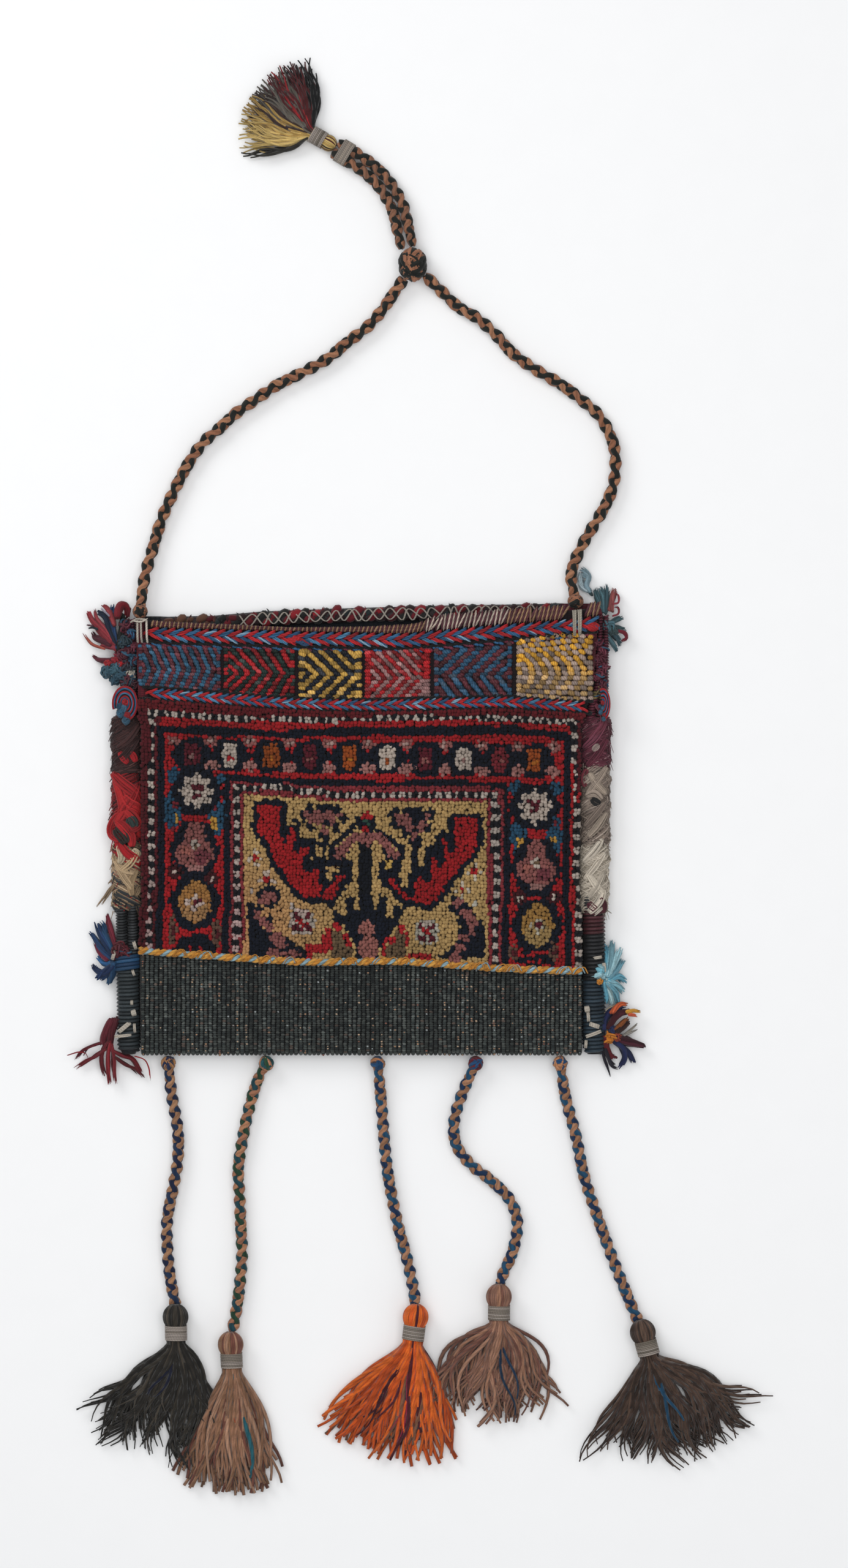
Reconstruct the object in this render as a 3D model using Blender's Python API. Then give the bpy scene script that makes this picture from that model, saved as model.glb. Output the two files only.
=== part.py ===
"""Salt bag with a pile-woven front, a braided handle and five tasselled pendants.

The bag lies on its back. X runs across it, Y from its bottom fold to its mouth and handle, and Z up through
its layers. The origin is the middle of the back's underside. Lengths are in metres. Places in plan are pixels
of the reference picture, counted right and down, and PIXEL turns them into metres.
"""

import math

import bmesh
import bpy
from mathutils import Vector

# The whole
BAG_WIDTH = 0.300
BAG_WIDTH_PX = 811
PIXEL = BAG_WIDTH / BAG_WIDTH_PX
ORIGIN_PX = (585.5, 1361)

# Clearances
GAP = 0.0003
FLOOR_GAP = 0.0003

# Layers, from the back up
BACK_THICKNESS = 0.0025
POCKET_DEPTH = 0.009
GROUND_THICKNESS = 0.0022
PILE_HEIGHT = 0.0038
PILE_EDGE_ROUND = 0.0016
FOLD_DEPTH = 0.0082
FRONT_Z = BACK_THICKNESS + POCKET_DEPTH
FACE_Z = FRONT_Z + GROUND_THICKNESS
TRIM_Z = FACE_Z + GAP

# Rows across the bag, as (across, down) in pixels
BOTTOM_PX = 1722
RIM_TOP_PX = (
    (200, 980), (243, 980), (262, 1007), (348, 1005), (428, 998), (532, 994),
    (624, 991), (738, 988), (876, 986), (922, 984), (932, 968), (1000, 968),
)
UPPER_BRAID_PX = ((236, 1034), (273, 1037), (497, 1043), (664, 1046), (819, 1032), (934, 1023), (985, 1017))
LOWER_BRAID_PX = ((232, 1131), (474, 1149), (618, 1152), (819, 1146), (966, 1155))
SEAM_PX = ((224, 1551), (417, 1565), (503, 1570), (647, 1568), (819, 1580), (951, 1585))
ROW_STEP_PX = 60
CLOTH_STEP_PX = 30

# Trim on the front
UPPER_BRAID_WIDTH = 0.0081
UPPER_BRAID_HEIGHT = 0.0038
LOWER_BRAID_WIDTH = 0.0063
LOWER_BRAID_HEIGHT = 0.0032
SEAM_CORD_DIAMETER = 0.0037
HEM_WIDTH = 0.0060
HEM_HEIGHT = 0.0026
HEM_WIDTH_shares = ((236, 0.6), (360, 0.5), (474, 0.35), (589, 0.55), (692, 0.95), (761, 1.0), (930, 0.9))
HEM_ENDS_PX = (250, 925)
BAND_PANELS_PX = ((236, 362), (368, 481), (486, 592), (595, 703), (706, 836), (842, 969))
BAND_PANEL_HEIGHT = 0.0016
RAISED_PANEL_HEIGHT = 0.0023
RAISED_PANELS = (3, 6)

# Rolled rim of the back, and its stitching
RIM_ENDS_PX = (262, 916)
RIM_WIDTH = 0.009
RIM_HEIGHT = 0.0032
STITCH_DIAMETER = 0.001
STITCH_PITCH = 0.009
STITCH_REACH = 0.0032

# Sides: the selvedge cord down each side, its width changing along it, and the yarn wrapped round it
SELVEDGE_WIDTH = 0.014
SELVEDGE_HEIGHT = 0.0132
WRAPPED_WIDTH = 0.0095
WRAPPED_HEIGHT = 0.0066
WRAP_THICKNESS = 0.0037
WRAP_HEIGHT_THICKNESS = 0.0030
SHOULDER = 0.0008
SHOULDER_CLEAR_share = 1.5
CLOTH_STEP_BESIDE_WRAPS_PX = 2.0
LEFT_SIDE_PX = ((1721, 211), (1490, 208), (1172, 207), (1118, 213), (1030, 212), (1012, 212))
RIGHT_SIDE_PX = ((1721, 970), (1490, 969), (1172, 973), (1118, 982), (1030, 985), (1006, 985))
SIDE_WIDTH_shares = ((1721, 1.0), (1172, 1.0), (1118, 0.64), (1030, 0.5), (1006, 0.5))
LEFT_WRAPS_PX = (
    ("left_wrap_brown", 1178, 1255), ("left_wrap_red", 1257, 1377), ("left_wrap_tan", 1379, 1484),
)
RIGHT_WRAPS_PX = (
    ("right_wrap_plum", 1178, 1248), ("right_wrap_grey", 1250, 1378), ("right_wrap_cream", 1380, 1484),
)

# Braid ends that lie on the sides, as height, half sizes and how much of the half width lies on the side
BRAID_END_HEIGHT = 0.0042
LEFT_BRAID_END_PX = (1149, 19, 27)
RIGHT_BRAID_END_PX = (1150, 10, 24)
LEFT_BRAID_END_INSET_share = 0.65
RIGHT_BRAID_END_INSET_share = 0.95

# Tufts and side tassels: root height, bend, tip, and half widths at the root and tip
TUFT_ROOT_HEIGHT = 0.008
TUFT_TIP_HEIGHT = 0.006
TUFT_END_WIDTH_share = 0.6
TUFT_FIRST_HALF_share = 0.5
TUFT_LAST_HALF_share = 0.55
TUFTS_PX = (
    ("top_left_tuft", "left", 1075, (176, 1066), (160, 1018), 12, 32),
    ("top_right_tuft", "right", 1044, (1010, 1038), (1014, 1000), 9, 15),
    ("left_side_tassel", "left", 1550, (180, 1551), (150, 1556), 10, 46),
    ("left_corner_tassel", "left", 1692, (172, 1696), (150, 1728), 12, 30),
    ("right_side_tassel", "right", 1580, (1006, 1583), (1018, 1592), 10, 34),
    ("right_corner_tassel", "right", 1690, (1008, 1692), (1030, 1710), 14, 46),
)
WISP_PX = ((963, 966), (957, 932))
WISP_WIDTH = 0.004
WISP_HEIGHT = 0.004

# Lashings that tie the handle's ends to the hem
LASHING_DIAMETER = 0.0011
LASHING_PITCH = 0.0017
LASHING_PASSES = 3
LASHING_FOOT = 0.0010
LASHING_RISE_share = 0.6
LASHINGS_PX = (("left_lashing", 232), ("right_lashing", 938))

# Handle: two legs of one braided cord, their knot, the doubled neck and its tassel
HANDLE_DIAMETER = 0.0074
END_KNOT_DIAMETER = 0.0100
HANDLE_END_LEFT_PX = 229
HANDLE_END_RIGHT_PX = 940
HANDLE_LEFT_PX = (
    (236, 943), (252, 886), (265, 844), (286, 797), (307, 757), (331, 723), (357, 700), (383, 676),
    (420, 650), (451, 629), (493, 608), (535, 585), (566, 559), (598, 535), (624, 506), (644, 477),
    (658.6, 456.4),
)
HANDLE_RIGHT_PX = (
    (933, 938), (948, 896), (969, 859), (990, 823), (1003, 786), (1005, 744), (998, 713), (979, 679),
    (953, 655), (916, 627), (875, 603), (838, 577), (812, 548), (780, 519), (749, 501), (718, 472),
    (694.9, 450.2),
)
HANDLE_KNOT_PX = (674, 432)
HANDLE_KNOT_WIDTH = 0.0180
HANDLE_KNOT_LENGTH = 0.0215
HANDLE_KNOT_HEIGHT = 0.0150
NECK_DIAMETER = 0.0061
NECK_PX = ((665, 403), (658, 373), (648, 335), (625, 297), (597, 271), (571, 254), (549, 241))
NECK_BINDING_PX = (562, 249)
NECK_BINDING_SQUARENESS_share = 0.6

# Pendants: their braided cords, as pixels from the hem knot on
PENDANT_DIAMETER = 0.0072
HEM_KNOT_DIAMETER = 0.0098
PENDANTS_PX = (
    (275, (280, 1787), (290, 1845), (290, 1894), (282, 1942), (273, 1991), (273, 2039), (278, 2088),
     (286, 2128)),
    (435, (421, 1763), (406, 1812), (396, 1860), (389, 1908), (391, 1952), (393, 2001), (395, 2049),
     (391, 2102), (384, 2151), (379, 2174)),
    (617, (622, 1792), (627, 1856), (634, 1920), (649, 1997), (666, 2061), (676, 2110), (678, 2128)),
    (777, (755, 1786), (742, 1830), (745, 1869), (768, 1901), (800, 1926), (832, 1958), (845, 1997),
     (838, 2042), (822, 2080), (817, 2095)),
    (915, (924, 1792), (941, 1856), (954, 1920), (975, 1984), (998, 2048), (1018, 2099), (1036, 2143),
     (1042, 2155)),
)

# Tassels: head ball, neck under its binding, and skirt
TASSEL_HEAD_DIAMETER = 0.0150
TASSEL_NECK_DIAMETER = 0.0116
TASSEL_TIP_HEIGHT = 0.0070
HANDLE_TASSEL_HEAD_DIAMETER = 0.0098
HANDLE_TASSEL_NECK_DIAMETER = 0.0088
SKIRT_WIDTH_shares = ((0.18, 0.22), (0.45, 0.62), (0.75, 0.95), (0.93, 1.0), (1.0, 0.8))
SKIRT_ROUND_share = 0.3
SKIRT_BEND_share = 0.5
BINDING_THREAD = 0.0012
BINDING_PITCH = 0.00165
BINDING_LOOPS = 4
BINDING_LOOP_POINTS = 16
# Head, a point on the neck's axis, tip of the skirt's middle, and half width of the tips
TASSELS_PX = (
    ((287, 2150), (288, 2200), (236, 2392), 84),
    ((377, 2195), (379, 2235), (381, 2436), 50),
    ((679, 2150), (674, 2190), (634, 2378), 74),
    ((815, 2117), (815, 2155), (814, 2335), 86),
    ((1050, 2175), (1061, 2215), (1128, 2372), 108),
)
HANDLE_TASSEL_PX = ((536, 233), (518, 223), (418, 150), 54)

# Fineness of the meshes
CORD_STEP_share = 2.5
ROUND_SIDES = 12
SECTION_SQUARENESS_share = 0.72
BALL_STATION_shares = (-0.97, -0.8, -0.45, 0.0, 0.42)
SHARP_ANGLE_DEG = 40
EDGE_SEGMENTS = 2
FOLD_SEGMENTS = 10
CURVE_SEGMENTS = 12
PEBBLE_RINGS = 8

YARN_ROUGHNESS = 0.9
COLOURS = {
    "back_cloth": (0.03, 0.035, 0.04),
    "bottom_fold": (0.03, 0.035, 0.04),
    "lower_flatweave": (0.03, 0.036, 0.042),
    "pile_panel": (0.27, 0.012, 0.014),
    "seam_cord": (0.55, 0.26, 0.04),
    "band_facing": (0.05, 0.012, 0.02),
    "band_panel_1": (0.04, 0.1, 0.22),
    "band_panel_2": (0.35, 0.015, 0.02),
    "band_panel_3": (0.5, 0.33, 0.07),
    "band_panel_4": (0.42, 0.03, 0.04),
    "band_panel_5": (0.03, 0.09, 0.2),
    "band_panel_6": (0.55, 0.35, 0.06),
    "upper_braid": (0.4, 0.02, 0.025),
    "lower_braid": (0.05, 0.14, 0.3),
    "front_hem": (0.4, 0.24, 0.18),
    "rim_roll": (0.1, 0.015, 0.02),
    "rim_stitching": (0.6, 0.55, 0.48),
    "left_selvedge": (0.02, 0.025, 0.03),
    "right_selvedge": (0.02, 0.025, 0.03),
    "left_wrap_brown": (0.03, 0.012, 0.01),
    "left_wrap_red": (0.4, 0.015, 0.012),
    "left_wrap_tan": (0.4, 0.28, 0.19),
    "right_wrap_plum": (0.15, 0.03, 0.05),
    "right_wrap_grey": (0.4, 0.35, 0.31),
    "right_wrap_cream": (0.6, 0.54, 0.48),
    "left_braid_end": (0.3, 0.03, 0.05),
    "right_braid_end": (0.1, 0.12, 0.3),
    "top_left_tuft": (0.15, 0.02, 0.03),
    "top_right_tuft": (0.04, 0.1, 0.12),
    "top_right_wisp": (0.4, 0.6, 0.65),
    "left_side_tassel": (0.01, 0.03, 0.12),
    "left_corner_tassel": (0.15, 0.01, 0.015),
    "right_side_tassel": (0.25, 0.5, 0.6),
    "right_corner_tassel": (0.08, 0.03, 0.05),
    "left_lashing": (0.65, 0.6, 0.55),
    "right_lashing": (0.4, 0.37, 0.33),
    "handle_cord_left": (0.06, 0.045, 0.03),
    "handle_cord_right": (0.06, 0.045, 0.03),
    "handle_knot": (0.09, 0.06, 0.04),
    "neck_cord_upper": (0.06, 0.045, 0.03),
    "neck_cord_lower": (0.06, 0.045, 0.03),
    "neck_binding": (0.35, 0.32, 0.28),
    "handle_tassel": (0.5, 0.4, 0.2),
    "handle_tassel_binding": (0.35, 0.32, 0.28),
}
PENDANT_COLOURS = (
    (0.02, 0.025, 0.09), (0.02, 0.08, 0.08), (0.02, 0.06, 0.14), (0.03, 0.07, 0.16), (0.02, 0.08, 0.16),
)
TASSEL_COLOURS = (
    (0.03, 0.025, 0.018), (0.3, 0.13, 0.07), (0.62, 0.1, 0.012), (0.28, 0.13, 0.08), (0.05, 0.03, 0.023),
)
BINDING_COLOUR = (0.35, 0.31, 0.27)


def at(px, py, z=0.0):
    """The place that a pixel of the picture shows, at a height z."""
    return Vector(((px - ORIGIN_PX[0]) * PIXEL, (ORIGIN_PX[1] - py) * PIXEL, z))


def column(x):
    """The pixel across the picture at a place x."""
    return ORIGIN_PX[0] + x / PIXEL


def read(table, key):
    """The value of a table of (key, value) pairs at key, on straight lines between its rows."""
    rows = sorted(table)
    if key <= rows[0][0]:
        return rows[0][1]
    for (low, first), (high, second) in zip(rows, rows[1:]):
        if key <= high:
            return first + (second - first) * (key - low) / (high - low)
    return rows[-1][1]


def painted(obj, colour):
    """Gives obj a Principled material of its own."""
    material = bpy.data.materials.new(obj.name)
    material.use_nodes = True
    shader = material.node_tree.nodes["Principled BSDF"]
    shader.inputs["Base Color"].default_value = (*colour, 1.0)
    shader.inputs["Roughness"].default_value = YARN_ROUGHNESS
    shader.inputs["Metallic"].default_value = 0.0
    obj.data.materials.append(material)
    return obj


def placed(name, data, colour=None):
    """Links a named object that holds data into the scene."""
    obj = bpy.data.objects.new(name, data)
    bpy.context.scene.collection.objects.link(obj)
    return painted(obj, COLOURS[name] if colour is None else colour)


def finished(name, bm, colour=None):
    """Turns bm into a smooth-shaded object whose faces point out."""
    bmesh.ops.recalc_face_normals(bm, faces=bm.faces)
    mesh = bpy.data.meshes.new(name)
    bm.to_mesh(mesh)
    bm.free()
    mesh.shade_smooth()
    mesh.set_sharp_from_angle(angle=math.radians(SHARP_ANGLE_DEG))
    return placed(name, mesh, colour)


def panel(name, outline, bottom, top, edge_round=0.0):
    """A flat piece of cloth: the outline raised from bottom to top, its upper edge rounded if asked."""
    bm = bmesh.new()
    face = bm.faces.new([bm.verts.new((p.x, p.y, bottom)) for p in outline])
    raised = bmesh.ops.extrude_face_region(bm, geom=[face])["geom"]
    upper = [v for v in raised if isinstance(v, bmesh.types.BMVert)]
    bmesh.ops.translate(bm, verts=upper, vec=(0.0, 0.0, top - bottom))
    if edge_round:
        rim = [e for e in bm.edges if all(v in upper for v in e.verts)]
        bmesh.ops.bevel(bm, geom=rim, offset=edge_round, segments=EDGE_SEGMENTS, profile=0.5, affect="EDGES")
    return finished(name, bm)


def section(centre, across, up, half_width, half_height, squareness=SECTION_SQUARENESS_share):
    """Points round an oval that is somewhat squared, in the plane of across and up."""
    points = []
    for i in range(ROUND_SIDES):
        angle = math.tau * (i + 0.5) / ROUND_SIDES
        c, s = math.cos(angle), math.sin(angle)
        wide = math.copysign(abs(c) ** squareness, c) * half_width
        high = math.copysign(abs(s) ** squareness, s) * half_height
        points.append(centre + across * wide + up * high)
    return points


def ring(bm, points):
    return [bm.verts.new(p) for p in points]


def bridge(bm, first, second):
    count = len(first)
    for i in range(count):
        j = (i + 1) % count
        bm.faces.new((first[i], first[j], second[j], second[i]))


def loft(name, sections, colour=None):
    """A closed solid through sections of the same number of points, with flat ends."""
    bm = bmesh.new()
    rings = [ring(bm, points) for points in sections]
    for first, second in zip(rings, rings[1:]):
        bridge(bm, first, second)
    bm.faces.new(rings[0])
    bm.faces.new(rings[-1])
    return finished(name, bm, colour)


def sleeve(name, outer, inner):
    """A closed tube between outer sections and inner ones."""
    bm = bmesh.new()
    outside = [ring(bm, points) for points in outer]
    inside = [ring(bm, points) for points in inner]
    for rings in (outside, inside):
        for first, second in zip(rings, rings[1:]):
            bridge(bm, first, second)
    bridge(bm, outside[0], inside[0])
    bridge(bm, outside[-1], inside[-1])
    return finished(name, bm)


def plan_normals(path):
    """The level direction across the path at each of its points."""
    found = []
    for i in range(len(path)):
        along = path[min(i + 1, len(path) - 1)] - path[max(i - 1, 0)]
        found.append(Vector((-along.y, along.x, 0.0)).normalized())
    return found


UP = Vector((0.0, 0.0, 1.0))


def bar(name, path, half_widths, half_height):
    """An oval bar along path."""
    across = plan_normals(path)
    return loft(
        name,
        [section(p, a, UP, w, half_height) for p, a, w in zip(path, across, half_widths)],
    )


def smooth(points, step):
    """Points about one step apart on a Catmull-Rom curve through the given ones, its ends included."""
    ends = [points[0] * 2 - points[1], *points, points[-1] * 2 - points[-2]]
    fine = []
    for i in range(1, len(ends) - 2):
        a, b, c, d = ends[i - 1 : i + 3]
        for k in range(CURVE_SEGMENTS):
            t = k / CURVE_SEGMENTS
            squared, cubed = a * 2 - b * 5 + c * 4 - d, b * 3 - a - c * 3 + d
            fine.append((b * 2 + (c - a) * t + squared * t**2 + cubed * t**3) / 2)
    fine.append(points[-1].copy())
    length = sum((q - p).length for p, q in zip(fine, fine[1:]))
    count = max(2, round(length / step))
    result, walked, k = [fine[0]], 0.0, 0
    for target in (length * n / count for n in range(1, count)):
        while walked + (fine[k + 1] - fine[k]).length < target:
            walked += (fine[k + 1] - fine[k]).length
            k += 1
        span = (fine[k + 1] - fine[k]).length
        result.append(fine[k].lerp(fine[k + 1], (target - walked) / span))
    return [*result, fine[-1]]


def tube(name, points, diameter, radii=None, fineness=2, colour=None):
    """A round cord through the points. radii are shares of its own radius."""
    curve = bpy.data.curves.new(name, "CURVE")
    curve.dimensions = "3D"
    curve.bevel_depth = diameter / 2
    curve.bevel_resolution = fineness
    curve.use_fill_caps = True
    curve.twist_mode = "MINIMUM"
    spline = curve.splines.new("POLY")
    spline.points.add(len(points) - 1)
    for i, p in enumerate(points):
        spline.points[i].co = (*p, 1.0)
        spline.points[i].radius = radii[i] if radii else 1.0
    return placed(name, curve, colour)


def knotted_cord(name, knot, knot_diameter, route, diameter, colour=None):
    """A cord that starts in a round knot, so that it can turn about the knot's centre."""
    curve = smooth([knot, *route], diameter * CORD_STEP_share)
    heading = (curve[1] - curve[0]).normalized()
    big, thin = knot_diameter / 2, diameter / 2
    stations = [big * share for share in BALL_STATION_shares]
    stations.append(math.sqrt(big**2 - thin**2))
    points = [knot + heading * s for s in stations]
    radii = [math.sqrt(big**2 - s**2) / thin for s in stations]
    rest = [p for p in curve[1:] if (p - knot).length > big + thin]
    return tube(name, [*points, *rest], diameter, [*radii, *[1.0] * len(rest)], colour=colour)


def least_gap(points, diameter, apart):
    """The narrowest space between parts of a wound thread at least apart points from each other."""
    pairs = ((p, q) for i, p in enumerate(points) for q in points[i + apart :])
    return min((p - q).length for p, q in pairs) - diameter


def winding(name, centre, along, half_width, half_height, colour=None, squareness=1.0):
    """Thread wound round an oval core: one unbroken tube whose ends run on straight."""
    across = Vector((-along.y, along.x, 0.0)).normalized()
    up = along.cross(across) * -1.0
    wide = half_width + GAP + BINDING_THREAD / 2
    high = half_height + GAP + BINDING_THREAD / 2
    points = []
    for i in range(BINDING_LOOPS * BINDING_LOOP_POINTS + 1):
        turn = i / BINDING_LOOP_POINTS
        c, s = math.cos(math.tau * turn), math.sin(math.tau * turn)
        shift = (turn - BINDING_LOOPS / 2) * BINDING_PITCH
        level = math.copysign(abs(c) ** squareness, c) * wide
        raised = math.copysign(abs(s) ** squareness, s) * high
        points.append(centre + along * shift + across * level + up * raised)
    first, last = points[0] - points[1], points[-1] - points[-2]
    points.insert(0, points[0] + first.normalized() * BINDING_THREAD)
    points.append(points[-1] + last.normalized() * BINDING_THREAD)
    print(f"{name}: least gap {least_gap(points, BINDING_THREAD, BINDING_LOOP_POINTS // 2) * 1000:.2f} mm")
    return tube(name, points, BINDING_THREAD, fineness=1, colour=colour)


def pebble(name, centre, half_x, half_y, half_z):
    """A rounded lump."""
    bm = bmesh.new()
    bmesh.ops.create_uvsphere(bm, u_segments=ROUND_SIDES, v_segments=PEBBLE_RINGS, radius=1.0)
    for v in bm.verts:
        v.co = centre + Vector((v.co.x * half_x, v.co.y * half_y, v.co.z * half_z))
    return finished(name, bm)


class Side:
    """One side of the bag: where its selvedge runs and how much width its pieces take."""

    def __init__(self, sign, centre_px, wraps_px):
        self.sign = sign
        self.centre_px = centre_px
        self.wraps_px = wraps_px
        self.wrapped = (wraps_px[0][1], wraps_px[-1][2])
        self.top_px = centre_px[-1][1]
        self.middle_z = FLOOR_GAP + SELVEDGE_HEIGHT / 2

    def centre(self, py):
        return at(read(self.centre_px, py), py, self.middle_z)

    def bare_half(self, py):
        return SELVEDGE_WIDTH / 2 * read(SIDE_WIDTH_shares, py)

    def half(self, py):
        """Half the width of whatever lies outermost at this height."""
        if self.wrapped[0] <= py <= self.wrapped[1]:
            return WRAPPED_WIDTH / 2 + GAP + WRAP_THICKNESS
        return self.bare_half(py)

    def inner(self, py):
        """The place where the cloth ends beside this side."""
        middle = self.centre(py)
        return Vector((middle.x - self.sign * (self.half(py) + GAP), middle.y, 0.0))

    def root(self, py):
        """The place just outside the side, where a tuft starts."""
        middle = self.centre(py)
        return Vector((middle.x + self.sign * (self.half(py) + GAP), middle.y, self.middle_z))

    def breaks(self, low, high):
        """The heights between low and high where the cloth's edge bends, from the mouth down."""
        start, end = self.wrapped
        steps = {start, end, start - CLOTH_STEP_BESIDE_WRAPS_PX, end + CLOTH_STEP_BESIDE_WRAPS_PX}
        found = sorted({py for py, _ in self.centre_px} | {py for py, _ in SIDE_WIDTH_shares} | steps)
        return [py for py in found if low < py < high]

    def cut(self, py, wide, high):
        return section(self.centre(py), Vector((1.0, 0.0, 0.0)), UP, wide, high)

    def selvedge(self, name):
        bottom, top = self.centre_px[0][0], self.centre_px[-1][0]
        low, high = self.wrapped
        step = SHOULDER / PIXEL
        stations = [(top, False)]
        stations += [(py, False) for py in self.breaks(top, low - step * SHOULDER_CLEAR_share)]
        stations += [(low - step, False), (low, True), (high, True), (high + step, False), (bottom, False)]
        sections = []
        for py, is_wrapped in stations:
            wide = WRAPPED_WIDTH / 2 if is_wrapped else self.bare_half(py)
            tall = WRAPPED_HEIGHT / 2 if is_wrapped else SELVEDGE_HEIGHT / 2
            sections.append(self.cut(py, wide, tall))
        return loft(name, sections)

    def wraps(self):
        for name, top, bottom in self.wraps_px:
            bore = WRAPPED_WIDTH / 2 + GAP, WRAPPED_HEIGHT / 2 + GAP
            full = bore[0] + WRAP_THICKNESS, bore[1] + WRAP_HEIGHT_THICKNESS
            heights = (top, top + (bottom - top) / 3, bottom - (bottom - top) / 3, bottom)
            sleeve(name, [self.cut(py, *full) for py in heights], [self.cut(py, *bore) for py in heights])


LEFT = Side(-1, LEFT_SIDE_PX, LEFT_WRAPS_PX)
RIGHT = Side(1, RIGHT_SIDE_PX, RIGHT_WRAPS_PX)


def row(table, shift=0.0):
    """A row of the bag as a function of the place across, moved down by a length."""
    return lambda px: read(table, px) + shift / PIXEL


def hem_top(px):
    """The upper edge of the front, over the braid and the hem."""
    hem = HEM_WIDTH * read(HEM_WIDTH_shares, px)
    return read(UPPER_BRAID_PX, px) - (UPPER_BRAID_WIDTH / 2 + GAP + hem) / PIXEL


def between(top, bottom):
    """The outline of a cloth from side to side between two rows."""
    left_px, right_px = (column(side.inner(top(side.top_px)).x) for side in (LEFT, RIGHT))
    count = round((right_px - left_px) / CLOTH_STEP_PX)
    across = [left_px + (right_px - left_px) * i / count for i in range(1, count)]
    outline = [at(px, top(px)) for px in across]
    ends = []
    for side, px in ((LEFT, left_px), (RIGHT, right_px)):
        high, low = top(px), bottom(px)
        ends.append([side.inner(py) for py in [high, *side.breaks(high, low), low]])
    return [*outline, *ends[1], *[at(px, bottom(px)) for px in reversed(across)], *reversed(ends[0])]


def straight(height_px):
    return lambda px: height_px


FOLD_INNER_PX = BOTTOM_PX - FOLD_DEPTH / PIXEL
CLOTH_BOTTOM = straight(FOLD_INNER_PX - GAP / PIXEL)


def build_back():
    panel("back_cloth", between(row(RIM_TOP_PX), CLOTH_BOTTOM), 0.0, BACK_THICKNESS)


def build_fold():
    """The rounded bottom where the cloth turns from the back to the front."""
    inner_y = at(0, FOLD_INNER_PX).y
    profile = []
    for i in range(FOLD_SEGMENTS + 1):
        angle = math.pi * i / FOLD_SEGMENTS
        profile.append((math.sin(angle) * FOLD_DEPTH, (1 - math.cos(angle)) * FACE_Z / 2))
    sections = []
    for side in (LEFT, RIGHT):
        x = side.inner(BOTTOM_PX).x
        sections.append([Vector((x, inner_y - depth, height)) for depth, height in profile])
    loft("bottom_fold", sections)


def build_front():
    half = LOWER_BRAID_WIDTH / 2
    facing_bottom = row(LOWER_BRAID_PX, half)
    pile_bottom = row(SEAM_PX, -SEAM_CORD_DIAMETER / 2 - GAP)
    panel("band_facing", between(hem_top, facing_bottom), FRONT_Z, FACE_Z)
    panel(
        "pile_panel",
        between(row(LOWER_BRAID_PX, half + GAP), pile_bottom),
        FRONT_Z,
        FACE_Z + PILE_HEIGHT,
        PILE_EDGE_ROUND,
    )
    flatweave_top = row(SEAM_PX, -SEAM_CORD_DIAMETER / 2)
    panel("lower_flatweave", between(flatweave_top, CLOTH_BOTTOM), FRONT_Z, FACE_Z)


def along_row(table, ends_px, z, shift=0.0):
    """Points of a row from one place across to another, at a height z."""
    count = round((ends_px[1] - ends_px[0]) / ROW_STEP_PX)
    across = [ends_px[0] + (ends_px[1] - ends_px[0]) * i / count for i in range(count + 1)]
    return [at(px, read(table, px) + shift / PIXEL, z) for px in across]


def build_band():
    """The patterned band between the two braids."""
    for name, table, width, height in (
        ("upper_braid", UPPER_BRAID_PX, UPPER_BRAID_WIDTH, UPPER_BRAID_HEIGHT),
        ("lower_braid", LOWER_BRAID_PX, LOWER_BRAID_WIDTH, LOWER_BRAID_HEIGHT),
    ):
        path = along_row(table, (table[0][0], table[-1][0]), TRIM_Z + height / 2)
        bar(name, path, [width / 2] * len(path), height / 2)
    top = row(UPPER_BRAID_PX, UPPER_BRAID_WIDTH / 2 + GAP)
    bottom = row(LOWER_BRAID_PX, -LOWER_BRAID_WIDTH / 2 - GAP)
    for number, (left, right) in enumerate(BAND_PANELS_PX, 1):
        across = [left, (left + right) / 2, right]
        outline = [at(px, top(px)) for px in across] + [at(px, bottom(px)) for px in reversed(across)]
        height = RAISED_PANEL_HEIGHT if number in RAISED_PANELS else BAND_PANEL_HEIGHT
        panel(f"band_panel_{number}", outline, TRIM_Z, TRIM_Z + height)


def build_hem():
    """The ridge along the front's upper edge."""
    count = round((HEM_ENDS_PX[1] - HEM_ENDS_PX[0]) / ROW_STEP_PX)
    path, halves = [], []
    for i in range(count + 1):
        px = HEM_ENDS_PX[0] + (HEM_ENDS_PX[1] - HEM_ENDS_PX[0]) * i / count
        width = HEM_WIDTH * read(HEM_WIDTH_shares, px)
        path.append(at(px, hem_top(px) + width / 2 / PIXEL, TRIM_Z + HEM_HEIGHT / 2))
        halves.append(width / 2)
    bar("front_hem", path, halves, HEM_HEIGHT / 2)


def build_rim():
    """The rolled upper edge of the back and the zigzag thread over it."""
    roll_z = BACK_THICKNESS + GAP + RIM_HEIGHT / 2
    path = along_row(RIM_TOP_PX, RIM_ENDS_PX, roll_z, RIM_WIDTH / 2)
    bar("rim_roll", path, [RIM_WIDTH / 2] * len(path), RIM_HEIGHT / 2)
    thread_z = roll_z + RIM_HEIGHT / 2 + GAP + STITCH_DIAMETER / 2
    start, end = (at(px, 0).x for px in RIM_ENDS_PX)
    count = int((end - start) / STITCH_PITCH * 2) - 1
    points = []
    for i in range(count + 1):
        x = start + STITCH_PITCH / 2 * (i + 1)
        side = 1 if i % 2 else -1
        middle = at(0, read(RIM_TOP_PX, column(x)) + RIM_WIDTH / 2 / PIXEL)
        points.append(Vector((x, middle.y + side * STITCH_REACH, thread_z)))
    tube("rim_stitching", points, STITCH_DIAMETER, fineness=1)


def build_seam():
    points = along_row(SEAM_PX, (SEAM_PX[0][0], SEAM_PX[-1][0]), TRIM_Z + SEAM_CORD_DIAMETER / 2)
    tube("seam_cord", points, SEAM_CORD_DIAMETER)


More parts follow.
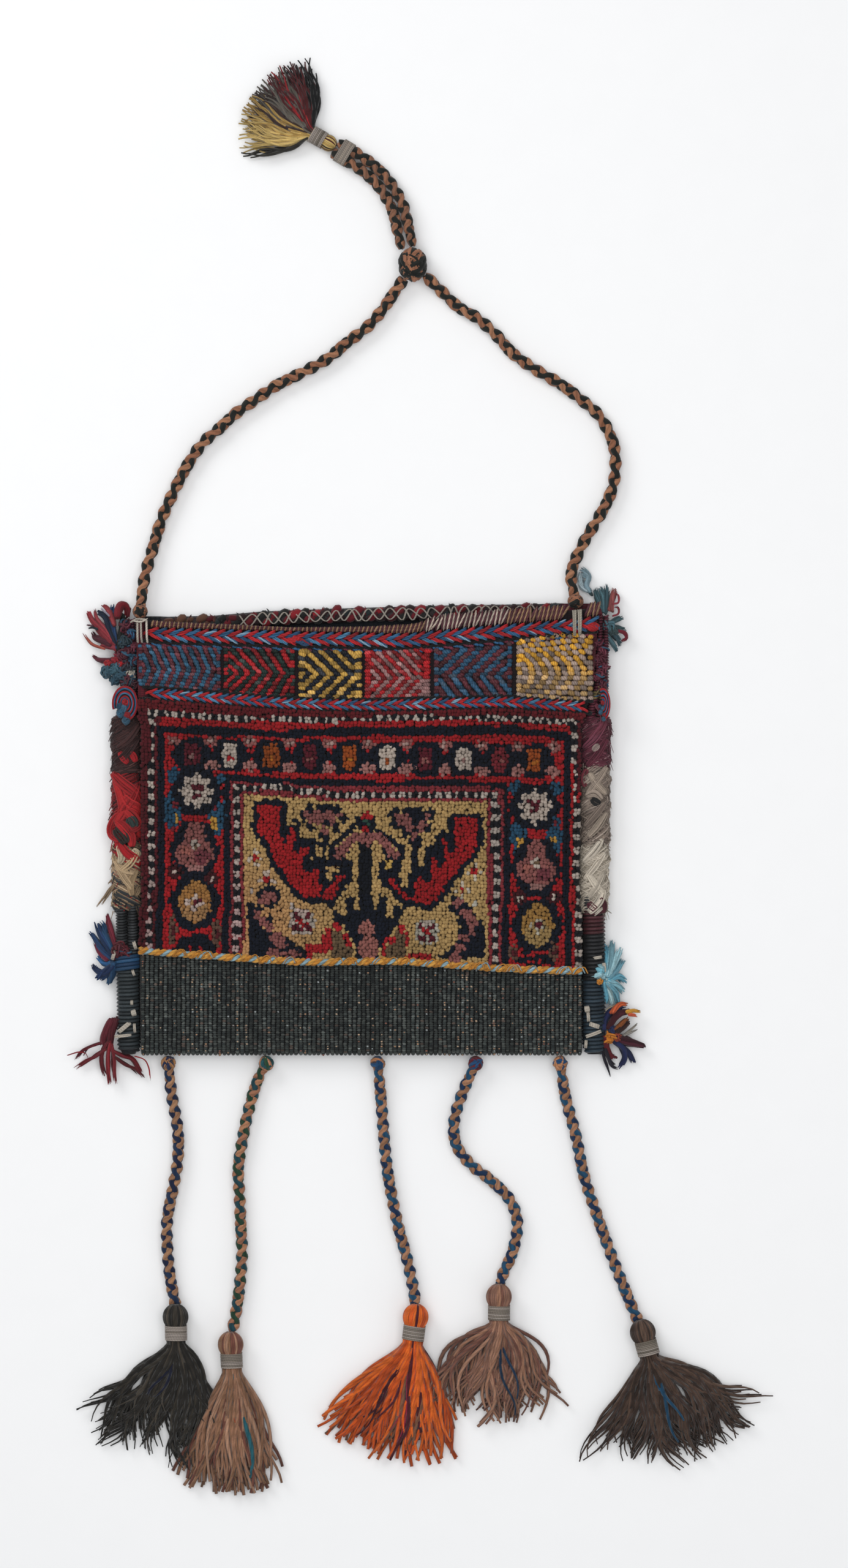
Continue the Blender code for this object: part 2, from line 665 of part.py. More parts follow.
def build_braid_ends():
    for name, side, (py, half_across, half_along), inset_share in (
        ("left_braid_end", LEFT, LEFT_BRAID_END_PX, LEFT_BRAID_END_INSET_share),
        ("right_braid_end", RIGHT, RIGHT_BRAID_END_PX, RIGHT_BRAID_END_INSET_share),
    ):
        half_width, half_length = half_across * PIXEL, half_along * PIXEL
        centre = side.root(py)
        centre.x -= side.sign * half_width * inset_share
        centre.z += SELVEDGE_HEIGHT / 2 + GAP + BRAID_END_HEIGHT / 2
        pebble(name, centre, half_width, half_length, BRAID_END_HEIGHT / 2)


def build_tufts():
    """Tufts of yarn at the corners and down the sides."""
    for name, side_name, root_py, bend, tip, root_half, tip_half in TUFTS_PX:
        side = LEFT if side_name == "left" else RIGHT
        root = side.root(root_py)
        level = FLOOR_GAP + TUFT_TIP_HEIGHT / 2
        middle = at(*bend, (root.z + level) / 2)
        end = at(*tip, level)
        first, last = root.lerp(middle, TUFT_FIRST_HALF_share), middle.lerp(end, TUFT_LAST_HALF_share)
        path = [root, first, middle, last, end]
        path[1].y = root.y
        across = plan_normals(path)
        across[0] = across[1] = Vector((0.0, side.sign, 0.0))
        tall = (TUFT_ROOT_HEIGHT, TUFT_ROOT_HEIGHT, TUFT_ROOT_HEIGHT, TUFT_TIP_HEIGHT, TUFT_TIP_HEIGHT)
        wide = [root_half, root_half, (root_half + tip_half) / 2, tip_half, tip_half * TUFT_END_WIDTH_share]
        sections = [
            section(p, a, UP, w * PIXEL, h / 2) for p, a, w, h in zip(path, across, wide, tall)
        ]
        loft(name, sections)


def build_wisp():
    z = FLOOR_GAP + WISP_HEIGHT / 2
    root, tip = (at(*p, z) for p in WISP_PX)
    root.y = at(0, read(RIM_TOP_PX, WISP_PX[0][0])).y + GAP
    path = [root, root.lerp(tip, 0.5), tip]
    bar("top_right_wisp", path, [WISP_WIDTH / 2] * len(path), WISP_HEIGHT / 2)


def build_lashings():
    """Threads laid over the hem and the braid, in passes of one unbroken tube."""
    half = LASHING_DIAMETER / 2
    for name, px in LASHINGS_PX:
        braid = at(px, read(UPPER_BRAID_PX, px))
        edge = at(px, hem_top(px))
        foot = braid.y - UPPER_BRAID_WIDTH / 2 - LASHING_FOOT
        over_patch = TRIM_Z + RAISED_PANEL_HEIGHT + GAP + half
        over_braid = TRIM_Z + UPPER_BRAID_HEIGHT + GAP + half
        arch = (
            (foot, over_patch),
            (braid.y - UPPER_BRAID_WIDTH / 2, over_patch + (over_braid - over_patch) * LASHING_RISE_share),
            (braid.y - UPPER_BRAID_WIDTH / 4, over_braid),
            (braid.y + UPPER_BRAID_WIDTH / 2, over_braid),
            (edge.y + GAP + half, TRIM_Z + HEM_HEIGHT / 2),
            (edge.y + GAP + half, FACE_Z),
        )
        points = []
        for i in range(LASHING_PASSES):
            x = braid.x + (i - (LASHING_PASSES - 1) / 2) * LASHING_PITCH
            points += [Vector((x, y, z)) for y, z in (arch[::-1] if i % 2 else arch)]
        tube(name, points, LASHING_DIAMETER, fineness=1)


def handle_end(px):
    """The centre of the knot that ends a leg of the handle, beyond the front's edge and on the back."""
    ball = END_KNOT_DIAMETER / 2
    edge = at(px, hem_top(px))
    return Vector((edge.x, edge.y + ball + GAP, BACK_THICKNESS + GAP + ball))


def build_handle():
    low = FLOOR_GAP + HANDLE_DIAMETER / 2
    knot_z = FLOOR_GAP + HANDLE_KNOT_HEIGHT / 2
    for name, px, route_px in (
        ("handle_cord_left", HANDLE_END_LEFT_PX, HANDLE_LEFT_PX),
        ("handle_cord_right", HANDLE_END_RIGHT_PX, HANDLE_RIGHT_PX),
    ):
        end = handle_end(px)
        route = [at(*p, low) for p in route_px]
        route[0].z = (low + end.z) / 2
        route[-1].z = (low + knot_z) / 2
        knotted_cord(name, end, END_KNOT_DIAMETER, route, HANDLE_DIAMETER)
    halves = (HANDLE_KNOT_WIDTH / 2, HANDLE_KNOT_LENGTH / 2, HANDLE_KNOT_HEIGHT / 2)
    pebble("handle_knot", at(*HANDLE_KNOT_PX, knot_z), *halves)


def build_neck():
    """The two cords from the knot to the handle's tassel, side by side, and the thread round them."""
    low = FLOOR_GAP + HANDLE_TASSEL_HEAD_DIAMETER / 2
    middle = smooth([at(*p, low) for p in NECK_PX], NECK_DIAMETER * CORD_STEP_share)
    across = plan_normals(middle)
    for name, sign in (("neck_cord_upper", -1), ("neck_cord_lower", 1)):
        shift = sign * (NECK_DIAMETER / 2 + GAP / 2 + GAP)
        tube(name, [p + a * shift for p, a in zip(middle, across)], NECK_DIAMETER)
    wanted = at(*NECK_BINDING_PX, low)
    spans = list(zip(middle, middle[1:]))
    start, end = min(spans, key=lambda span: ((span[0] + span[1]) / 2 - wanted).length)
    along = (end - start).normalized()
    centre = start + along * (wanted - start).dot(along)
    halves = (NECK_DIAMETER + 2 * GAP, NECK_DIAMETER / 2)
    winding("neck_binding", centre, along, *halves, squareness=NECK_BINDING_SQUARENESS_share)


def build_tassel(name, binding, places, head_diameter, neck_diameter, colour=None, binding_colour=None):
    """A tassel: a round head that it turns about, a bound neck and a spread skirt."""
    head_px, neck_px, tip_px, tip_half = places
    ball, neck = head_diameter / 2, neck_diameter / 2
    head = at(*head_px, FLOOR_GAP + ball)
    along = (at(*neck_px, head.z) - head).normalized()
    across = Vector((-along.y, along.x, 0.0))
    sections = []
    for share in (*BALL_STATION_shares, math.sqrt(1 - (neck / ball) ** 2)):
        radius = math.sqrt(1 - share**2) * ball
        sections.append(section(head + along * (share * ball), across, UP, radius, radius, 1.0))
    length = (BINDING_LOOPS + 1) * BINDING_PITCH + BINDING_THREAD
    start = head + along * (math.sqrt(ball**2 - neck**2) + length)
    sections.append(section(start, across, UP, neck, neck, 1.0))
    tip = at(*tip_px, FLOOR_GAP + TASSEL_TIP_HEIGHT / 2)
    reach = (tip - start).length
    for share, width_share in SKIRT_WIDTH_shares:
        line = start.lerp(tip, share)
        bend = start + along * (reach * share)
        turned = min(1.0, share / SKIRT_BEND_share)
        centre = bend.lerp(line, turned)
        wide = neck + (tip_half * PIXEL - neck) * width_share
        tall = neck + (TASSEL_TIP_HEIGHT / 2 - neck) * share
        centre.z = FLOOR_GAP + tall + (head.z - FLOOR_GAP - neck) * (1 - share)
        heading = (tip - start).normalized().lerp(along, 1 - turned)
        side = Vector((-heading.y, heading.x, 0.0)).normalized()
        squareness = 1.0 if share < SKIRT_ROUND_share else SECTION_SQUARENESS_share
        sections.append(section(centre, side, UP, wide, tall, squareness))
    loft(name, sections, colour)
    middle = head + along * (math.sqrt(ball**2 - neck**2) + length / 2 + BINDING_THREAD / 2)
    winding(binding, middle, along, neck, neck, binding_colour)


def build_pendants():
    """Five braided cords from the bottom fold, each with a tassel."""
    low = FLOOR_GAP + PENDANT_DIAMETER / 2
    ball = HEM_KNOT_DIAMETER / 2
    for number, ((start_px, *route_px), places) in enumerate(zip(PENDANTS_PX, TASSELS_PX), 1):
        colour, tassel_colour = PENDANT_COLOURS[number - 1], TASSEL_COLOURS[number - 1]
        knot = at(start_px, BOTTOM_PX, FACE_Z / 2)
        knot.y -= ball + GAP
        route = [at(*p, low) for p in route_px]
        head_z = FLOOR_GAP + TASSEL_HEAD_DIAMETER / 2
        route[-1].z = (low + head_z) / 2
        head = at(*places[0], head_z)
        reach = (route[-1] - head).normalized()
        route[-1] = head + reach * (TASSEL_HEAD_DIAMETER / 2 + 2 * GAP)
        knotted_cord(f"pendant_{number}_cord", knot, HEM_KNOT_DIAMETER, route, PENDANT_DIAMETER, colour)
        build_tassel(
            f"pendant_{number}_tassel",
            f"pendant_{number}_binding",
            places,
            TASSEL_HEAD_DIAMETER,
            TASSEL_NECK_DIAMETER,
            tassel_colour,
            BINDING_COLOUR,
        )


def build_handle_tassel():
    build_tassel(
        "handle_tassel",
        "handle_tassel_binding",
        HANDLE_TASSEL_PX,
        HANDLE_TASSEL_HEAD_DIAMETER,
        HANDLE_TASSEL_NECK_DIAMETER,
    )


def main():
    for obj in list(bpy.data.objects):
        bpy.data.objects.remove(obj)
    build_back()
    build_fold()
    build_front()
    build_band()
    build_hem()
    build_rim()
    build_seam()
    LEFT.selvedge("left_selvedge")
    RIGHT.selvedge("right_selvedge")
    LEFT.wraps()
    RIGHT.wraps()
    build_braid_ends()
    build_tufts()
    build_wisp()
    build_lashings()
    build_handle()
    build_neck()
    build_handle_tassel()
    build_pendants()


if __name__ == "__main__":
    main()
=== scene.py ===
"""Dresses the salt bag's frame in yarn: pile knots, flatweave, braids, wraps, cords and tassels."""

import logging
import math
from collections.abc import Callable, Sequence
from dataclasses import dataclass, field
from enum import Enum

import bpy
import numpy as np
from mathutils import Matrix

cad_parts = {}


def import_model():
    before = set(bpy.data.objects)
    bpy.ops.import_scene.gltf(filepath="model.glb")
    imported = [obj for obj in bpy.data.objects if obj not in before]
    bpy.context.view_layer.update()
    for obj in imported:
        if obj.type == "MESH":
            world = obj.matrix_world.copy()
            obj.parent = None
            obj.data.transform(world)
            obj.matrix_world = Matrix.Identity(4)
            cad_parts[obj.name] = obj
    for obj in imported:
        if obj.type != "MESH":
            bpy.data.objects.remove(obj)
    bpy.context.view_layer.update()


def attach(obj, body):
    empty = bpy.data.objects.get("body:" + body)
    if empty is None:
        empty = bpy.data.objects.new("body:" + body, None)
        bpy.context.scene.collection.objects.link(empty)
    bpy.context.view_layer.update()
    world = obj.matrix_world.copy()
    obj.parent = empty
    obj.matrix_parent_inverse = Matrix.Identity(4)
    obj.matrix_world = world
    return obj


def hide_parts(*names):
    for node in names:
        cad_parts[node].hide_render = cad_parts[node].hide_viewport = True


LOG = logging.getLogger("salt_bag")

# The photograph's scale and the heights of the layers, in metres, as in the part's source.
PIXEL = 0.300 / 811
ORIGIN_PX = (585.5, 1361.0)
FRAME_PX = (1385, 2560)
GAP = 0.0003
BACK_THICKNESS = 0.0025
FRONT_Z = 0.0115
FACE_Z = 0.0137
TRIM_Z = 0.0140
PILE_TOP_Z = 0.0175
FOLD_DEPTH = 0.0082
BOTTOM_PX = 1722.0
FLOOR_Z = -0.0009

# Rows of the bag as (across, down) places in the photograph.
RIM_TOP_PX = (
    (200, 980), (243, 980), (262, 1007), (348, 1005), (428, 998), (532, 994), (624, 991),
    (738, 988), (876, 986), (922, 984), (932, 968), (1000, 968),
)
UPPER_BRAID_PX = ((236, 1034), (273, 1037), (497, 1043), (664, 1046), (819, 1032), (934, 1023), (985, 1017))
LOWER_BRAID_PX = ((232, 1131), (474, 1149), (618, 1152), (819, 1146), (966, 1155))
SEAM_PX = ((224, 1551), (417, 1565), (503, 1570), (647, 1568), (819, 1580), (951, 1585))

# Shares of the hem's full width, at places across the photograph.
HEM_WIDTH_SHARES = ((236, 0.6), (360, 0.5), (474, 0.35), (589, 0.55), (692, 0.95), (761, 1.0), (930, 0.9))

# The sides' middle lines as (down, across) places, and the shares of their full width at places down.
LEFT_SIDE_PX = ((1721, 211), (1490, 208), (1172, 207), (1118, 213), (1030, 212), (1012, 212))
RIGHT_SIDE_PX = ((1721, 970), (1490, 969), (1172, 973), (1118, 982), (1030, 985), (1006, 985))
SIDE_WIDTH_SHARES = ((1721, 1.0), (1172, 1.0), (1118, 0.64), (1030, 0.5), (1006, 0.5))

# What runs along those lines, in metres.
UPPER_BRAID_WIDTH = 0.0081
LOWER_BRAID_WIDTH = 0.0063
HEM_WIDTH = 0.0060
SEAM_HALF = 0.00185
SELVEDGE_WIDTH = 0.014
SELVEDGE_HEIGHT = 0.0132
WRAP_HALF_WIDTH = 0.00875
WRAP_HALF_HEIGHT = 0.0066
SIDE_Z = GAP + SELVEDGE_HEIGHT / 2

# Where the sides end, and where they are wrapped, down the photograph.
SIDE_BOTTOM_PX = 1721
WRAPPED_PX = (1178, 1484)

# Where three strands start round the cord that they make.
THIRDS = (0.0, math.tau / 3, 2 * math.tau / 3)


def metres(px: float | np.ndarray, py: float | np.ndarray) -> tuple[np.ndarray, np.ndarray]:
    """How far across and up places of the photograph are."""
    return (px - ORIGIN_PX[0]) * PIXEL, (ORIGIN_PX[1] - py) * PIXEL


def pixels(points: np.ndarray) -> tuple[np.ndarray, np.ndarray]:
    """The photograph's places, across and down, of points."""
    return points[..., 0] / PIXEL + ORIGIN_PX[0], ORIGIN_PX[1] - points[..., 1] / PIXEL


def at(px: float, py: float, z: float = 0.0) -> np.ndarray:
    """The place of a pixel of the photograph, at a height."""
    return np.array([*metres(px, py), z])


def read(table: Sequence[tuple[float, float]], key: float | np.ndarray) -> np.ndarray:
    """Reads a table of (key, value) pairs between its entries."""
    pairs = sorted(table)
    return np.interp(key, [k for k, _ in pairs], [v for _, v in pairs])


def along_row(
    table: Sequence[tuple[float, float]], places_px: Sequence[float], z: float = 0.0, shift: float = 0.0
) -> np.ndarray:
    """Points on one of the bag's rows.

    Args:
        table: the row, as (across, down) places in the photograph.
        places_px: where the points are, across.
        z: their height.
        shift: how far below the row they are, in pixels.

    Returns:
        Points, one a row.
    """
    return np.array([at(px, float(read(table, px)) + shift, z) for px in places_px])


def ink(code: str) -> np.ndarray:
    """A screen colour's hex code as linear red, green and blue."""
    value = np.array([int(code[i : i + 2], 16) for i in (0, 2, 4)]) / 255
    return np.where(value <= 0.04045, value / 12.92, ((value + 0.055) / 1.055) ** 2.4)


def inks(*codes: str) -> np.ndarray:
    """Several colours, one to a row."""
    return np.array([ink(code) for code in codes])


def unit(vectors: np.ndarray) -> np.ndarray:
    """The vectors at length one."""
    return vectors / np.maximum(np.linalg.norm(vectors, axis=-1, keepdims=True), 1e-12)


def ease(share: np.ndarray) -> np.ndarray:
    """A share from 0 to 1 with a soft start and end."""
    held = np.clip(share, 0.0, 1.0)
    return held * held * (3 - 2 * held)


def swell(x: np.ndarray, y: np.ndarray) -> np.ndarray:
    """How far the bag's front stands above its flat plane, none of it near the bottom fold."""
    waves = 0.0006 * np.sin(x * 38 + 1.3) * np.sin(y * 31 + 0.4) + 0.0004 * np.sin(x * 71 - y * 23)
    fold_y = at(0, BOTTOM_PX)[1] + FOLD_DEPTH
    return waves * np.clip((y - fold_y) / 0.03, 0.0, 1.0)


def reach_along(line: np.ndarray) -> np.ndarray:
    """How far each point of a line is from its start, along it."""
    return np.concatenate([[0], np.cumsum(np.linalg.norm(np.diff(line, axis=0), axis=1))])


def places_on(line: np.ndarray, reach: np.ndarray, wanted: float | np.ndarray) -> np.ndarray:
    """The places of a line at some distances along it, between its points."""
    return np.stack([np.interp(wanted, reach, line[:, k]) for k in range(line.shape[1])], axis=-1)


def resample(points: np.ndarray, step: float) -> np.ndarray:
    """Even points about one step apart on a Catmull-Rom curve through the given ones."""
    points = np.asarray(points, float)
    ends = np.vstack([2 * points[0] - points[1], points, 2 * points[-1] - points[-2]])
    t = np.linspace(0, 1, 24, endpoint=False)[:, None]
    fine = []
    for a, b, c, d in zip(ends, ends[1:], ends[2:], ends[3:]):
        bend = 2 * a - 5 * b + 4 * c - d
        turn = 3 * b - a - 3 * c + d
        fine.append((2 * b + (c - a) * t + bend * t**2 + turn * t**3) / 2)
    line = np.vstack([*fine, points[-1:]])
    reach = reach_along(line)
    count = max(3, round(reach[-1] / step) + 1)
    return places_on(line, reach, np.linspace(0, reach[-1], count))


def frames(paths: np.ndarray) -> tuple[np.ndarray, np.ndarray, np.ndarray]:
    """Directions along, across and up from each path, turning as little as they can.

    Args:
        paths: points, as (paths, stations, 3).

    Returns:
        Three arrays of the same shape.
    """
    along = np.empty_like(paths)
    along[:, 1:-1] = paths[:, 2:] - paths[:, :-2]
    along[:, 0] = paths[:, 1] - paths[:, 0]
    along[:, -1] = paths[:, -1] - paths[:, -2]
    along = unit(along)
    up = np.zeros_like(paths)
    start = np.tile([0.0, 0.0, 1.0], (len(paths), 1))
    start[np.abs(along[:, 0, 2]) > 0.9] = (1.0, 0.0, 0.0)
    for i in range(paths.shape[1]):
        start = unit(start - along[:, i] * np.sum(start * along[:, i], axis=1, keepdims=True))
        up[:, i] = start
    return along, np.cross(along, up), up


def frame(path: np.ndarray) -> tuple[np.ndarray, np.ndarray, np.ndarray]:
    """Directions along, across and up from one path."""
    along, across, up = frames(path[None])
    return along[0], across[0], up[0]


class Skein:
    """Lengths of yarn gathered into one mesh, each a closed tube with its own tint."""

    def __init__(self) -> None:
        """Starts empty."""
        self.points: list[np.ndarray] = []
        self.tints: list[np.ndarray] = []
        self.rings: list[np.ndarray] = []
        self.uvs: list[np.ndarray] = []
        self.count = 0

    def _keep(self, points: np.ndarray, tints: np.ndarray) -> np.ndarray:
        """Adds points with their tints and gives their numbers, in the same shape."""
        numbers = self.count + np.arange(points[..., 0].size).reshape(points.shape[:-1])
        self.points.append(points.reshape(-1, 3))
        self.tints.append(np.broadcast_to(tints, points.shape).reshape(-1, 3))
        self.count += numbers.size
        return numbers

    def _face(self, corners: np.ndarray, uvs: np.ndarray) -> None:
        """Adds faces of as many corners as the last axis has."""
        self.rings.append(corners.reshape(-1, corners.shape[-1]))
        self.uvs.append(uvs.reshape(-1, 2))

    def lay(
        self,
        paths: np.ndarray,
        radii: float | np.ndarray,
        tints: np.ndarray,
        sides: int = 6,
        flatness: float | np.ndarray = 1.0,
    ) -> "Skein":
        """Lays yarns along paths.

        Args:
            paths: points, as (yarns, stations, 3) or (stations, 3).
            radii: one radius, one a yarn, or one a station.
            tints: linear colours, one, one a yarn, or one a station.
            sides: faces round each yarn.
            flatness: a yarn's height as a share of its width.

        Returns:
            This skein.
        """
        paths = np.asarray(paths, float)
        paths = paths[None] if paths.ndim == 2 else paths
        yarns, stations = paths.shape[:2]
        radii = np.asarray(radii, float)
        radii = radii[:, None] if radii.ndim == 1 and len(radii) == yarns and yarns > 1 else radii
        radii = np.broadcast_to(radii, (yarns, stations))[:, :, None, None]
        tints = np.asarray(tints, float)
        if tints.ndim == 2 and len(tints) == yarns and yarns > 1:
            tints = tints[:, None]
        tints = np.broadcast_to(tints, (yarns, stations, 3))[:, :, None]
        _, across, up = frames(paths)
        angle = math.tau * np.arange(sides) / sides
        flatness = np.broadcast_to(np.asarray(flatness, float), (yarns, stations))[:, :, None, None]
        wide = np.cos(angle)[:, None] * across[:, :, None]
        tall = np.sin(angle)[:, None] * up[:, :, None] * flatness
        numbers = self._keep(paths[:, :, None] + radii * (wide + tall), tints)
        turned = np.roll(numbers, -1, axis=2)
        corners = np.stack(
            [numbers[:, :-1], numbers[:, 1:], turned[:, 1:], turned[:, :-1]], axis=-1
        )
        steps = np.linalg.norm(np.diff(paths, axis=1), axis=2)
        reach = np.concatenate([np.zeros((yarns, 1)), np.cumsum(steps, axis=1)], axis=1)
        uvs = np.empty((*corners.shape, 2))
        uvs[..., 0] = np.stack(
            [reach[:, :-1], reach[:, 1:], reach[:, 1:], reach[:, :-1]], axis=-1
        )[:, :, None]
        low, high = np.arange(sides) / sides, (np.arange(sides) + 1) / sides
        uvs[..., 1] = np.stack([low, low, high, high], axis=-1)
        self._face(corners, uvs)
        for ends, where in ((numbers[:, 0], 0), (numbers[:, -1, ::-1], -1)):
            flat = np.zeros((*ends.shape, 2))
            flat[..., 0] = reach[:, where, None]
            self._face(ends, flat)
        return self

    def lump(self, centre: np.ndarray, halves: Sequence[float], tint: np.ndarray) -> "Skein":
        """Adds a rounded lump of three half sizes."""
        share = np.sin(np.linspace(-1, 1, 11) * math.pi / 2 * 0.985)
        path = centre + np.outer(share, (halves[0], 0, 0))
        flatness = halves[2] / halves[1]
        return self.lay(path, halves[1] * np.sqrt(1 - share**2), tint, 14, flatness)

    def shell(self, outer: np.ndarray, inner: np.ndarray, tints: np.ndarray) -> "Skein":
        """Adds a closed cloth between two grids of points, as (rows, columns, 3).

        Args:
            outer: the face, its rows running down and its columns to the right.
            inner: the reverse.
            tints: linear colours for the face, one or one a point.

        Returns:
            This skein.
        """
        face, back = self._keep(outer, tints), self._keep(inner, tints)
        a, b, c, d = face[:-1, :-1], face[1:, :-1], face[1:, 1:], face[:-1, 1:]
        corners = [np.stack([a, b, c, d], axis=-1).reshape(-1, 4)]
        a, b, c, d = back[:-1, :-1], back[1:, :-1], back[1:, 1:], back[:-1, 1:]
        corners.append(np.stack([d, c, b, a], axis=-1).reshape(-1, 4))
        for first, second in (
            (face[:, 0], back[:, 0]),
            (face[-1], back[-1]),
            (face[::-1, -1], back[::-1, -1]),
            (face[0, ::-1], back[0, ::-1]),
        ):
            corners.append(np.stack([first[:-1], second[:-1], second[1:], first[1:]], axis=-1))
        together = np.concatenate(corners)
        places = np.concatenate([outer.reshape(-1, 3), inner.reshape(-1, 3)])
        self._face(together, places[together - face.min()][..., :2])
        return self

    def piece(self, name: str, finish: "YarnFinish") -> bpy.types.Object:
        """Makes the object, its place in its mesh."""
        mesh = bpy.data.meshes.new(name)
        points = np.concatenate(self.points)
        mesh.vertices.add(len(points))
        mesh.vertices.foreach_set("co", points.ravel())
        corners = np.concatenate([faces.ravel() for faces in self.rings])
        sizes = np.concatenate([np.full(len(faces), faces.shape[1]) for faces in self.rings])
        mesh.loops.add(len(corners))
        mesh.loops.foreach_set("vertex_index", corners)
        mesh.polygons.add(len(sizes))
        mesh.polygons.foreach_set("loop_start", np.concatenate([[0], np.cumsum(sizes)[:-1]]))
        mesh.polygons.foreach_set("use_smooth", np.ones(len(sizes), bool))
        mesh.update(calc_edges=True)
        mesh.uv_layers.new(name="UVMap").uv.foreach_set("vector", np.concatenate(self.uvs).ravel())
        add_tint(mesh, np.concatenate(self.tints))
        mesh.materials.append(finish.material())
        return link(name, mesh)


def add_tint(mesh: bpy.types.Mesh, tints: np.ndarray) -> None:
    """Stores a linear colour on each point of a mesh."""
    colours = np.ones((len(tints), 4))
    colours[:, :3] = tints
    mesh.attributes.new("tint", "FLOAT_COLOR", "POINT").data.foreach_set("color", colours.ravel())


def link(name: str, mesh: bpy.types.Mesh) -> bpy.types.Object:
    """Makes an object of a mesh and puts it in the scene."""
    obj = bpy.data.objects.new(name, mesh)
    bpy.context.scene.collection.objects.link(obj)
    return obj


# Shader groups.


def group(
    name: str, inputs: Sequence[tuple[str, str, object]], outputs: Sequence[tuple[str, str]]
) -> tuple[bpy.types.NodeTree, bpy.types.Node, bpy.types.Node]:
    """Starts a shader group with named sockets.

    Args:
        name: the group's name.
        inputs: name, socket type and default of each input.
        outputs: name and socket type of each output.

    Returns:
        The tree, its input node and its output node.
    """
    tree = bpy.data.node_groups.new(name, "ShaderNodeTree")
    for label, kind, value in inputs:
        socket = tree.interface.new_socket(label, in_out="INPUT", socket_type=kind)
        socket.default_value = value
    for label, kind in outputs:
        tree.interface.new_socket(label, in_out="OUTPUT", socket_type=kind)
    return tree, tree.nodes.new("NodeGroupInput"), tree.nodes.new("NodeGroupOutput")


def math_node(
    tree: bpy.types.NodeTree, operation: str, first: object, second: object = None
) -> bpy.types.NodeSocket:
    """A Math node over sockets or numbers, and its output socket."""
    node = tree.nodes.new("ShaderNodeMath")
    node.operation = operation
    for socket, value in zip(node.inputs, (first, second)):
        if isinstance(value, bpy.types.NodeSocket):
            tree.links.new(value, socket)
        elif value is not None:
            socket.default_value = value
    return node.outputs[0]


def spread(
    tree: bpy.types.NodeTree, value: object, low: object, high: object
) -> bpy.types.NodeSocket:
    """A Map Range node from 0..1 to low..high, and its output socket."""
    node = tree.nodes.new("ShaderNodeMapRange")
    tree.links.new(value, node.inputs["Value"])
    for label, wanted in (("To Min", low), ("To Max", high)):
        if isinstance(wanted, bpy.types.NodeSocket):
            tree.links.new(wanted, node.inputs[label])
        else:
            node.inputs[label].default_value = wanted
    return node.outputs["Result"]


def shade(tree: bpy.types.NodeTree, colour: object, factor: object) -> bpy.types.NodeSocket:
    """A colour times a factor, and its output socket."""
    node = tree.nodes.new("ShaderNodeVectorMath")
    node.operation = "SCALE"
    tree.links.new(colour, node.inputs[0])
    tree.links.new(factor, node.inputs["Scale"])
    return node.outputs["Vector"]


def noise(
    tree: bpy.types.NodeTree, vector: object, scale: object, detail: float = 2.0
) -> bpy.types.NodeSocket:
    """A Noise Texture node, and its value socket."""
    node = tree.nodes.new("ShaderNodeTexNoise")
    node.inputs["Detail"].default_value = detail
    tree.links.new(vector, node.inputs["Vector"])
    if isinstance(scale, bpy.types.NodeSocket):
        tree.links.new(scale, node.inputs["Scale"])
    else:
        node.inputs["Scale"].default_value = scale
    return node.outputs[0]


def wool_group() -> bpy.types.NodeTree:
    """Wool: a colour mottled by fibres and by patches of uneven dye, with a height for bump."""
    found = bpy.data.node_groups.get("Wool")
    if found:
        return found
    tree, source, result = group(
        "Wool",
        [
            ("Colour", "NodeSocketColor", (0.5, 0.5, 0.5, 1.0)),
            ("Fibre Scale", "NodeSocketFloat", 1800.0),
            ("Fibre Depth", "NodeSocketFloat", 0.2),
            ("Patch Scale", "NodeSocketFloat", 45.0),
            ("Patch Depth", "NodeSocketFloat", 0.1),
        ],
        [("Colour", "NodeSocketColor"), ("Height", "NodeSocketFloat")],
    )
    place = tree.nodes.new("ShaderNodeTexCoord").outputs["Object"]
    fibres = noise(tree, place, source.outputs["Fibre Scale"], 3.0)
    patches = noise(tree, place, source.outputs["Patch Scale"], 2.0)
    factors = []
    for value, depth in ((fibres, "Fibre Depth"), (patches, "Patch Depth")):
        low = math_node(tree, "SUBTRACT", 1.0, source.outputs[depth])
        high = math_node(tree, "ADD", 1.0, source.outputs[depth])
        factors.append(spread(tree, value, low, high))
    colour = shade(tree, source.outputs["Colour"], math_node(tree, "MULTIPLY", *factors))
    tree.links.new(colour, result.inputs["Colour"])
    tree.links.new(fibres, result.inputs["Height"])
    return tree


def ply_group() -> bpy.types.NodeTree:
    """Ply: the slanted grooves between the strands of a twisted yarn, from its own UV map, as a painted shade
    that darkens the grooves and as a height.
    """
    found = bpy.data.node_groups.get("Ply")
    if found:
        return found
    tree, source, result = group(
        "Ply",
        [
            ("Strands", "NodeSocketFloat", 2.0),
            ("Turn Length", "NodeSocketFloat", 0.004),
            ("Groove Depth", "NodeSocketFloat", 0.4),
        ],
        [("Shade", "NodeSocketFloat"), ("Height", "NodeSocketFloat")],
    )
    uv = tree.nodes.new("ShaderNodeUVMap")
    uv.uv_map = "UVMap"
    apart = tree.nodes.new("ShaderNodeSeparateXYZ")
    tree.links.new(uv.outputs["UV"], apart.inputs[0])
    round_share = math_node(tree, "MULTIPLY", apart.outputs["Y"], source.outputs["Strands"])
    along = math_node(tree, "DIVIDE", apart.outputs["X"], source.outputs["Turn Length"])
    wave = math_node(
        tree, "SINE", math_node(tree, "MULTIPLY", math_node(tree, "ADD", round_share, along), math.pi)
    )
    ridge = math_node(tree, "ABSOLUTE", wave)
    low = math_node(tree, "SUBTRACT", 1.0, source.outputs["Groove Depth"])
    tree.links.new(spread(tree, ridge, low, 1.05), result.inputs["Shade"])
    tree.links.new(ridge, result.inputs["Height"])
    return tree


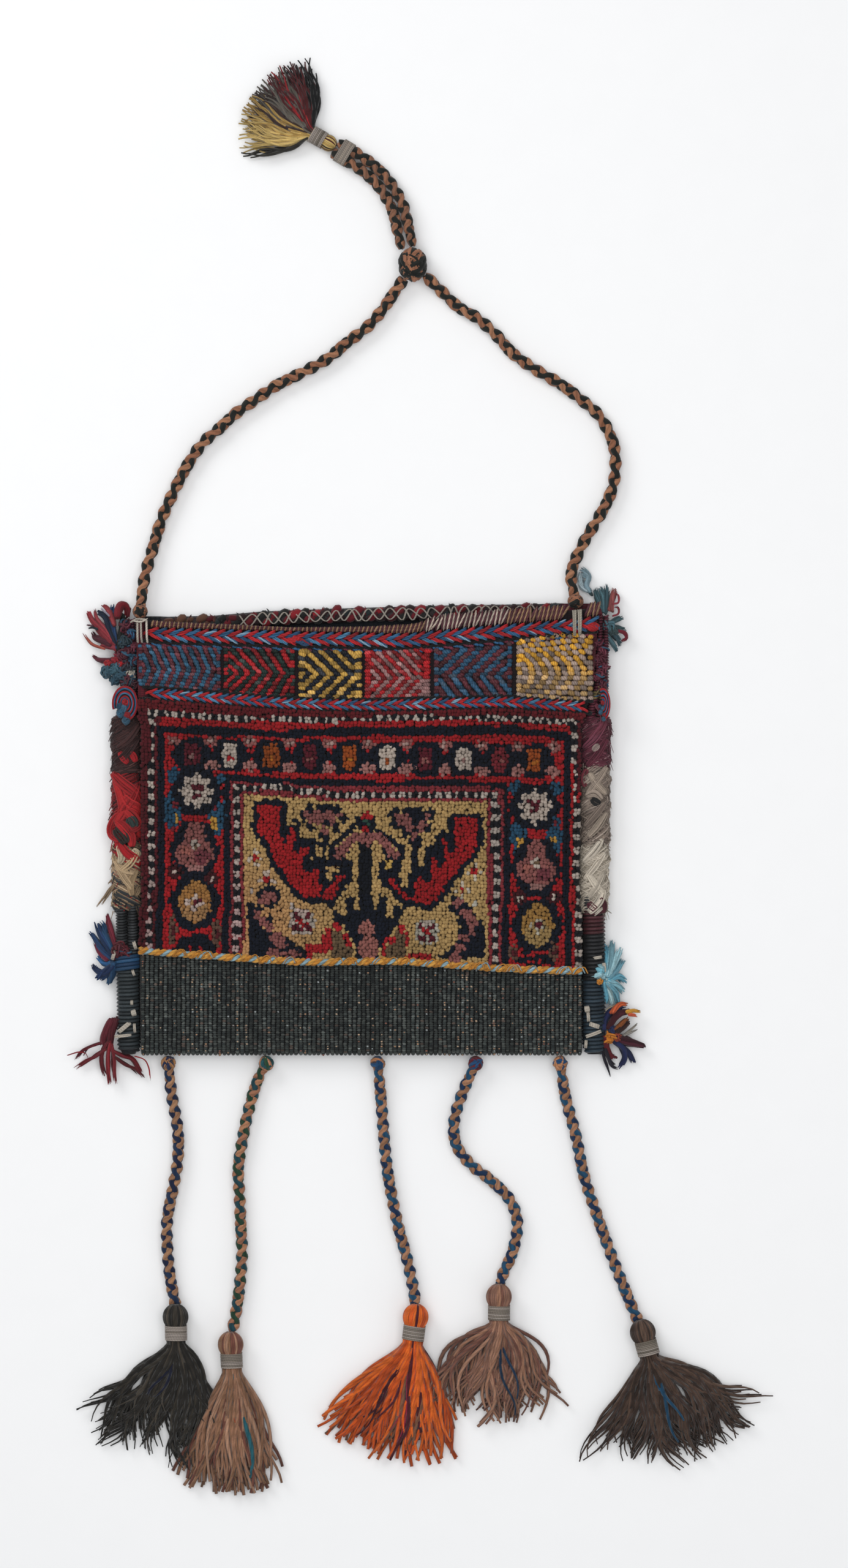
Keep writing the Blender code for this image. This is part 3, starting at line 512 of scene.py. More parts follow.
def rise_group() -> bpy.types.NodeTree:
    """Rise: a shade that deepens from the tips of a pile or a weave down to its roots."""
    found = bpy.data.node_groups.get("Rise")
    if found:
        return found
    tree, source, result = group(
        "Rise",
        [
            ("Root Height", "NodeSocketFloat", 0.0),
            ("Tip Height", "NodeSocketFloat", 1.0),
            ("Root Shade", "NodeSocketFloat", 0.5),
        ],
        [("Shade", "NodeSocketFloat")],
    )
    place = tree.nodes.new("ShaderNodeTexCoord").outputs["Object"]
    apart = tree.nodes.new("ShaderNodeSeparateXYZ")
    tree.links.new(place, apart.inputs[0])
    node = tree.nodes.new("ShaderNodeMapRange")
    tree.links.new(apart.outputs["Z"], node.inputs["Value"])
    tree.links.new(source.outputs["Root Height"], node.inputs["From Min"])
    tree.links.new(source.outputs["Tip Height"], node.inputs["From Max"])
    tree.links.new(source.outputs["Root Shade"], node.inputs["To Min"])
    node.inputs["To Max"].default_value = 1.08
    tree.links.new(node.outputs["Result"], result.inputs["Shade"])
    return tree


def weave_group() -> bpy.types.NodeTree:
    """Weave: the small hills of a plain ground cloth, as a painted shade that darkens the hollows between
    them and as a height.
    """
    found = bpy.data.node_groups.get("Weave")
    if found:
        return found
    tree, source, result = group(
        "Weave",
        [
            ("Across", "NodeSocketFloat", 0.0028),
            ("Down", "NodeSocketFloat", 0.0013),
            ("Depth", "NodeSocketFloat", 0.45),
        ],
        [("Shade", "NodeSocketFloat"), ("Height", "NodeSocketFloat")],
    )
    place = tree.nodes.new("ShaderNodeTexCoord").outputs["Object"]
    apart = tree.nodes.new("ShaderNodeSeparateXYZ")
    tree.links.new(place, apart.inputs[0])
    waves = []
    for axis, pitch in (("X", "Across"), ("Y", "Down")):
        turned = math_node(tree, "DIVIDE", apart.outputs[axis], source.outputs[pitch])
        wave = math_node(tree, "SINE", math_node(tree, "MULTIPLY", turned, math.pi))
        waves.append(math_node(tree, "ABSOLUTE", wave))
    hill = math_node(tree, "POWER", math_node(tree, "MULTIPLY", *waves), 0.5)
    low = math_node(tree, "SUBTRACT", 1.0, source.outputs["Depth"])
    tree.links.new(spread(tree, hill, low, 1.05), result.inputs["Shade"])
    tree.links.new(hill, result.inputs["Height"])
    return tree


class Relief(Enum):
    """What gives a finish its small relief."""

    FIBRE = "fibre"
    PLY = "ply"
    RISE = "rise"
    WEAVE = "weave"


@dataclass(frozen=True)
class YarnFinish:
    """One kind of yarn or cloth. Its colours come from the piece's own tint."""

    name: str
    relief: Relief = Relief.FIBRE
    roughness: float = 0.88
    sheen: float = 0.12
    fibre_scale: float = 1800.0
    fibre_depth: float = 0.28
    patch_depth: float = 0.14
    bump: float = 0.5
    bump_height: float = 0.0004
    settings: tuple[tuple[str, float], ...] = ()

    def material(self) -> bpy.types.Material:
        """The Blender material, made once."""
        found = bpy.data.materials.get(self.name)
        if found:
            return found
        made = bpy.data.materials.new(self.name)
        made.use_nodes = True
        tree = made.node_tree
        shader = tree.nodes["Principled BSDF"]
        shader.inputs["Sheen Weight"].default_value = self.sheen
        shader.inputs["Sheen Roughness"].default_value = 0.5
        shader.inputs["Specular IOR Level"].default_value = 0.25
        tint = tree.nodes.new("ShaderNodeAttribute")
        tint.attribute_name = "tint"
        wool = tree.nodes.new("ShaderNodeGroup")
        wool.node_tree = wool_group()
        tree.links.new(tint.outputs["Color"], wool.inputs["Colour"])
        wool.inputs["Fibre Scale"].default_value = self.fibre_scale
        wool.inputs["Fibre Depth"].default_value = self.fibre_depth
        wool.inputs["Patch Depth"].default_value = self.patch_depth
        colour, height = wool.outputs["Colour"], wool.outputs["Height"]
        makers = {Relief.PLY: ply_group, Relief.RISE: rise_group, Relief.WEAVE: weave_group}
        if self.relief in makers:
            extra = tree.nodes.new("ShaderNodeGroup")
            extra.node_tree = makers[self.relief]()
            for label, value in self.settings:
                extra.inputs[label].default_value = value
            # The relief group's shade is painted shade: darker in ply grooves, between weave hills and
            # towards pile roots.
            colour = shade(tree, colour, extra.outputs["Shade"])
            if "Height" in extra.outputs:
                height = math_node(tree, "MULTIPLY_ADD", height, 0.4)
                height.node.inputs[2].default_value = 0.0
                tree.links.new(extra.outputs["Height"], height.node.inputs[2])
        tree.links.new(colour, shader.inputs["Base Color"])
        rough = spread(tree, wool.outputs["Height"], self.roughness - 0.08, self.roughness + 0.08)
        tree.links.new(rough, shader.inputs["Roughness"])
        bump = tree.nodes.new("ShaderNodeBump")
        bump.inputs["Strength"].default_value = self.bump
        bump.inputs["Distance"].default_value = self.bump_height
        tree.links.new(height, bump.inputs["Height"])
        tree.links.new(bump.outputs["Normal"], shader.inputs["Normal"])
        return made


PILE = YarnFinish(
    "pile_wool", Relief.RISE, sheen=0.05, fibre_scale=1500.0, fibre_depth=0.45, patch_depth=0.3, bump=0.8,
    settings=(("Root Height", FACE_Z + 0.0008), ("Tip Height", PILE_TOP_Z - 0.0004), ("Root Shade", 0.5)),
)
GROUND = YarnFinish("ground_cloth", Relief.WEAVE, fibre_depth=0.2, bump=0.8)
BACKING = YarnFinish(
    "back_cloth_weave", Relief.WEAVE, bump=0.8, settings=(("Across", 0.0030), ("Down", 0.0012))
)
FLOAT = YarnFinish(
    "float_yarn", Relief.PLY, roughness=0.5, sheen=0.05, fibre_depth=0.3, bump=0.7,
    settings=(("Turn Length", 0.0032), ("Groove Depth", 0.35)),
)
BRAIDED = YarnFinish(
    "braid_yarn", Relief.PLY, roughness=0.62, sheen=0.06, fibre_depth=0.3, bump=0.6,
    settings=(("Turn Length", 0.0030), ("Groove Depth", 0.3)),
)
BEAD = YarnFinish("weft_bead", Relief.FIBRE, fibre_depth=0.3, patch_depth=0.18)
CORD = YarnFinish(
    "cord_yarn", Relief.PLY, fibre_scale=1400.0, bump=0.7,
    settings=(("Turn Length", 0.0060), ("Strands", 3.0), ("Groove Depth", 0.3)),
)
TASSEL = YarnFinish(
    "tassel_yarn", Relief.PLY, roughness=0.85, sheen=0.15, fibre_scale=1200.0, patch_depth=0.2, bump=0.6,
    settings=(("Turn Length", 0.0080), ("Groove Depth", 0.3)),
)
HAIR = YarnFinish(
    "loose_hair", Relief.FIBRE, roughness=0.72, sheen=0.1,
    fibre_scale=900.0, fibre_depth=0.35, patch_depth=0.25,
)
THREAD = YarnFinish(
    "cotton_thread", Relief.PLY, roughness=0.8, sheen=0.05, fibre_depth=0.15,
    settings=(("Turn Length", 0.0016), ("Groove Depth", 0.3)),
)
WRAPPING = YarnFinish(
    "selvedge_wrapping", Relief.FIBRE, roughness=0.45, sheen=0.05, fibre_depth=0.4, patch_depth=0.3, bump=0.6
)


# Geometry Nodes: one tree that lays a small shape on each point of a mesh.


def hidden(shape: bpy.types.Object) -> bpy.types.Object:
    """Keeps a shape that is only laid on points out of the render, and drops its own tint."""
    shape.data.attributes.remove(shape.data.attributes["tint"])
    shape.hide_render = shape.hide_viewport = True
    return shape


def grain(name: str, stations: int, sides: int, tips: float, yarn_length: float) -> bpy.types.Object:
    """A spindle of yarn along X, of half length and half width one, kept out of the render.

    Args:
        name: the object's name.
        stations: rings along it.
        sides: faces round it.
        tips: the share of its width at its ends.
        yarn_length: the length that its UV map gives it, for its ply.

    Returns:
        The hidden object.
    """
    share = np.linspace(-1, 1, stations)
    path = np.stack([share, 0 * share, 0 * share], axis=1)
    wide = np.sqrt(np.clip(1 - (1 - tips**2) * share**4, 0, 1))
    skein = Skein().lay(path, wide, np.ones(3), sides)
    skein.uvs = [uv * (yarn_length / 2, 1.0) for uv in skein.uvs]
    return hidden(skein.piece(name, FLOAT))


def knot_shape() -> bpy.types.Object:
    """One pile knot: a five-sided tuft that stands on its base, kept out of the render."""
    heights = np.array([0.0, 0.72, 1.0])
    path = np.stack([0 * heights, 0 * heights, heights], axis=1)
    skein = Skein().lay(path, np.array([0.98, 0.94, 0.56]), np.ones(3), 5)
    return hidden(skein.piece("pile_knot_shape", PILE))


def laying_tree() -> bpy.types.NodeTree:
    """The tree that lays a shape on each point, turned and sized by the point's own attributes."""
    found = bpy.data.node_groups.get("Lay Yarn Shapes")
    if found:
        return found
    tree = bpy.data.node_groups.new("Lay Yarn Shapes", "GeometryNodeTree")
    for label, kind in (
        ("Points", "NodeSocketGeometry"),
        ("Shape", "NodeSocketObject"),
        ("Finish", "NodeSocketMaterial"),
        ("Size Spread", "NodeSocketFloat"),
        ("Turn Spread", "NodeSocketFloat"),
        ("Seed", "NodeSocketInt"),
    ):
        tree.interface.new_socket(label, in_out="INPUT", socket_type=kind)
    tree.interface.new_socket("Yarn", in_out="OUTPUT", socket_type="NodeSocketGeometry")
    add, join = tree.nodes.new, tree.links.new
    source, result = add("NodeGroupInput"), add("NodeGroupOutput")
    shape = add("GeometryNodeObjectInfo")
    join(source.outputs["Shape"], shape.inputs["Object"])
    chances = []
    for label, kind, offset in (("Turn Spread", "FLOAT_VECTOR", 0), ("Size Spread", "FLOAT", 1)):
        chance = add("FunctionNodeRandomValue")
        chance.data_type = kind
        sockets = [s for s in chance.inputs if s.enabled]
        low = math_node(tree, "MULTIPLY", source.outputs[label], -1.0)
        join(low, sockets[0])
        join(source.outputs[label], sockets[1])
        seed = math_node(tree, "ADD", source.outputs["Seed"], float(offset))
        join(seed, next(s for s in sockets if s.name == "Seed"))
        chances.append(next(s for s in chance.outputs if s.enabled))
    reads = []
    for label in ("turn", "size"):
        node = add("GeometryNodeInputNamedAttribute")
        node.data_type = "FLOAT_VECTOR"
        node.inputs["Name"].default_value = label
        reads.append(node.outputs["Attribute"])
    turn = add("ShaderNodeVectorMath")
    join(reads[0], turn.inputs[0])
    join(chances[0], turn.inputs[1])
    rotation = add("FunctionNodeEulerToRotation")
    join(turn.outputs[0], rotation.inputs[0])
    size = add("ShaderNodeVectorMath")
    size.operation = "SCALE"
    join(reads[1], size.inputs[0])
    join(math_node(tree, "ADD", chances[1], 1.0), size.inputs["Scale"])
    laid = add("GeometryNodeInstanceOnPoints")
    join(source.outputs["Points"], laid.inputs["Points"])
    join(shape.outputs["Geometry"], laid.inputs["Instance"])
    join(rotation.outputs[0], laid.inputs["Rotation"])
    join(size.outputs[0], laid.inputs["Scale"])
    real, smooth, finish = (
        add("GeometryNodeRealizeInstances"), add("GeometryNodeSetShadeSmooth"), add("GeometryNodeSetMaterial")
    )
    join(laid.outputs[0], real.inputs[0])
    join(real.outputs[0], smooth.inputs[0])
    join(smooth.outputs[0], finish.inputs[0])
    join(source.outputs["Finish"], finish.inputs["Material"])
    join(finish.outputs[0], result.inputs[0])
    return tree


@dataclass
class Laying:
    """Small shapes laid on points by the Geometry Nodes tree."""

    shape: bpy.types.Object
    finish: YarnFinish
    seed: int
    size_spread: float = 0.06
    turn_spread: float = 0.06

    def piece(
        self, name: str, places: np.ndarray, turns: np.ndarray, sizes: np.ndarray, tints: np.ndarray
    ) -> bpy.types.Object:
        """Lays the shapes and makes them one plain mesh.

        Args:
            name: the piece's name.
            places: points, one a row.
            turns: rotations about X, Y and Z, one or one a point.
            sizes: half sizes, one or one a point.
            tints: linear colours, one a point.

        Returns:
            The piece.
        """
        mesh = bpy.data.meshes.new(name + "_points")
        mesh.vertices.add(len(places))
        mesh.vertices.foreach_set("co", places.ravel())
        for label, values in (("turn", turns), ("size", sizes)):
            data = np.broadcast_to(values, places.shape).ravel()
            mesh.attributes.new(label, "FLOAT_VECTOR", "POINT").data.foreach_set("vector", data)
        add_tint(mesh, tints)
        holder = link(name + "_points", mesh)
        modifier = holder.modifiers.new("Lay", "NODES")
        tree = laying_tree()
        modifier.node_group = tree
        wanted = {
            "Shape": self.shape,
            "Finish": self.finish.material(),
            "Size Spread": self.size_spread,
            "Turn Spread": self.turn_spread,
            "Seed": self.seed,
        }
        for socket in tree.interface.items_tree:
            if socket.item_type == "SOCKET" and socket.in_out == "INPUT" and socket.name in wanted:
                modifier[socket.identifier] = wanted[socket.name]
        graph = bpy.context.evaluated_depsgraph_get()
        made = bpy.data.meshes.new_from_object(holder.evaluated_get(graph), depsgraph=graph)
        made.name = name
        for label in ("turn", "size"):
            if label in made.attributes:
                made.attributes.remove(made.attributes[label])
        bpy.data.objects.remove(holder)
        return link(name, made)


@dataclass
class Shapes:
    """The small shapes that are laid over and over."""

    knot: bpy.types.Object = field(default_factory=knot_shape)
    bead: bpy.types.Object = field(default_factory=lambda: grain("bead_shape", 4, 5, 0.45, 0.003))
    strand: bpy.types.Object = field(default_factory=lambda: grain("strand_shape", 6, 6, 0.3, 0.009))


# Pieces that several parts of the bag share.


def pick(
    rng: np.random.Generator,
    count: int,
    choices: Sequence[tuple[str, float]],
    spread_share: float = 0.12,
) -> np.ndarray:
    """Colours drawn by share, each a little lighter or darker.

    Args:
        rng: where the chances come from.
        count: how many.
        choices: hex codes with their shares.
        spread_share: how far the lightness strays.

    Returns:
        Linear colours, one a row.
    """
    shares = np.array([share for _, share in choices])
    chosen = rng.choice(len(choices), count, p=shares / shares.sum())
    table = inks(*[code for code, _ in choices])
    return table[chosen] * rng.uniform(1 - spread_share, 1 + spread_share, (count, 1))


@dataclass
class Spray:
    """Yarns that leave one place together and fan out over what they lie on."""

    root: np.ndarray
    heading: float
    final: float
    reach: float
    fan: float
    mouth: tuple[float, float]
    choices: Sequence[tuple[str, float]]
    seed: int
    count: int = 90
    yarn: float = 0.0008
    wave: float = 0.35
    clumps: int = 0
    low: float = GAP
    pile: float = 0.006
    short: float = 0.75
    stations: int = 16
    sides: int = 4
    tip_share: float = 0.55
    banded: bool = False
    dome: float = 0.0

    def lay(self, skein: Skein) -> Skein:
        """Lays the yarns.

        Args:
            skein: what gathers them.

        Returns:
            The same skein.
        """
        rng = np.random.default_rng(self.seed)
        count, n = self.count, self.stations
        turn = rng.uniform(0, math.tau, count)
        out = np.sqrt(rng.uniform(0, 1, count))
        aside, above = np.cos(turn) * out, np.sin(turn) * out
        target = np.clip(aside + rng.normal(0, 0.18, count), -1.05, 1.05)
        phase, pace = rng.uniform(0, math.tau, count), rng.uniform(2.0, 4.5, count)
        reach = self.reach * rng.uniform(self.short, 1.0, count)
        if self.clumps:
            locks = np.linspace(-1, 1, self.clumps) + rng.normal(0, 0.5 / self.clumps, self.clumps)
            lock = np.abs(target[:, None] - locks).argmin(axis=1)
            target = locks[lock] + (target - locks[lock]) * 0.35
            lock_phase = rng.uniform(0, math.tau, self.clumps)
            lock_reach = rng.uniform(0.8, 1.05, self.clumps)
            phase = lock_phase[lock] + rng.normal(0, 0.35, count)
            pace = 2.6 + rng.normal(0, 0.25, count) + lock_phase[lock] * 0.15
            reach = self.reach * lock_reach[lock] * rng.uniform(self.short + 0.1, 1.0, count)
        t = np.linspace(0, 1, n)
        bent = ease(t / 0.35)
        spreading = (1 + self.dome) * ease(t / 0.09) - self.dome * ease((t - 0.12) / 0.5)
        angle = self.heading + (self.final - self.heading) * bent + self.fan * target[:, None] * spreading
        angle += self.wave * np.sin(phase[:, None] + pace[:, None] * t * 2.2) * t
        step = reach[:, None] / (n - 1)
        along = np.stack([np.cos(angle), np.sin(angle)], axis=-1) * step[..., None]
        walked = np.concatenate([np.zeros((count, 1, 2)), np.cumsum(along[:, :-1], axis=1)], axis=1)
        side = np.array([-math.sin(self.heading), math.cos(self.heading)])
        paths = np.zeros((count, n, 3))
        start = self.root[:2] + aside[:, None] * self.mouth[0] * side
        paths[..., :2] = start[:, None] + walked
        first = self.root[2] + above * self.mouth[1]
        layer = self.low + self.yarn + self.pile * (above + 1) / 2 * rng.uniform(0.6, 1.0, count)
        drop = ease(t / 0.5)
        paths[..., 2] = first[:, None] * (1 - drop) + layer[:, None] * drop
        paths[..., 2] += 0.0006 * np.sin(phase[:, None] * 2 + 7 * t) * t
        paths[..., 2] = np.maximum(paths[..., 2], self.low + self.yarn)
        taper = 1 - (1 - self.tip_share) * ease((t - 0.55) / 0.45)
        thick = self.yarn * rng.uniform(0.8, 1.2, (count, 1)) * taper
        shading = 0.55 + 0.45 * (above + 1) / 2
        tints = pick(rng, count, self.choices)
        if self.banded:
            shares = np.cumsum([share for _, share in self.choices])
            spot = np.clip((target + 1) / 2 + rng.normal(0, 0.06, count), 0, 0.999) * shares[-1]
            table = inks(*[code for code, _ in self.choices])
            tints = table[np.searchsorted(shares, spot, side="right")] * rng.uniform(0.8, 1.2, (count, 1))
        return skein.lay(paths, thick, tints * shading[:, None], self.sides)


def ball(
    skein: Skein,
    centre: np.ndarray,
    halves: Sequence[float],
    yarn: float,
    choices: Sequence[tuple[str, float]],
    seed: int,
    loops: int = 9,
    loose: float = 0.0,
) -> Skein:
    """A knot: a core with loops of yarn drawn round it at all angles.

    Args:
        skein: what gathers it.
        centre: its middle.
        halves: its three half sizes.
        yarn: the radius of its yarn.
        choices: hex codes with their shares.
        seed: fixes its chances.
        loops: how many loops.
        loose: how far the loops stray from the core, as a share of its half sizes.

    Returns:
        The same skein.
    """
    rng = np.random.default_rng(seed)
    tints = pick(rng, loops, choices, 0.25)
    halves = np.asarray(halves, float)
    # The core is half as light as the loops' mean colour: painted shade in the gaps between the loops.
    skein.lump(centre, halves - yarn * 1.2, tints.mean(axis=0) * 0.5)
    t = np.linspace(0, math.tau * 0.97, 18)
    first = unit(rng.normal(0, 1, (loops, 3)) * (1, 1, 1.4))
    other = unit(np.cross(first, rng.normal(0, 1, (loops, 3))))
    rings = np.cos(t)[:, None] * first[:, None] + np.sin(t)[:, None] * other[:, None]
    wobble = 1 - rng.uniform(0, 0.12 + loose / 2, (loops, 1, 1))
    rings = rings * (1 + loose * 0.4 * np.sin(3 * t + rng.uniform(0, math.tau, (loops, 1)))[..., None])
    stray = loose * rng.uniform(-1, 1, (loops, 1, 3)) * halves
    return skein.lay(centre + rings * (halves - yarn) * wobble + stray, yarn, tints, 6)


def braid(
    skein: Skein,
    path: np.ndarray,
    diameter: float,
    tints: np.ndarray,
    turn_length: float = 0.021,
    rolls: tuple[float, float] = (0.0, 0.0),
) -> Skein:
    """A round braid of four strands, two wound each way, that pass over and under in turn.

    Args:
        skein: what gathers it.
        path: the braid's middle line, in even steps.
        diameter: its width.
        tints: four linear colours: the two that wind one way, then the two that wind the other.
        turn_length: the length of one turn of a strand.
        rolls: how far the braid is rolled at its start and its end, in radians.

    Returns:
        The same skein.
    """
    step = turn_length / 18
    path = resample(path, step)
    _, across, up = frame(path)
    reach = np.arange(len(path)) * step
    turn = math.tau * reach / turn_length
    # How far and over what length the braid rolls to and fro, and how far its strands pass over and under.
    sway, sway_length, crossing = 0.9, 0.083, 0.17
    roll = np.linspace(*rolls, len(path)) + sway * np.sin(math.tau * reach / sway_length + 3 * rolls[0])
    strand = diameter * 0.29
    orbit = diameter / 2 - strand * 0.80
    # How thin the braid is where it leaves its knot, and how fast it grows from there.
    thin_start, grown_after = 0.76, 0.06
    grown = np.minimum(1, thin_start + reach / grown_after)
    paths = []
    for way, start in ((1, 0.0), (1, math.pi), (-1, 0.0), (-1, math.pi)):
        angle = way * turn + start + roll
        out = orbit * grown * (1 + way * crossing * np.cos(2 * turn))
        paths.append(path + (out * np.cos(angle))[:, None] * across + (out * np.sin(angle))[:, None] * up)
    radii = np.broadcast_to(strand * grown, (4, len(path)))
    return skein.lay(np.array(paths), radii, tints[:, None] * np.ones((1, len(path), 1)), 8)


def coil(
    skein: Skein,
    centre: np.ndarray,
    along: np.ndarray,
    halves: tuple[float, float],
    thread: float,
    turns: int,
    pitch: float,
    tints: np.ndarray,
    squareness: float = 1.0,
) -> Skein:
    """Thread wound closely round an oval core.

    Args:
        skein: what gathers it.
        centre: the winding's middle.
        along: the core's direction.
        halves: the core's half width and half height.
        thread: the thread's radius.
        turns: how many turns.
        pitch: the length from one turn to the next.
        tints: linear colours, one a turn.
        squareness: 1 for an oval, less for a squarer core.

    Returns:
        The same skein.
    """
    steps = 20
    t = np.arange(turns * steps + 1) / steps
    across = unit(np.array([-along[1], along[0], 0.0]))
    up = np.cross(along, across) * -1.0
    c, s = np.cos(math.tau * t), np.sin(math.tau * t)
    wide = np.copysign(np.abs(c) ** squareness, c) * (halves[0] + thread)
    tall = np.copysign(np.abs(s) ** squareness, s) * (halves[1] + thread)
    path = centre + np.outer((t - turns / 2) * pitch, along) + np.outer(wide, across) + np.outer(tall, up)
    colours = tints[np.minimum(t.astype(int), turns - 1)]
    return skein.lay(path, thread, colours[None], 5)


@dataclass
class Side:
    """Where one side's selvedge runs, and how much width it takes."""

    sign: int
    table: Sequence[tuple[float, float]]
    wrapped: tuple[float, float]

    def centre(self, py: np.ndarray) -> np.ndarray:
        """Points on the selvedge's middle line."""
        py = np.atleast_1d(np.asarray(py, float))
        return np.stack([*metres(read(self.table, py), py), np.full(len(py), SIDE_Z)], axis=1)

    def bare_half(self, py: np.ndarray) -> np.ndarray:
        """Half the selvedge's own width."""
        return SELVEDGE_WIDTH / 2 * read(SIDE_WIDTH_SHARES, py)

    def inner(self, py: np.ndarray) -> np.ndarray:
        """Where the cloth ends beside this side, across."""
        py = np.atleast_1d(np.asarray(py, float))
        low, high = self.wrapped
        half = np.where((py >= low) & (py <= high), WRAP_HALF_WIDTH, self.bare_half(py))
        return self.centre(py)[:, 0] - self.sign * (half + GAP)

    def root(self, py: float) -> np.ndarray:
        """The place just outside the side, where a tuft starts."""
        found = self.centre(py)[0]
        low, high = self.wrapped
        half = WRAP_HALF_WIDTH if low <= py <= high else float(self.bare_half(np.array(py)))
        found[0] += self.sign * (half + GAP)
        return found


LEFT = Side(-1, LEFT_SIDE_PX, WRAPPED_PX)
RIGHT = Side(1, RIGHT_SIDE_PX, WRAPPED_PX)


def hem_top(px: np.ndarray) -> np.ndarray:
    """How far down the front's upper edge is."""
    hem = HEM_WIDTH * read(HEM_WIDTH_SHARES, px)
    return read(UPPER_BRAID_PX, px) - (UPPER_BRAID_WIDTH / 2 + GAP + hem) / PIXEL


def cloth_grid(
    top: Callable[[np.ndarray], np.ndarray],
    bottom: Callable[[np.ndarray], np.ndarray],
    rows: int,
    columns: int,
    overlap: float = 0.0,
) -> np.ndarray:
    """Places all over a cloth that runs from side to side between two rows.

    Args:
        top: how far down the upper edge is, in pixels, at a place across.
        bottom: the same for the lower edge.
        rows: rows of places.
        columns: columns of places.
        overlap: how far the cloth runs on into the sides.

    Returns:
        Points with no height, as (rows, columns, 3).
    """
    s = np.linspace(0, 1, columns)[None]
    t = np.linspace(0, 1, rows)[:, None]
    left, right = np.full((rows, 1), 225.0), np.full((rows, 1), 955.0)
    for _ in range(4):
        px = left + (right - left) * s
        py = top(px) * (1 - t) + bottom(px) * t
        left = (LEFT.inner(py[:, 0])[:, None] - overlap) / PIXEL + ORIGIN_PX[0]
        right = (RIGHT.inner(py[:, -1])[:, None] + overlap) / PIXEL + ORIGIN_PX[0]
    return np.stack([*metres(px, py), 0 * px], axis=-1)


def dress(obj: bpy.types.Object, body: str, slot: str, *nodes: str) -> bpy.types.Object:
    """Rides a piece on a body, hides the CAD nodes that it stands for, and logs it."""
    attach(obj, body)
    if nodes:
        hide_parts(*nodes)
    LOG.info("%s: %d faces on %s", obj.name, len(obj.data.polygons), body)
    return obj


# The studio.


@dataclass
class Studio:
    """The pale floor, the soft lights and the camera straight above."""

    distance: float = 4.0
    sensor: float = 24.0

    def build(self) -> None:
        """Makes all of it."""
        scene = bpy.context.scene
        height = FRAME_PX[1] * PIXEL
        centre = at(FRAME_PX[0] / 2, FRAME_PX[1] / 2)
        data = bpy.data.cameras.new("view_from_above")
        data.sensor_fit = "VERTICAL"
        data.sensor_height = self.sensor
        data.lens = self.sensor * self.distance / height
        data.clip_end = 20
        camera = bpy.data.objects.new("view_from_above", data)
        camera.location = (centre[0], centre[1], self.distance + 0.007)
        scene.collection.objects.link(camera)
        scene.camera = camera
        floor = Skein()
        half = 6.0
        rows = np.array([[[-half, half, 0], [half, half, 0]], [[-half, -half, 0], [half, -half, 0]]])
        floor.shell(rows + (0, 0, FLOOR_Z), rows + (0, 0, FLOOR_Z - 0.02), np.full(3, 0.93))
        paper = YarnFinish("floor_paper", bump=0.0, fibre_depth=0.0, patch_depth=0.01)
        floor.piece("studio_floor", paper)
        for name, place, turn, size, power in (
            ("overhead_softbox", (0.1, 0.15, 2.6), (0, 0, 0), 2.4, 40),
            ("upper_left_softbox", (-1.5, 1.5, 1.5), (math.radians(-48), math.radians(-40), 0), 1.2, 22),
            ("lower_right_fill", (1.6, -1.6, 1.4), (math.radians(48), math.radians(42), 0), 1.6, 6),
        ):
            light = bpy.data.lights.new(name, "AREA")
            light.size = size
            light.energy = power
            lamp = bpy.data.objects.new(name, light)
            lamp.location = place
            lamp.rotation_euler = turn
            scene.collection.objects.link(lamp)
        world = bpy.data.worlds.new("studio_air")
        world.use_nodes = True
        air = world.node_tree.nodes["Background"]
        air.inputs["Color"].default_value = (0.95, 0.97, 1.0, 1.0)
        air.inputs["Strength"].default_value = 0.36
        scene.world = world
        scene.view_settings.view_transform = "Standard"
        LOG.info("studio built")


# The woven front.


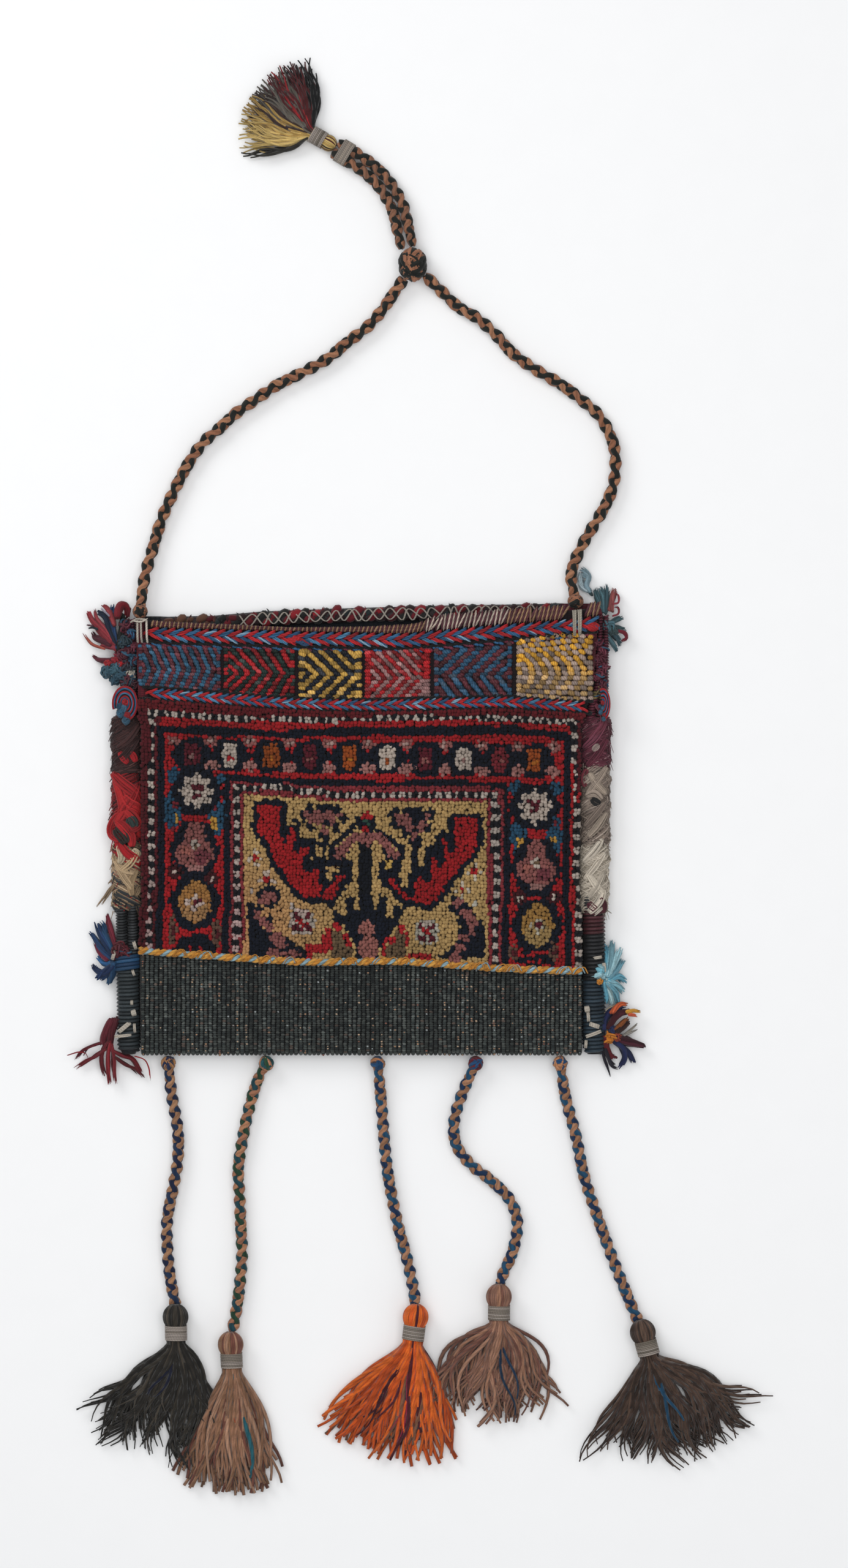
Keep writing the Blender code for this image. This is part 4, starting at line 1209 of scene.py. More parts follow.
class Cartoon:
    """The weaver's cartoon: a colour for each place, painted shape over shape."""

    def __init__(self, px: np.ndarray, py: np.ndarray, code: str) -> None:
        """Starts with one colour everywhere.

        Args:
            px: places across the photograph.
            py: places down it.
            code: the ground's colour.
        """
        self.px, self.py = px, py
        self.tints = np.tile(ink(code), (px.size, 1))

    def paint(self, mask: np.ndarray, code: str) -> None:
        """Colours the places of a mask."""
        self.tints[mask] = ink(code)

    def shape(self, corners: Sequence[tuple[float, float]]) -> np.ndarray:
        """Which places lie inside a polygon."""
        inside = np.zeros(self.px.size, bool)
        for (ax, ay), (bx, by) in zip(corners, [*corners[1:], corners[0]]):
            if ay == by:
                continue
            crossed = (self.py >= min(ay, by)) & (self.py < max(ay, by))
            inside ^= crossed & (self.px < ax + (self.py - ay) * (bx - ax) / (by - ay))
        return inside

    def line(self, corners: Sequence[tuple[float, float]], half: float) -> np.ndarray:
        """Which places lie near a line."""
        near = np.zeros(self.px.size, bool)
        for (ax, ay), (bx, by) in zip(corners, corners[1:]):
            run = max((bx - ax) ** 2 + (by - ay) ** 2, 1e-9)
            t = np.clip(((self.px - ax) * (bx - ax) + (self.py - ay) * (by - ay)) / run, 0, 1)
            near |= np.hypot(self.px - ax - t * (bx - ax), self.py - ay - t * (by - ay)) < half
        return near

    def blob(self, cx: float, cy: float, rx: float, ry: float, power: float = 2.0) -> np.ndarray:
        """Which places lie in an oval, or in a diamond at power 1 and a box at a high power."""
        return (np.abs((self.px - cx) / rx) ** power + np.abs((self.py - cy) / ry) ** power) < 1

    def blobs(self, ovals: Sequence[Sequence[float]], code: str, power: float = 2.0) -> None:
        """Colours ovals, each given by its middle and its half sizes."""
        for cx, cy, rx, ry in ovals:
            self.paint(self.blob(cx, cy, rx, ry, power), code)

    def octagon(self, cx: float, cy: float, rx: float, ry: float) -> np.ndarray:
        """Which places lie in an octagon drawn out to points at its sides."""
        across, down = np.abs(self.px - cx) / rx, np.abs(self.py - cy) / ry
        return (down < 1) & (across + 0.52 * down < 1.06)

    def checks(self, mask: np.ndarray, along: np.ndarray, pitch: float) -> None:
        """Fills a mask with ivory and black by turns."""
        dark = np.floor(along / pitch).astype(int) % 2 == 0
        self.paint(mask & dark, "15151a")
        self.paint(mask & ~dark, "a89c92")


@dataclass
class PileDesign:
    """The knotted front's design, in the photograph's own places."""

    red: str = "96181d"
    burgundy: str = "4e141b"
    navy: str = "0b111e"
    ivory: str = "ac9e92"
    mauve: str = "84504c"
    blue: str = "22475f"
    gold: str = "7e3c14"
    orange: str = "8c4218"
    maroon: str = "521420"
    brown: str = "64503a"
    tan: str = "ab8c5a"
    pink: str = "7a2a30"
    checker_px: Sequence[tuple[float, float]] = (
        (247, 1160.6), (326, 1167), (377, 1171.5), (483, 1174), (600, 1173), (700, 1170.5), (826, 1170.5),
        (942, 1180),
    )
    guard_px: Sequence[tuple[float, float]] = (
        (262, 1189), (340, 1191), (419, 1196), (480, 1197), (543, 1193), (678, 1192.5), (833, 1190),
        (907, 1199), (925, 1201),
    )
    inner_px: Sequence[tuple[float, float]] = (
        (374.5, 1268), (468, 1272), (543, 1277), (628, 1279), (716, 1276), (825, 1280),
    )
    inner_checker_px: Sequence[tuple[float, float]] = (
        (390, 1282), (468, 1286), (548, 1295), (678, 1295.5), (745, 1295), (808.5, 1298),
    )
    left_wing_px: Sequence[tuple[float, float]] = (
        (421, 1313), (462, 1313), (457, 1330), (460, 1340), (457, 1362), (466, 1376), (467, 1363),
        (472, 1360), (474, 1352), (480, 1352), (484, 1362), (480, 1380), (484, 1393), (491, 1392),
        (492, 1384), (506, 1378), (506, 1392), (495, 1400), (499, 1424), (506, 1424), (508, 1420),
        (523, 1414), (521, 1438), (525, 1446), (524, 1456), (532, 1452), (545, 1440), (550, 1430),
        (564, 1426), (563, 1433), (556, 1440), (551, 1452), (541, 1468), (518, 1464), (500, 1464),
        (484, 1452), (482, 1445), (466, 1430), (463, 1420), (452, 1410), (446, 1395), (438, 1374),
        (422, 1356), (419, 1348), (424, 1335),
    )
    right_wing_px: Sequence[tuple[float, float]] = (
        (742, 1334), (780, 1334), (781, 1350), (780, 1375), (766, 1400), (750, 1412), (745, 1425),
        (736, 1432), (722, 1455), (708, 1472), (700, 1475), (662, 1468), (650, 1455), (640, 1443),
        (632, 1441), (633, 1432), (638, 1427), (650, 1443), (660, 1456), (672, 1466), (680, 1462),
        (676, 1450), (682, 1430), (688, 1428), (691, 1437), (702, 1440), (703, 1412), (704, 1392),
        (713, 1405), (712, 1412), (722, 1413), (726, 1392), (724, 1380), (718, 1370), (725, 1368),
        (733, 1375), (732, 1385), (738, 1390), (745, 1386), (744, 1370), (741, 1355),
    )
    left_hollow_px: Sequence[tuple[float, float]] = (
        (481, 1338), (492, 1337), (490, 1365), (515, 1367), (527, 1374), (530, 1358), (538, 1358),
        (540, 1380), (541, 1400), (560, 1402), (572, 1415), (574, 1438), (562, 1462), (545, 1474),
        (500, 1472), (500, 1400),
    )
    right_hollow_px: Sequence[tuple[float, float]] = (
        (670, 1372), (682, 1372), (684, 1410), (692, 1414), (692, 1378), (708, 1378), (715, 1360),
        (722, 1352), (734, 1365), (738, 1392), (716, 1400), (712, 1415), (703, 1440), (676, 1470),
        (650, 1462), (622, 1440), (624, 1400), (640, 1420), (658, 1446), (668, 1446),
    )
    base_px: Sequence[tuple[float, float]] = (
        (541, 1478), (560, 1492), (566, 1458), (652, 1458), (656, 1478), (662, 1480), (652, 1503),
        (630, 1530), (621, 1550), (620, 1562), (583, 1562), (583, 1546), (560, 1508), (545, 1500),
    )
    left_foot_px: Sequence[tuple[float, float]] = (
        (405, 1474), (417, 1472), (420, 1500), (432, 1514), (448, 1520), (470, 1528), (482, 1541),
        (498, 1547), (498, 1562), (406, 1562),
    )
    right_foot_px: Sequence[tuple[float, float]] = (
        (734, 1460), (742, 1458), (752, 1462), (766, 1476), (774, 1486), (775, 1497), (786, 1500),
        (792, 1517), (792, 1562), (704, 1564), (724, 1558), (736, 1546), (746, 1534), (752, 1512),
        (750, 1492), (736, 1484),
    )

    def dye(self, px: np.ndarray, py: np.ndarray, row: np.ndarray) -> np.ndarray:
        """The colour of each knot.

        Args:
            px: places across the photograph.
            py: places down it.
            row: the number of each knot's row.

        Returns:
            Linear colours, one a place.
        """
        c = Cartoon(px, py, self.red)
        self._guards(c, row)
        self._border(c)
        self._field(c)
        self._motifs(c)
        self._feet(c)
        return c.tints

    def _guards(self, c: Cartoon, row: np.ndarray) -> None:
        """The checkered and plain lines round the border, and the field's ground inside them."""
        left = read(((1180, 250), (1300, 249.5), (1400, 247), (1500, 246)), c.py)
        right = read(((1180, 938), (1355, 940), (1460, 942), (1540, 943)), c.py)
        top = read(self.checker_px, c.px)
        c.paint((c.px < left + 12) | (c.px > right + 5), self.burgundy)
        c.paint(c.py < top - 4, "5c151b")
        c.checks((np.abs(c.py - top) < 4.2) & (c.px > left - 5) & (c.px < right + 5), c.px, 7.25)
        for middle in (left, right):
            c.checks((np.abs(c.px - middle) < 4.6) & (c.py > top + 4), row.astype(float), 2.0)
        c.paint(c.line(((264, 1189), (263, 1400), (262, 1580)), 5.6), self.navy)
        c.paint(c.line(((925, 1200), (925.5, 1400), (926, 1600)), 5.6), self.navy)
        c.paint(c.line(self.guard_px, 6), self.navy)
        inner = read(self.inner_px, c.px)
        held = (c.px > 366) & (c.px < 831) & (c.py > inner - 4.5)
        c.paint(held, self.navy)
        c.paint(held & (c.px > 375.5) & (c.px < 821) & (c.py > inner + 4.5), self.pink)
        guard = read(self.inner_checker_px, c.px)
        c.paint((c.px > 399) & (c.px < 797) & (c.py > guard + 12), self.tan)
        inside = (c.px > 382) & (c.px < 815) & (c.py > guard - 5)
        c.checks(inside & (c.py < guard + 5), c.px, 7.5)
        c.checks(inside & (c.px < 393.5) & (c.py > guard + 4), row.astype(float) + 1, 2.0)
        c.checks(inside & (c.px > 803.5) & (c.py > guard + 4), row.astype(float) + 1, 2.0)

    def _border(self, c: Cartoon) -> None:
        """The octagons, stars, pears and rosettes between the guards."""
        places = (314, 376, 443.5, 506, 571, 632, 695.5, 757, 817, 873)
        hearts = (
            self.maroon, self.ivory, self.gold, self.maroon, self.orange, self.ivory, self.maroon, self.ivory,
            "6c2028", self.orange,
        )
        dots = (
            "7c5c58", self.red, "9c5a1c", self.mauve, "a0641e", self.orange, self.mauve, "94706a", self.mauve,
            "9c5a1c",
        )
        rise = np.interp(places, (314, 873), (1231, 1240))
        for number, (cx, cy) in enumerate(zip(places, rise)):
            c.paint(c.octagon(cx, cy, 32, 27), self.navy)
            c.paint(c.blob(cx, cy, 12.5, 19, 4), hearts[number])
            c.paint(c.blob(cx, cy + 3, 4.5, 5), dots[number])
        for cx in (283, 346, 409, 474, 538, 601, 664, 726, 787, 845, 903):
            cy = float(np.interp(cx, (314, 873), (1228, 1238)))
            c.paint(c.blob(cx, cy - 20, 11, 9.5, 1.6), self.mauve)
            c.paint(c.blob(cx, cy - 21, 4.5, 3.5), "9c8078")
            if cx > 300:
                c.paint(c.blob(cx, cy + 20, 13, 9.5, 1.6), "946660")
        leaves = (
            (285, 1264, 13, 14), (361, 1270, 9, 10), (844, 1286, 14, 14), (905, 1286, 14, 13),
            (282, 1322, 15, 34), (355, 1330, 14, 36), (846, 1360, 13, 36), (905, 1362, 13, 36),
        )
        c.blobs(leaves, self.blue, 1.5)
        for x, y in ((290, 1273), (286, 1312), (284, 1352), (352, 1318), (846, 1340), (906, 1344)):
            c.paint(c.blob(x, y, 4.5, 4.5), "6c1c26")
        self._side(c, ((322, 1290), (319, 1384), (320, 1470)), (320, 1546, 34, 22))
        self._side(c, ((873, 1315), (875, 1412), (877, 1508.5)), (876, 1566, 34, 8))
        cores = ((287, 1333, 4, 9), (350, 1342, 7.5, 9), (848, 1373, 5.5, 6.5), (903, 1371, 6, 6))
        c.blobs(cores, "b88a3c")
        for cx, cy in ((287, 1421), (347, 1431), (847, 1464), (905, 1464)):
            c.paint(c.blob(cx, cy, 13, 14, 1.3), "3c1016")
            c.paint(c.blob(cx, cy, 5, 4.5), self.ivory)
        buds = ((283, 1515, 8, 27), (355, 1522, 9, 24), (839, 1553, 9, 14), (905, 1552, 9, 15))
        c.blobs(buds, "5c4236", 1.5)
        c.blobs([(cx + 2, cy, 4, 7) for cx, cy, _, _ in buds], "4c161c")

    def _side(
        self,
        c: Cartoon,
        places: Sequence[tuple[float, float]],
        bottom: tuple[float, float, float, float],
    ) -> None:
        """One side border's star, pear and rosette, and the octagon cut off below them.

        Args:
            c: the cartoon.
            places: the middles of the three.
            bottom: the cut octagon's middle and half sizes.
        """
        star, pear, rosette = places
        for x, y, rx, ry in ((*star, 42, 38), (pear[0], pear[1] + 2, 41, 46), (*rosette, 42, 44), bottom):
            c.paint(c.octagon(x, y, rx, ry), self.navy)
        turn = np.arctan2(c.py - star[1], c.px - star[0])
        far = np.hypot(c.px - star[0], c.py - star[1])
        c.paint(far < 30 * (0.62 + 0.38 * np.abs(np.cos(4 * turn))), self.ivory)
        for x, y in ((-5, -6), (6, -4), (1, 7)):
            c.paint(c.blob(star[0] + x, star[1] + y, 5.5, 5.5), self.maroon)
        body = c.blob(pear[0], pear[1] + 7, 31, 26) | c.blob(pear[0] + 1, pear[1] - 20, 17, 24)
        c.paint(body, self.mauve)
        c.paint(c.blob(pear[0] + 12, pear[1] + 14, 12, 12), "6a343a")
        c.paint(c.blob(pear[0] - 14, pear[1] + 2, 9, 8), "945a50")
        c.paint(c.blob(pear[0], pear[1] - 6, 9, 10, 1.3), self.ivory)
        c.paint(c.blob(pear[0] + 1, pear[1] - 5, 3.5, 4), self.brown)
        c.paint(c.blob(pear[0] + 2, pear[1] + 33, 14, 6), "8c6660")
        c.paint(c.blob(*rosette, 27, 35, 1.8), "906c38")
        c.paint(c.blob(rosette[0], rosette[1] + 14, 22, 20, 1.8), "90764a")
        for x, y in ((-12, 0), (8, 4), (0, 11), (0, -8)):
            c.paint(c.blob(rosette[0] + x, rosette[1] + y, 5, 5), "a09a8c")
        c.paint(c.blob(rosette[0] + 2, rosette[1], 5, 5.5), self.maroon)
        x, y, rx, _ = bottom
        for aside in (-0.25, 0.2):
            c.paint(c.blob(x + aside * rx, y + 2, 4.5, 6, 1.0), self.red)

    def _field(self, c: Cartoon) -> None:
        """The two wings and the stem between them."""
        for wing in (self.left_wing_px, self.right_wing_px):
            c.paint(c.shape(wing) | c.line([*wing, wing[0]], 8.5), self.navy)
        c.paint(c.shape(self.left_hollow_px) | c.shape(self.right_hollow_px), self.navy)
        for wing in (self.left_wing_px, self.right_wing_px):
            c.paint(c.shape(wing), "98181c")
        bars = (
            (521, 1388, 4, 9), (536, 1390, 4, 13), (509, 1399, 4.5, 4), (546, 1416, 12, 4.5),
            (540, 1427, 5, 11), (563, 1408, 4.5, 4.5), (687, 1390, 5.5, 24), (665, 1395, 5.5, 30),
            (662, 1432, 6, 14), (650, 1421, 7, 4.5),
        )
        c.blobs(bars, self.tan, 4)
        c.paint(c.blob(597, 1425, 12.5, 55, 8), "090d16")
        c.paint(c.line(((541, 1400), (541, 1384), (575, 1350), (588, 1334)), 4), self.navy)
        c.paint(c.line(((618, 1356), (655, 1380), (655, 1402)), 4), self.navy)
        c.paint(c.shape(((541, 1400), (541, 1385), (575, 1380), (574, 1440), (560, 1420))), self.navy)
        c.paint(c.shape(((620, 1380), (655, 1385), (658, 1420), (632, 1432), (621, 1440))), self.navy)
        c.paint(c.shape(self.base_px), self.navy)
        for corners in (
            (
                (576, 1374), (586, 1378), (586, 1455), (586, 1482), (580, 1482), (580, 1460), (566, 1462),
                (565, 1492), (556, 1490), (560, 1478), (544, 1474), (560, 1460), (564, 1448), (574, 1436),
                (574, 1402), (564, 1399),
            ),
            (
                (610, 1376), (624, 1382), (628, 1402), (620, 1410), (620, 1445), (632, 1445), (640, 1458),
                (646, 1464), (660, 1476), (658, 1481), (642, 1474), (640, 1498), (630, 1496), (632, 1462),
                (618, 1458), (617, 1484), (608, 1478), (607, 1420), (611, 1400),
            ),
        ):
            c.paint(c.shape(corners), self.tan)
        c.paint(c.blob(635, 1409, 7, 9.5, 3), "b3924e")
        c.paint(c.line(((552, 1394), (582, 1364), (600, 1362), (618, 1364), (646, 1394)), 7.5), self.mauve)
        c.paint(c.blob(600, 1368, 12, 12), self.mauve)
        c.paint(c.blob(600, 1342, 15, 22, 1.2), self.navy)
        c.paint(c.blob(600, 1331, 6, 8) | c.blob(598, 1352, 7, 6), self.red)
        c.paint(c.blob(599, 1341, 5, 4.5), "28483c")

    def _motifs(self, c: Cartoon) -> None:
        """The flowers round the stem and the small ones in the tan ground."""
        grounds = (
            (506, 1319, 8, 8), (530, 1317, 14, 7), (550, 1320, 8, 7), (508, 1348, 7, 6), (549, 1347, 7, 8),
            (562, 1334, 6, 9), (494, 1328, 6, 6), (532, 1362, 8, 14), (498, 1336, 6, 5),
            (673, 1324, 18, 8), (645, 1326, 8, 10), (703, 1328, 7, 10), (645, 1344, 9, 7), (690, 1328, 8, 6),
            (678, 1372, 10, 14), (662, 1360, 8, 8), (700, 1350, 5, 7), (675, 1343, 26, 16),
        )
        c.blobs(grounds, self.navy)
        petals = (
            (520, 1333, 17, 11), (538, 1333, 12, 12), (502, 1326, 7, 5), (531, 1355, 7, 7), (555, 1329, 6, 5),
            (660, 1338, 14, 10), (688, 1345, 9, 11), (668, 1350, 8, 7), (651, 1329, 6, 5), (697, 1331, 6, 5),
            (677, 1363, 6, 7),
        )
        c.blobs(petals, self.mauve)
        c.blobs(((531, 1341, 5.5, 7), (676, 1341, 5.5, 7)), self.navy)
        for cx, cy in ((494, 1503), (697, 1519)):
            c.paint(c.blob(cx, cy, 21, 21, 2.6), "a09a8c")
            for x in (-9, 9):
                c.paint(c.blob(cx + x, cy - 10, 6, 5.5, 4) | c.blob(cx + x, cy + 11, 6, 5.5, 4), self.maroon)
            c.paint(c.line(((cx - 4, cy - 3), (cx + 4, cy + 4)), 4.5), self.red)
            c.paint(c.blob(cx, cy - 15, 9, 5), self.ivory)
        for cx, cy in ((419, 1399), (436, 1434), (775, 1421), (754, 1451)):
            for x, y in ((-10, 2), (10, 2), (0, -11), (0, 11)):
                c.paint(c.blob(cx + x, cy + y, 4, 4.5), "b0a594")
            c.paint(c.blob(cx, cy, 4.5, 6), self.red)
        for cx, cy in ((411, 1452), (478, 1475), (776, 1473)):
            c.paint(c.blob(cx, cy, 4.5, 4.5), "a8a498")

    def _feet(self, c: Cartoon) -> None:
        """The stem's base and the feet in the field's lower corners."""
        c.paint(c.blob(600, 1514, 13, 14) | c.blob(601, 1545, 18, 20), "8c5850")
        for corners in (
            ((541, 1562), (541, 1522), (556, 1516), (576, 1546), (576, 1562)),
            ((664, 1562), (664, 1522), (648, 1518), (630, 1544), (630, 1562)),
        ):
            c.paint(c.shape(corners), self.brown)
        hooks = (
            (546, 1507, 6, 5.5), (553, 1515, 4, 5), (563, 1527, 4.5, 5.5), (570, 1538, 5, 7),
            (535, 1530, 6, 18), (520, 1546, 21, 6), (505, 1556, 5.5, 6), (655, 1514, 6, 6), (638, 1532, 7, 6),
            (627, 1546, 5, 9), (665, 1532, 4, 13), (683, 1562, 21, 6),
        )
        c.blobs(hooks, "9c1a20", 5)
        c.paint(c.shape(self.left_foot_px) | c.shape(self.right_foot_px), self.navy)
        c.paint(c.blob(440, 1460, 19, 19, 1.6), self.navy)
        curls = (
            (440, 1462, 13, 10), (428, 1469, 8, 6), (419, 1490, 6, 8), (430, 1503, 8, 7), (440, 1512, 8, 7),
            (452, 1530, 14, 9), (460, 1541, 10, 7), (448, 1553, 13, 7), (478, 1555, 14, 6),
            (747, 1472, 8, 9), (760, 1488, 12, 8), (771, 1503, 10, 8), (770, 1518, 8, 8), (757, 1528, 9, 6),
            (750, 1545, 8, 9), (742, 1561, 12, 6),
        )
        c.blobs(curls, self.mauve)
        c.blobs(((440, 1496, 6, 7), (424, 1480, 7, 5), (757, 1514, 6, 6), (752, 1500, 5, 6)), self.navy)


def pile_top(px: np.ndarray) -> np.ndarray:
    """How far down the pile starts."""
    return read(LOWER_BRAID_PX, px) + (LOWER_BRAID_WIDTH / 2 + GAP) / PIXEL


def pile_bottom(px: np.ndarray) -> np.ndarray:
    """How far down the pile ends."""
    return read(SEAM_PX, px) - (SEAM_HALF + GAP) / PIXEL


def cloth_bottom(px: np.ndarray) -> np.ndarray:
    """How far down the flat cloths end."""
    return np.full(np.shape(px), BOTTOM_PX - (FOLD_DEPTH + GAP) / PIXEL)


def plain(code: str) -> Callable[[np.ndarray, np.ndarray], np.ndarray]:
    """One colour all over a cloth."""
    return lambda px, py: np.tile(ink(code), (px.size, 1))


def strip(grid: np.ndarray) -> tuple[float, float]:
    """The width and length of a grid of points, as cut flat."""
    width = np.linalg.norm(np.diff(grid, axis=1), axis=2).sum(axis=1).mean()
    length = np.linalg.norm(np.diff(grid, axis=0), axis=2).sum(axis=0).mean()
    return float(width), float(length)


def lay_cloth(
    name: str,
    node: str,
    slot: str,
    grid: np.ndarray,
    low: float,
    high: float,
    dye: Callable[[np.ndarray, np.ndarray], np.ndarray],
    finish: YarnFinish = GROUND,
    swollen: bool = True,
) -> bpy.types.Object:
    """Makes a ground cloth from a grid of places.

    Args:
        name: the piece's name.
        node: the CAD node that it stands for.
        slot: the node's material slot, not used.
        grid: the places, as (rows, columns, 3).
        low: the height of its reverse.
        high: the height of its face.
        dye: gives the colours of places across and down the photograph.
        finish: its finish.
        swollen: whether it follows the front's swell.

    Returns:
        The piece.
    """
    face, back = grid.copy(), grid.copy()
    rise = swell(grid[..., 0], grid[..., 1]) if swollen else np.zeros(grid.shape[:2])
    face[..., 2], back[..., 2] = high + rise, low + rise
    px, py = pixels(grid)
    tints = dye(px.ravel(), py.ravel()).reshape(grid.shape)
    return dress(Skein().shell(face, back, tints).piece(name, finish), "bag", slot, node)


@dataclass
class Front:
    """The knotted front, the flatweave below it, the fold and the back."""

    shapes: Shapes
    columns: int = 133
    rows: int = 80
    seed: int = 12

    def build(self) -> None:
        """Makes all of it."""
        self.back()
        self.pile()
        self.flatweave()
        self.seam()

    def back(self) -> None:
        """The plain cloth of the back."""
        def top(px: np.ndarray) -> np.ndarray:
            """The rim, but lower at both corners, where only tufts show."""
            low = np.where(px < 262, 1006.0, np.where(px > 922, 985.0, 0.0))
            return np.maximum(read(RIM_TOP_PX, px), low)

        grid = cloth_grid(top, cloth_bottom, 50, 60)
        rng = np.random.default_rng(self.seed)

        def dye(px: np.ndarray, py: np.ndarray) -> np.ndarray:
            """Near black, but burgundy at the upper right corner."""
            corner = ((px > 915) & (py < 1012))[:, None]
            return np.where(corner, ink("5a2630"), ink("1d2126")) * rng.uniform(0.8, 1.2, (px.size, 1))

        cloth = lay_cloth(
            "back_sheet", "back_cloth", "flatweave_wool", grid, 0.0, BACK_THICKNESS, dye, BACKING, False
        )

    def pile(self) -> None:
        """The pile's ground cloth and its knots."""
        cells = cloth_grid(pile_top, pile_bottom, self.rows + 1, self.columns + 1)
        knots = ((cells[:-1, :-1] + cells[1:, :-1] + cells[:-1, 1:] + cells[1:, 1:]) / 4).reshape(-1, 3)
        rng = np.random.default_rng(self.seed)
        count = len(knots)
        px, py = pixels(knots)
        row = np.repeat(np.arange(self.rows), self.columns)
        tints = PileDesign().dye(px, py, row)
        streaks = np.interp(
            row + rng.normal(0, 0.2, count), np.arange(self.rows), rng.uniform(0.9, 1.1, self.rows)
        )
        warm = np.clip((py - 1370) / 120, 0, 1) * np.clip((560 - px) / 120, 0, 1)
        tints *= 1 + warm[:, None] * (tints[:, :1] > 0.25) * (0.10, -0.10, -0.02)
        tints *= 0.76 * streaks[:, None] * rng.uniform(0.82, 1.18, (count, 1))
        knots[:, :2] += rng.normal(0, 0.0002, (count, 2))
        knots[:, 2] = FACE_Z - 0.0005 + swell(knots[:, 0], knots[:, 1])
        across, down = (length / number for length, number in zip(strip(cells), (self.columns, self.rows)))
        tall = (PILE_TOP_Z - FACE_Z + 0.0005) * rng.uniform(0.88, 1.02, count)
        sizes = np.stack([np.full(count, across * 0.76), np.full(count, down * 0.86), tall], axis=1)
        lean, aside = rng.normal(0.24, 0.09, count), rng.normal(0, 0.12, count)
        turns = np.stack([lean, aside, rng.uniform(-0.5, 0.5, count)], axis=1)
        laying = Laying(self.shapes.knot, PILE, self.seed, 0.08, 0.05)
        for name, kept in (("upper", row < self.rows // 2), ("lower", row >= self.rows // 2)):
            laid = laying.piece(f"pile_knots_{name}", knots[kept], turns[kept], sizes[kept], tints[kept])
            dress(laid, "bag", "red_pile", "pile_panel")
        grid = cloth_grid(pile_top, pile_bottom, 40, 60)
        # The dark ground under the knots stands as painted shade in the gaps between them.
        ground = lay_cloth(
            "pile_ground", "pile_panel", "red_pile", grid, FRONT_Z, FACE_Z - 0.0002, plain("3a1216")
        )

    def flatweave(self) -> None:
        """The beaded strip below the pile and the fold that it runs on into."""
        def top(px: np.ndarray) -> np.ndarray:
            """The seam's upper edge."""
            return read(SEAM_PX, px) - SEAM_HALF / PIXEL

        # Near black: painted shade in the grooves between the bead ribs, here and round the fold.
        dark = plain("0d0f10")
        grid = cloth_grid(top, cloth_bottom, 16, 60)
        ground = lay_cloth(
            "lower_flatweave_ground", "lower_flatweave", "flatweave_wool",
            grid, FRONT_Z, FACE_Z - 0.0007, dark,
        )
        columns, pitch, half_width, half_height = 98, 0.00138, 0.00112, 0.0011
        edge = cloth_grid(cloth_bottom, cloth_bottom, 2, columns + 1)[0]
        edge = (edge[:-1] + edge[1:]) / 2
        fold_y, fold_z = at(0, BOTTOM_PX)[1] + FOLD_DEPTH, FACE_Z / 2
        arc = np.linspace(0, math.pi * 0.94, 400)
        bend = np.stack([-np.sin(arc) * (FOLD_DEPTH - 0.0006), np.cos(arc) * (fold_z - 0.0004)], axis=1)
        reach = reach_along(bend)
        rows, leans, ribs = [], [], []
        for step in range(1, int(reach[-1] / pitch)):
            y, z = places_on(bend, reach, step * pitch)
            lean = math.atan2(-y / FOLD_DEPTH**2, z / fold_z**2)
            rows.append(
                np.column_stack([edge[:, 0], np.full(columns, fold_y + y), np.full(columns, fold_z + z)])
            )
            leans.append(np.full(columns, lean))
            ribs.append(np.arange(columns))
        _, top_y = metres(0, top(pixels(edge)[0]))
        for step in range(int((top_y.max() - fold_y) / pitch)):
            y = fold_y + step * pitch
            keep = y < top_y - 0.0004
            z = FACE_Z - 0.0002 + swell(edge[keep, 0], np.full(keep.sum(), y))
            rows.append(np.column_stack([edge[keep, 0], np.full(keep.sum(), y), z]))
            leans.append(np.zeros(keep.sum()))
            ribs.append(np.arange(columns)[keep])
        places, lean, rib = np.concatenate(rows), np.concatenate(leans), np.concatenate(ribs)
        rng = np.random.default_rng(self.seed + 1)
        total = len(places)
        tints = pick(rng, total, (("363b39", 5.0), ("484c49", 3.0), ("262b2b", 3.0), ("4e443e", 0.6)), 0.3)
        tints *= rng.uniform(0.62, 1.5, columns)[rib][:, None]
        speckled = rng.uniform(0, 1, total) < rng.choice((0.01, 0.07, 0.18), columns)[rib]
        places[:, 0] += 0.00016 * np.sin(places[:, 1] * 260 + rib) + rng.normal(0, 0.00009, total)
        turns = np.stack([lean, np.zeros(total), rng.normal(0, 0.16, total)], axis=1)
        tall = np.full(total, pitch * 0.58) * rng.uniform(0.85, 1.15, total)
        sizes = np.stack([np.full(total, half_width), tall, np.full(total, half_height)], axis=1)
        count = int(speckled.sum())
        up = np.column_stack([np.zeros(count), -np.sin(lean[speckled]), np.cos(lean[speckled])])
        places = np.concatenate([places, places[speckled] + up * 0.0005])
        turns = np.concatenate([turns, turns[speckled]])
        sizes = np.concatenate([sizes, rng.uniform(0.8, 1.2, (count, 1)) * (0.00055, 0.00048, 0.0009)])
        pale = (("a07c60", 3.0), ("b49a80", 2.0), ("84584a", 1.0), ("9aa0a0", 1.0))
        tints = np.concatenate([tints, pick(rng, count, pale, 0.15)])
        beads = Laying(self.shapes.bead, BEAD, self.seed, 0.05, 0.04).piece(
            "flatweave_beads", places, turns, sizes, tints
        )
        dress(beads, "bag", "flatweave_wool", "lower_flatweave", "bottom_fold")
        self.fold(dark)

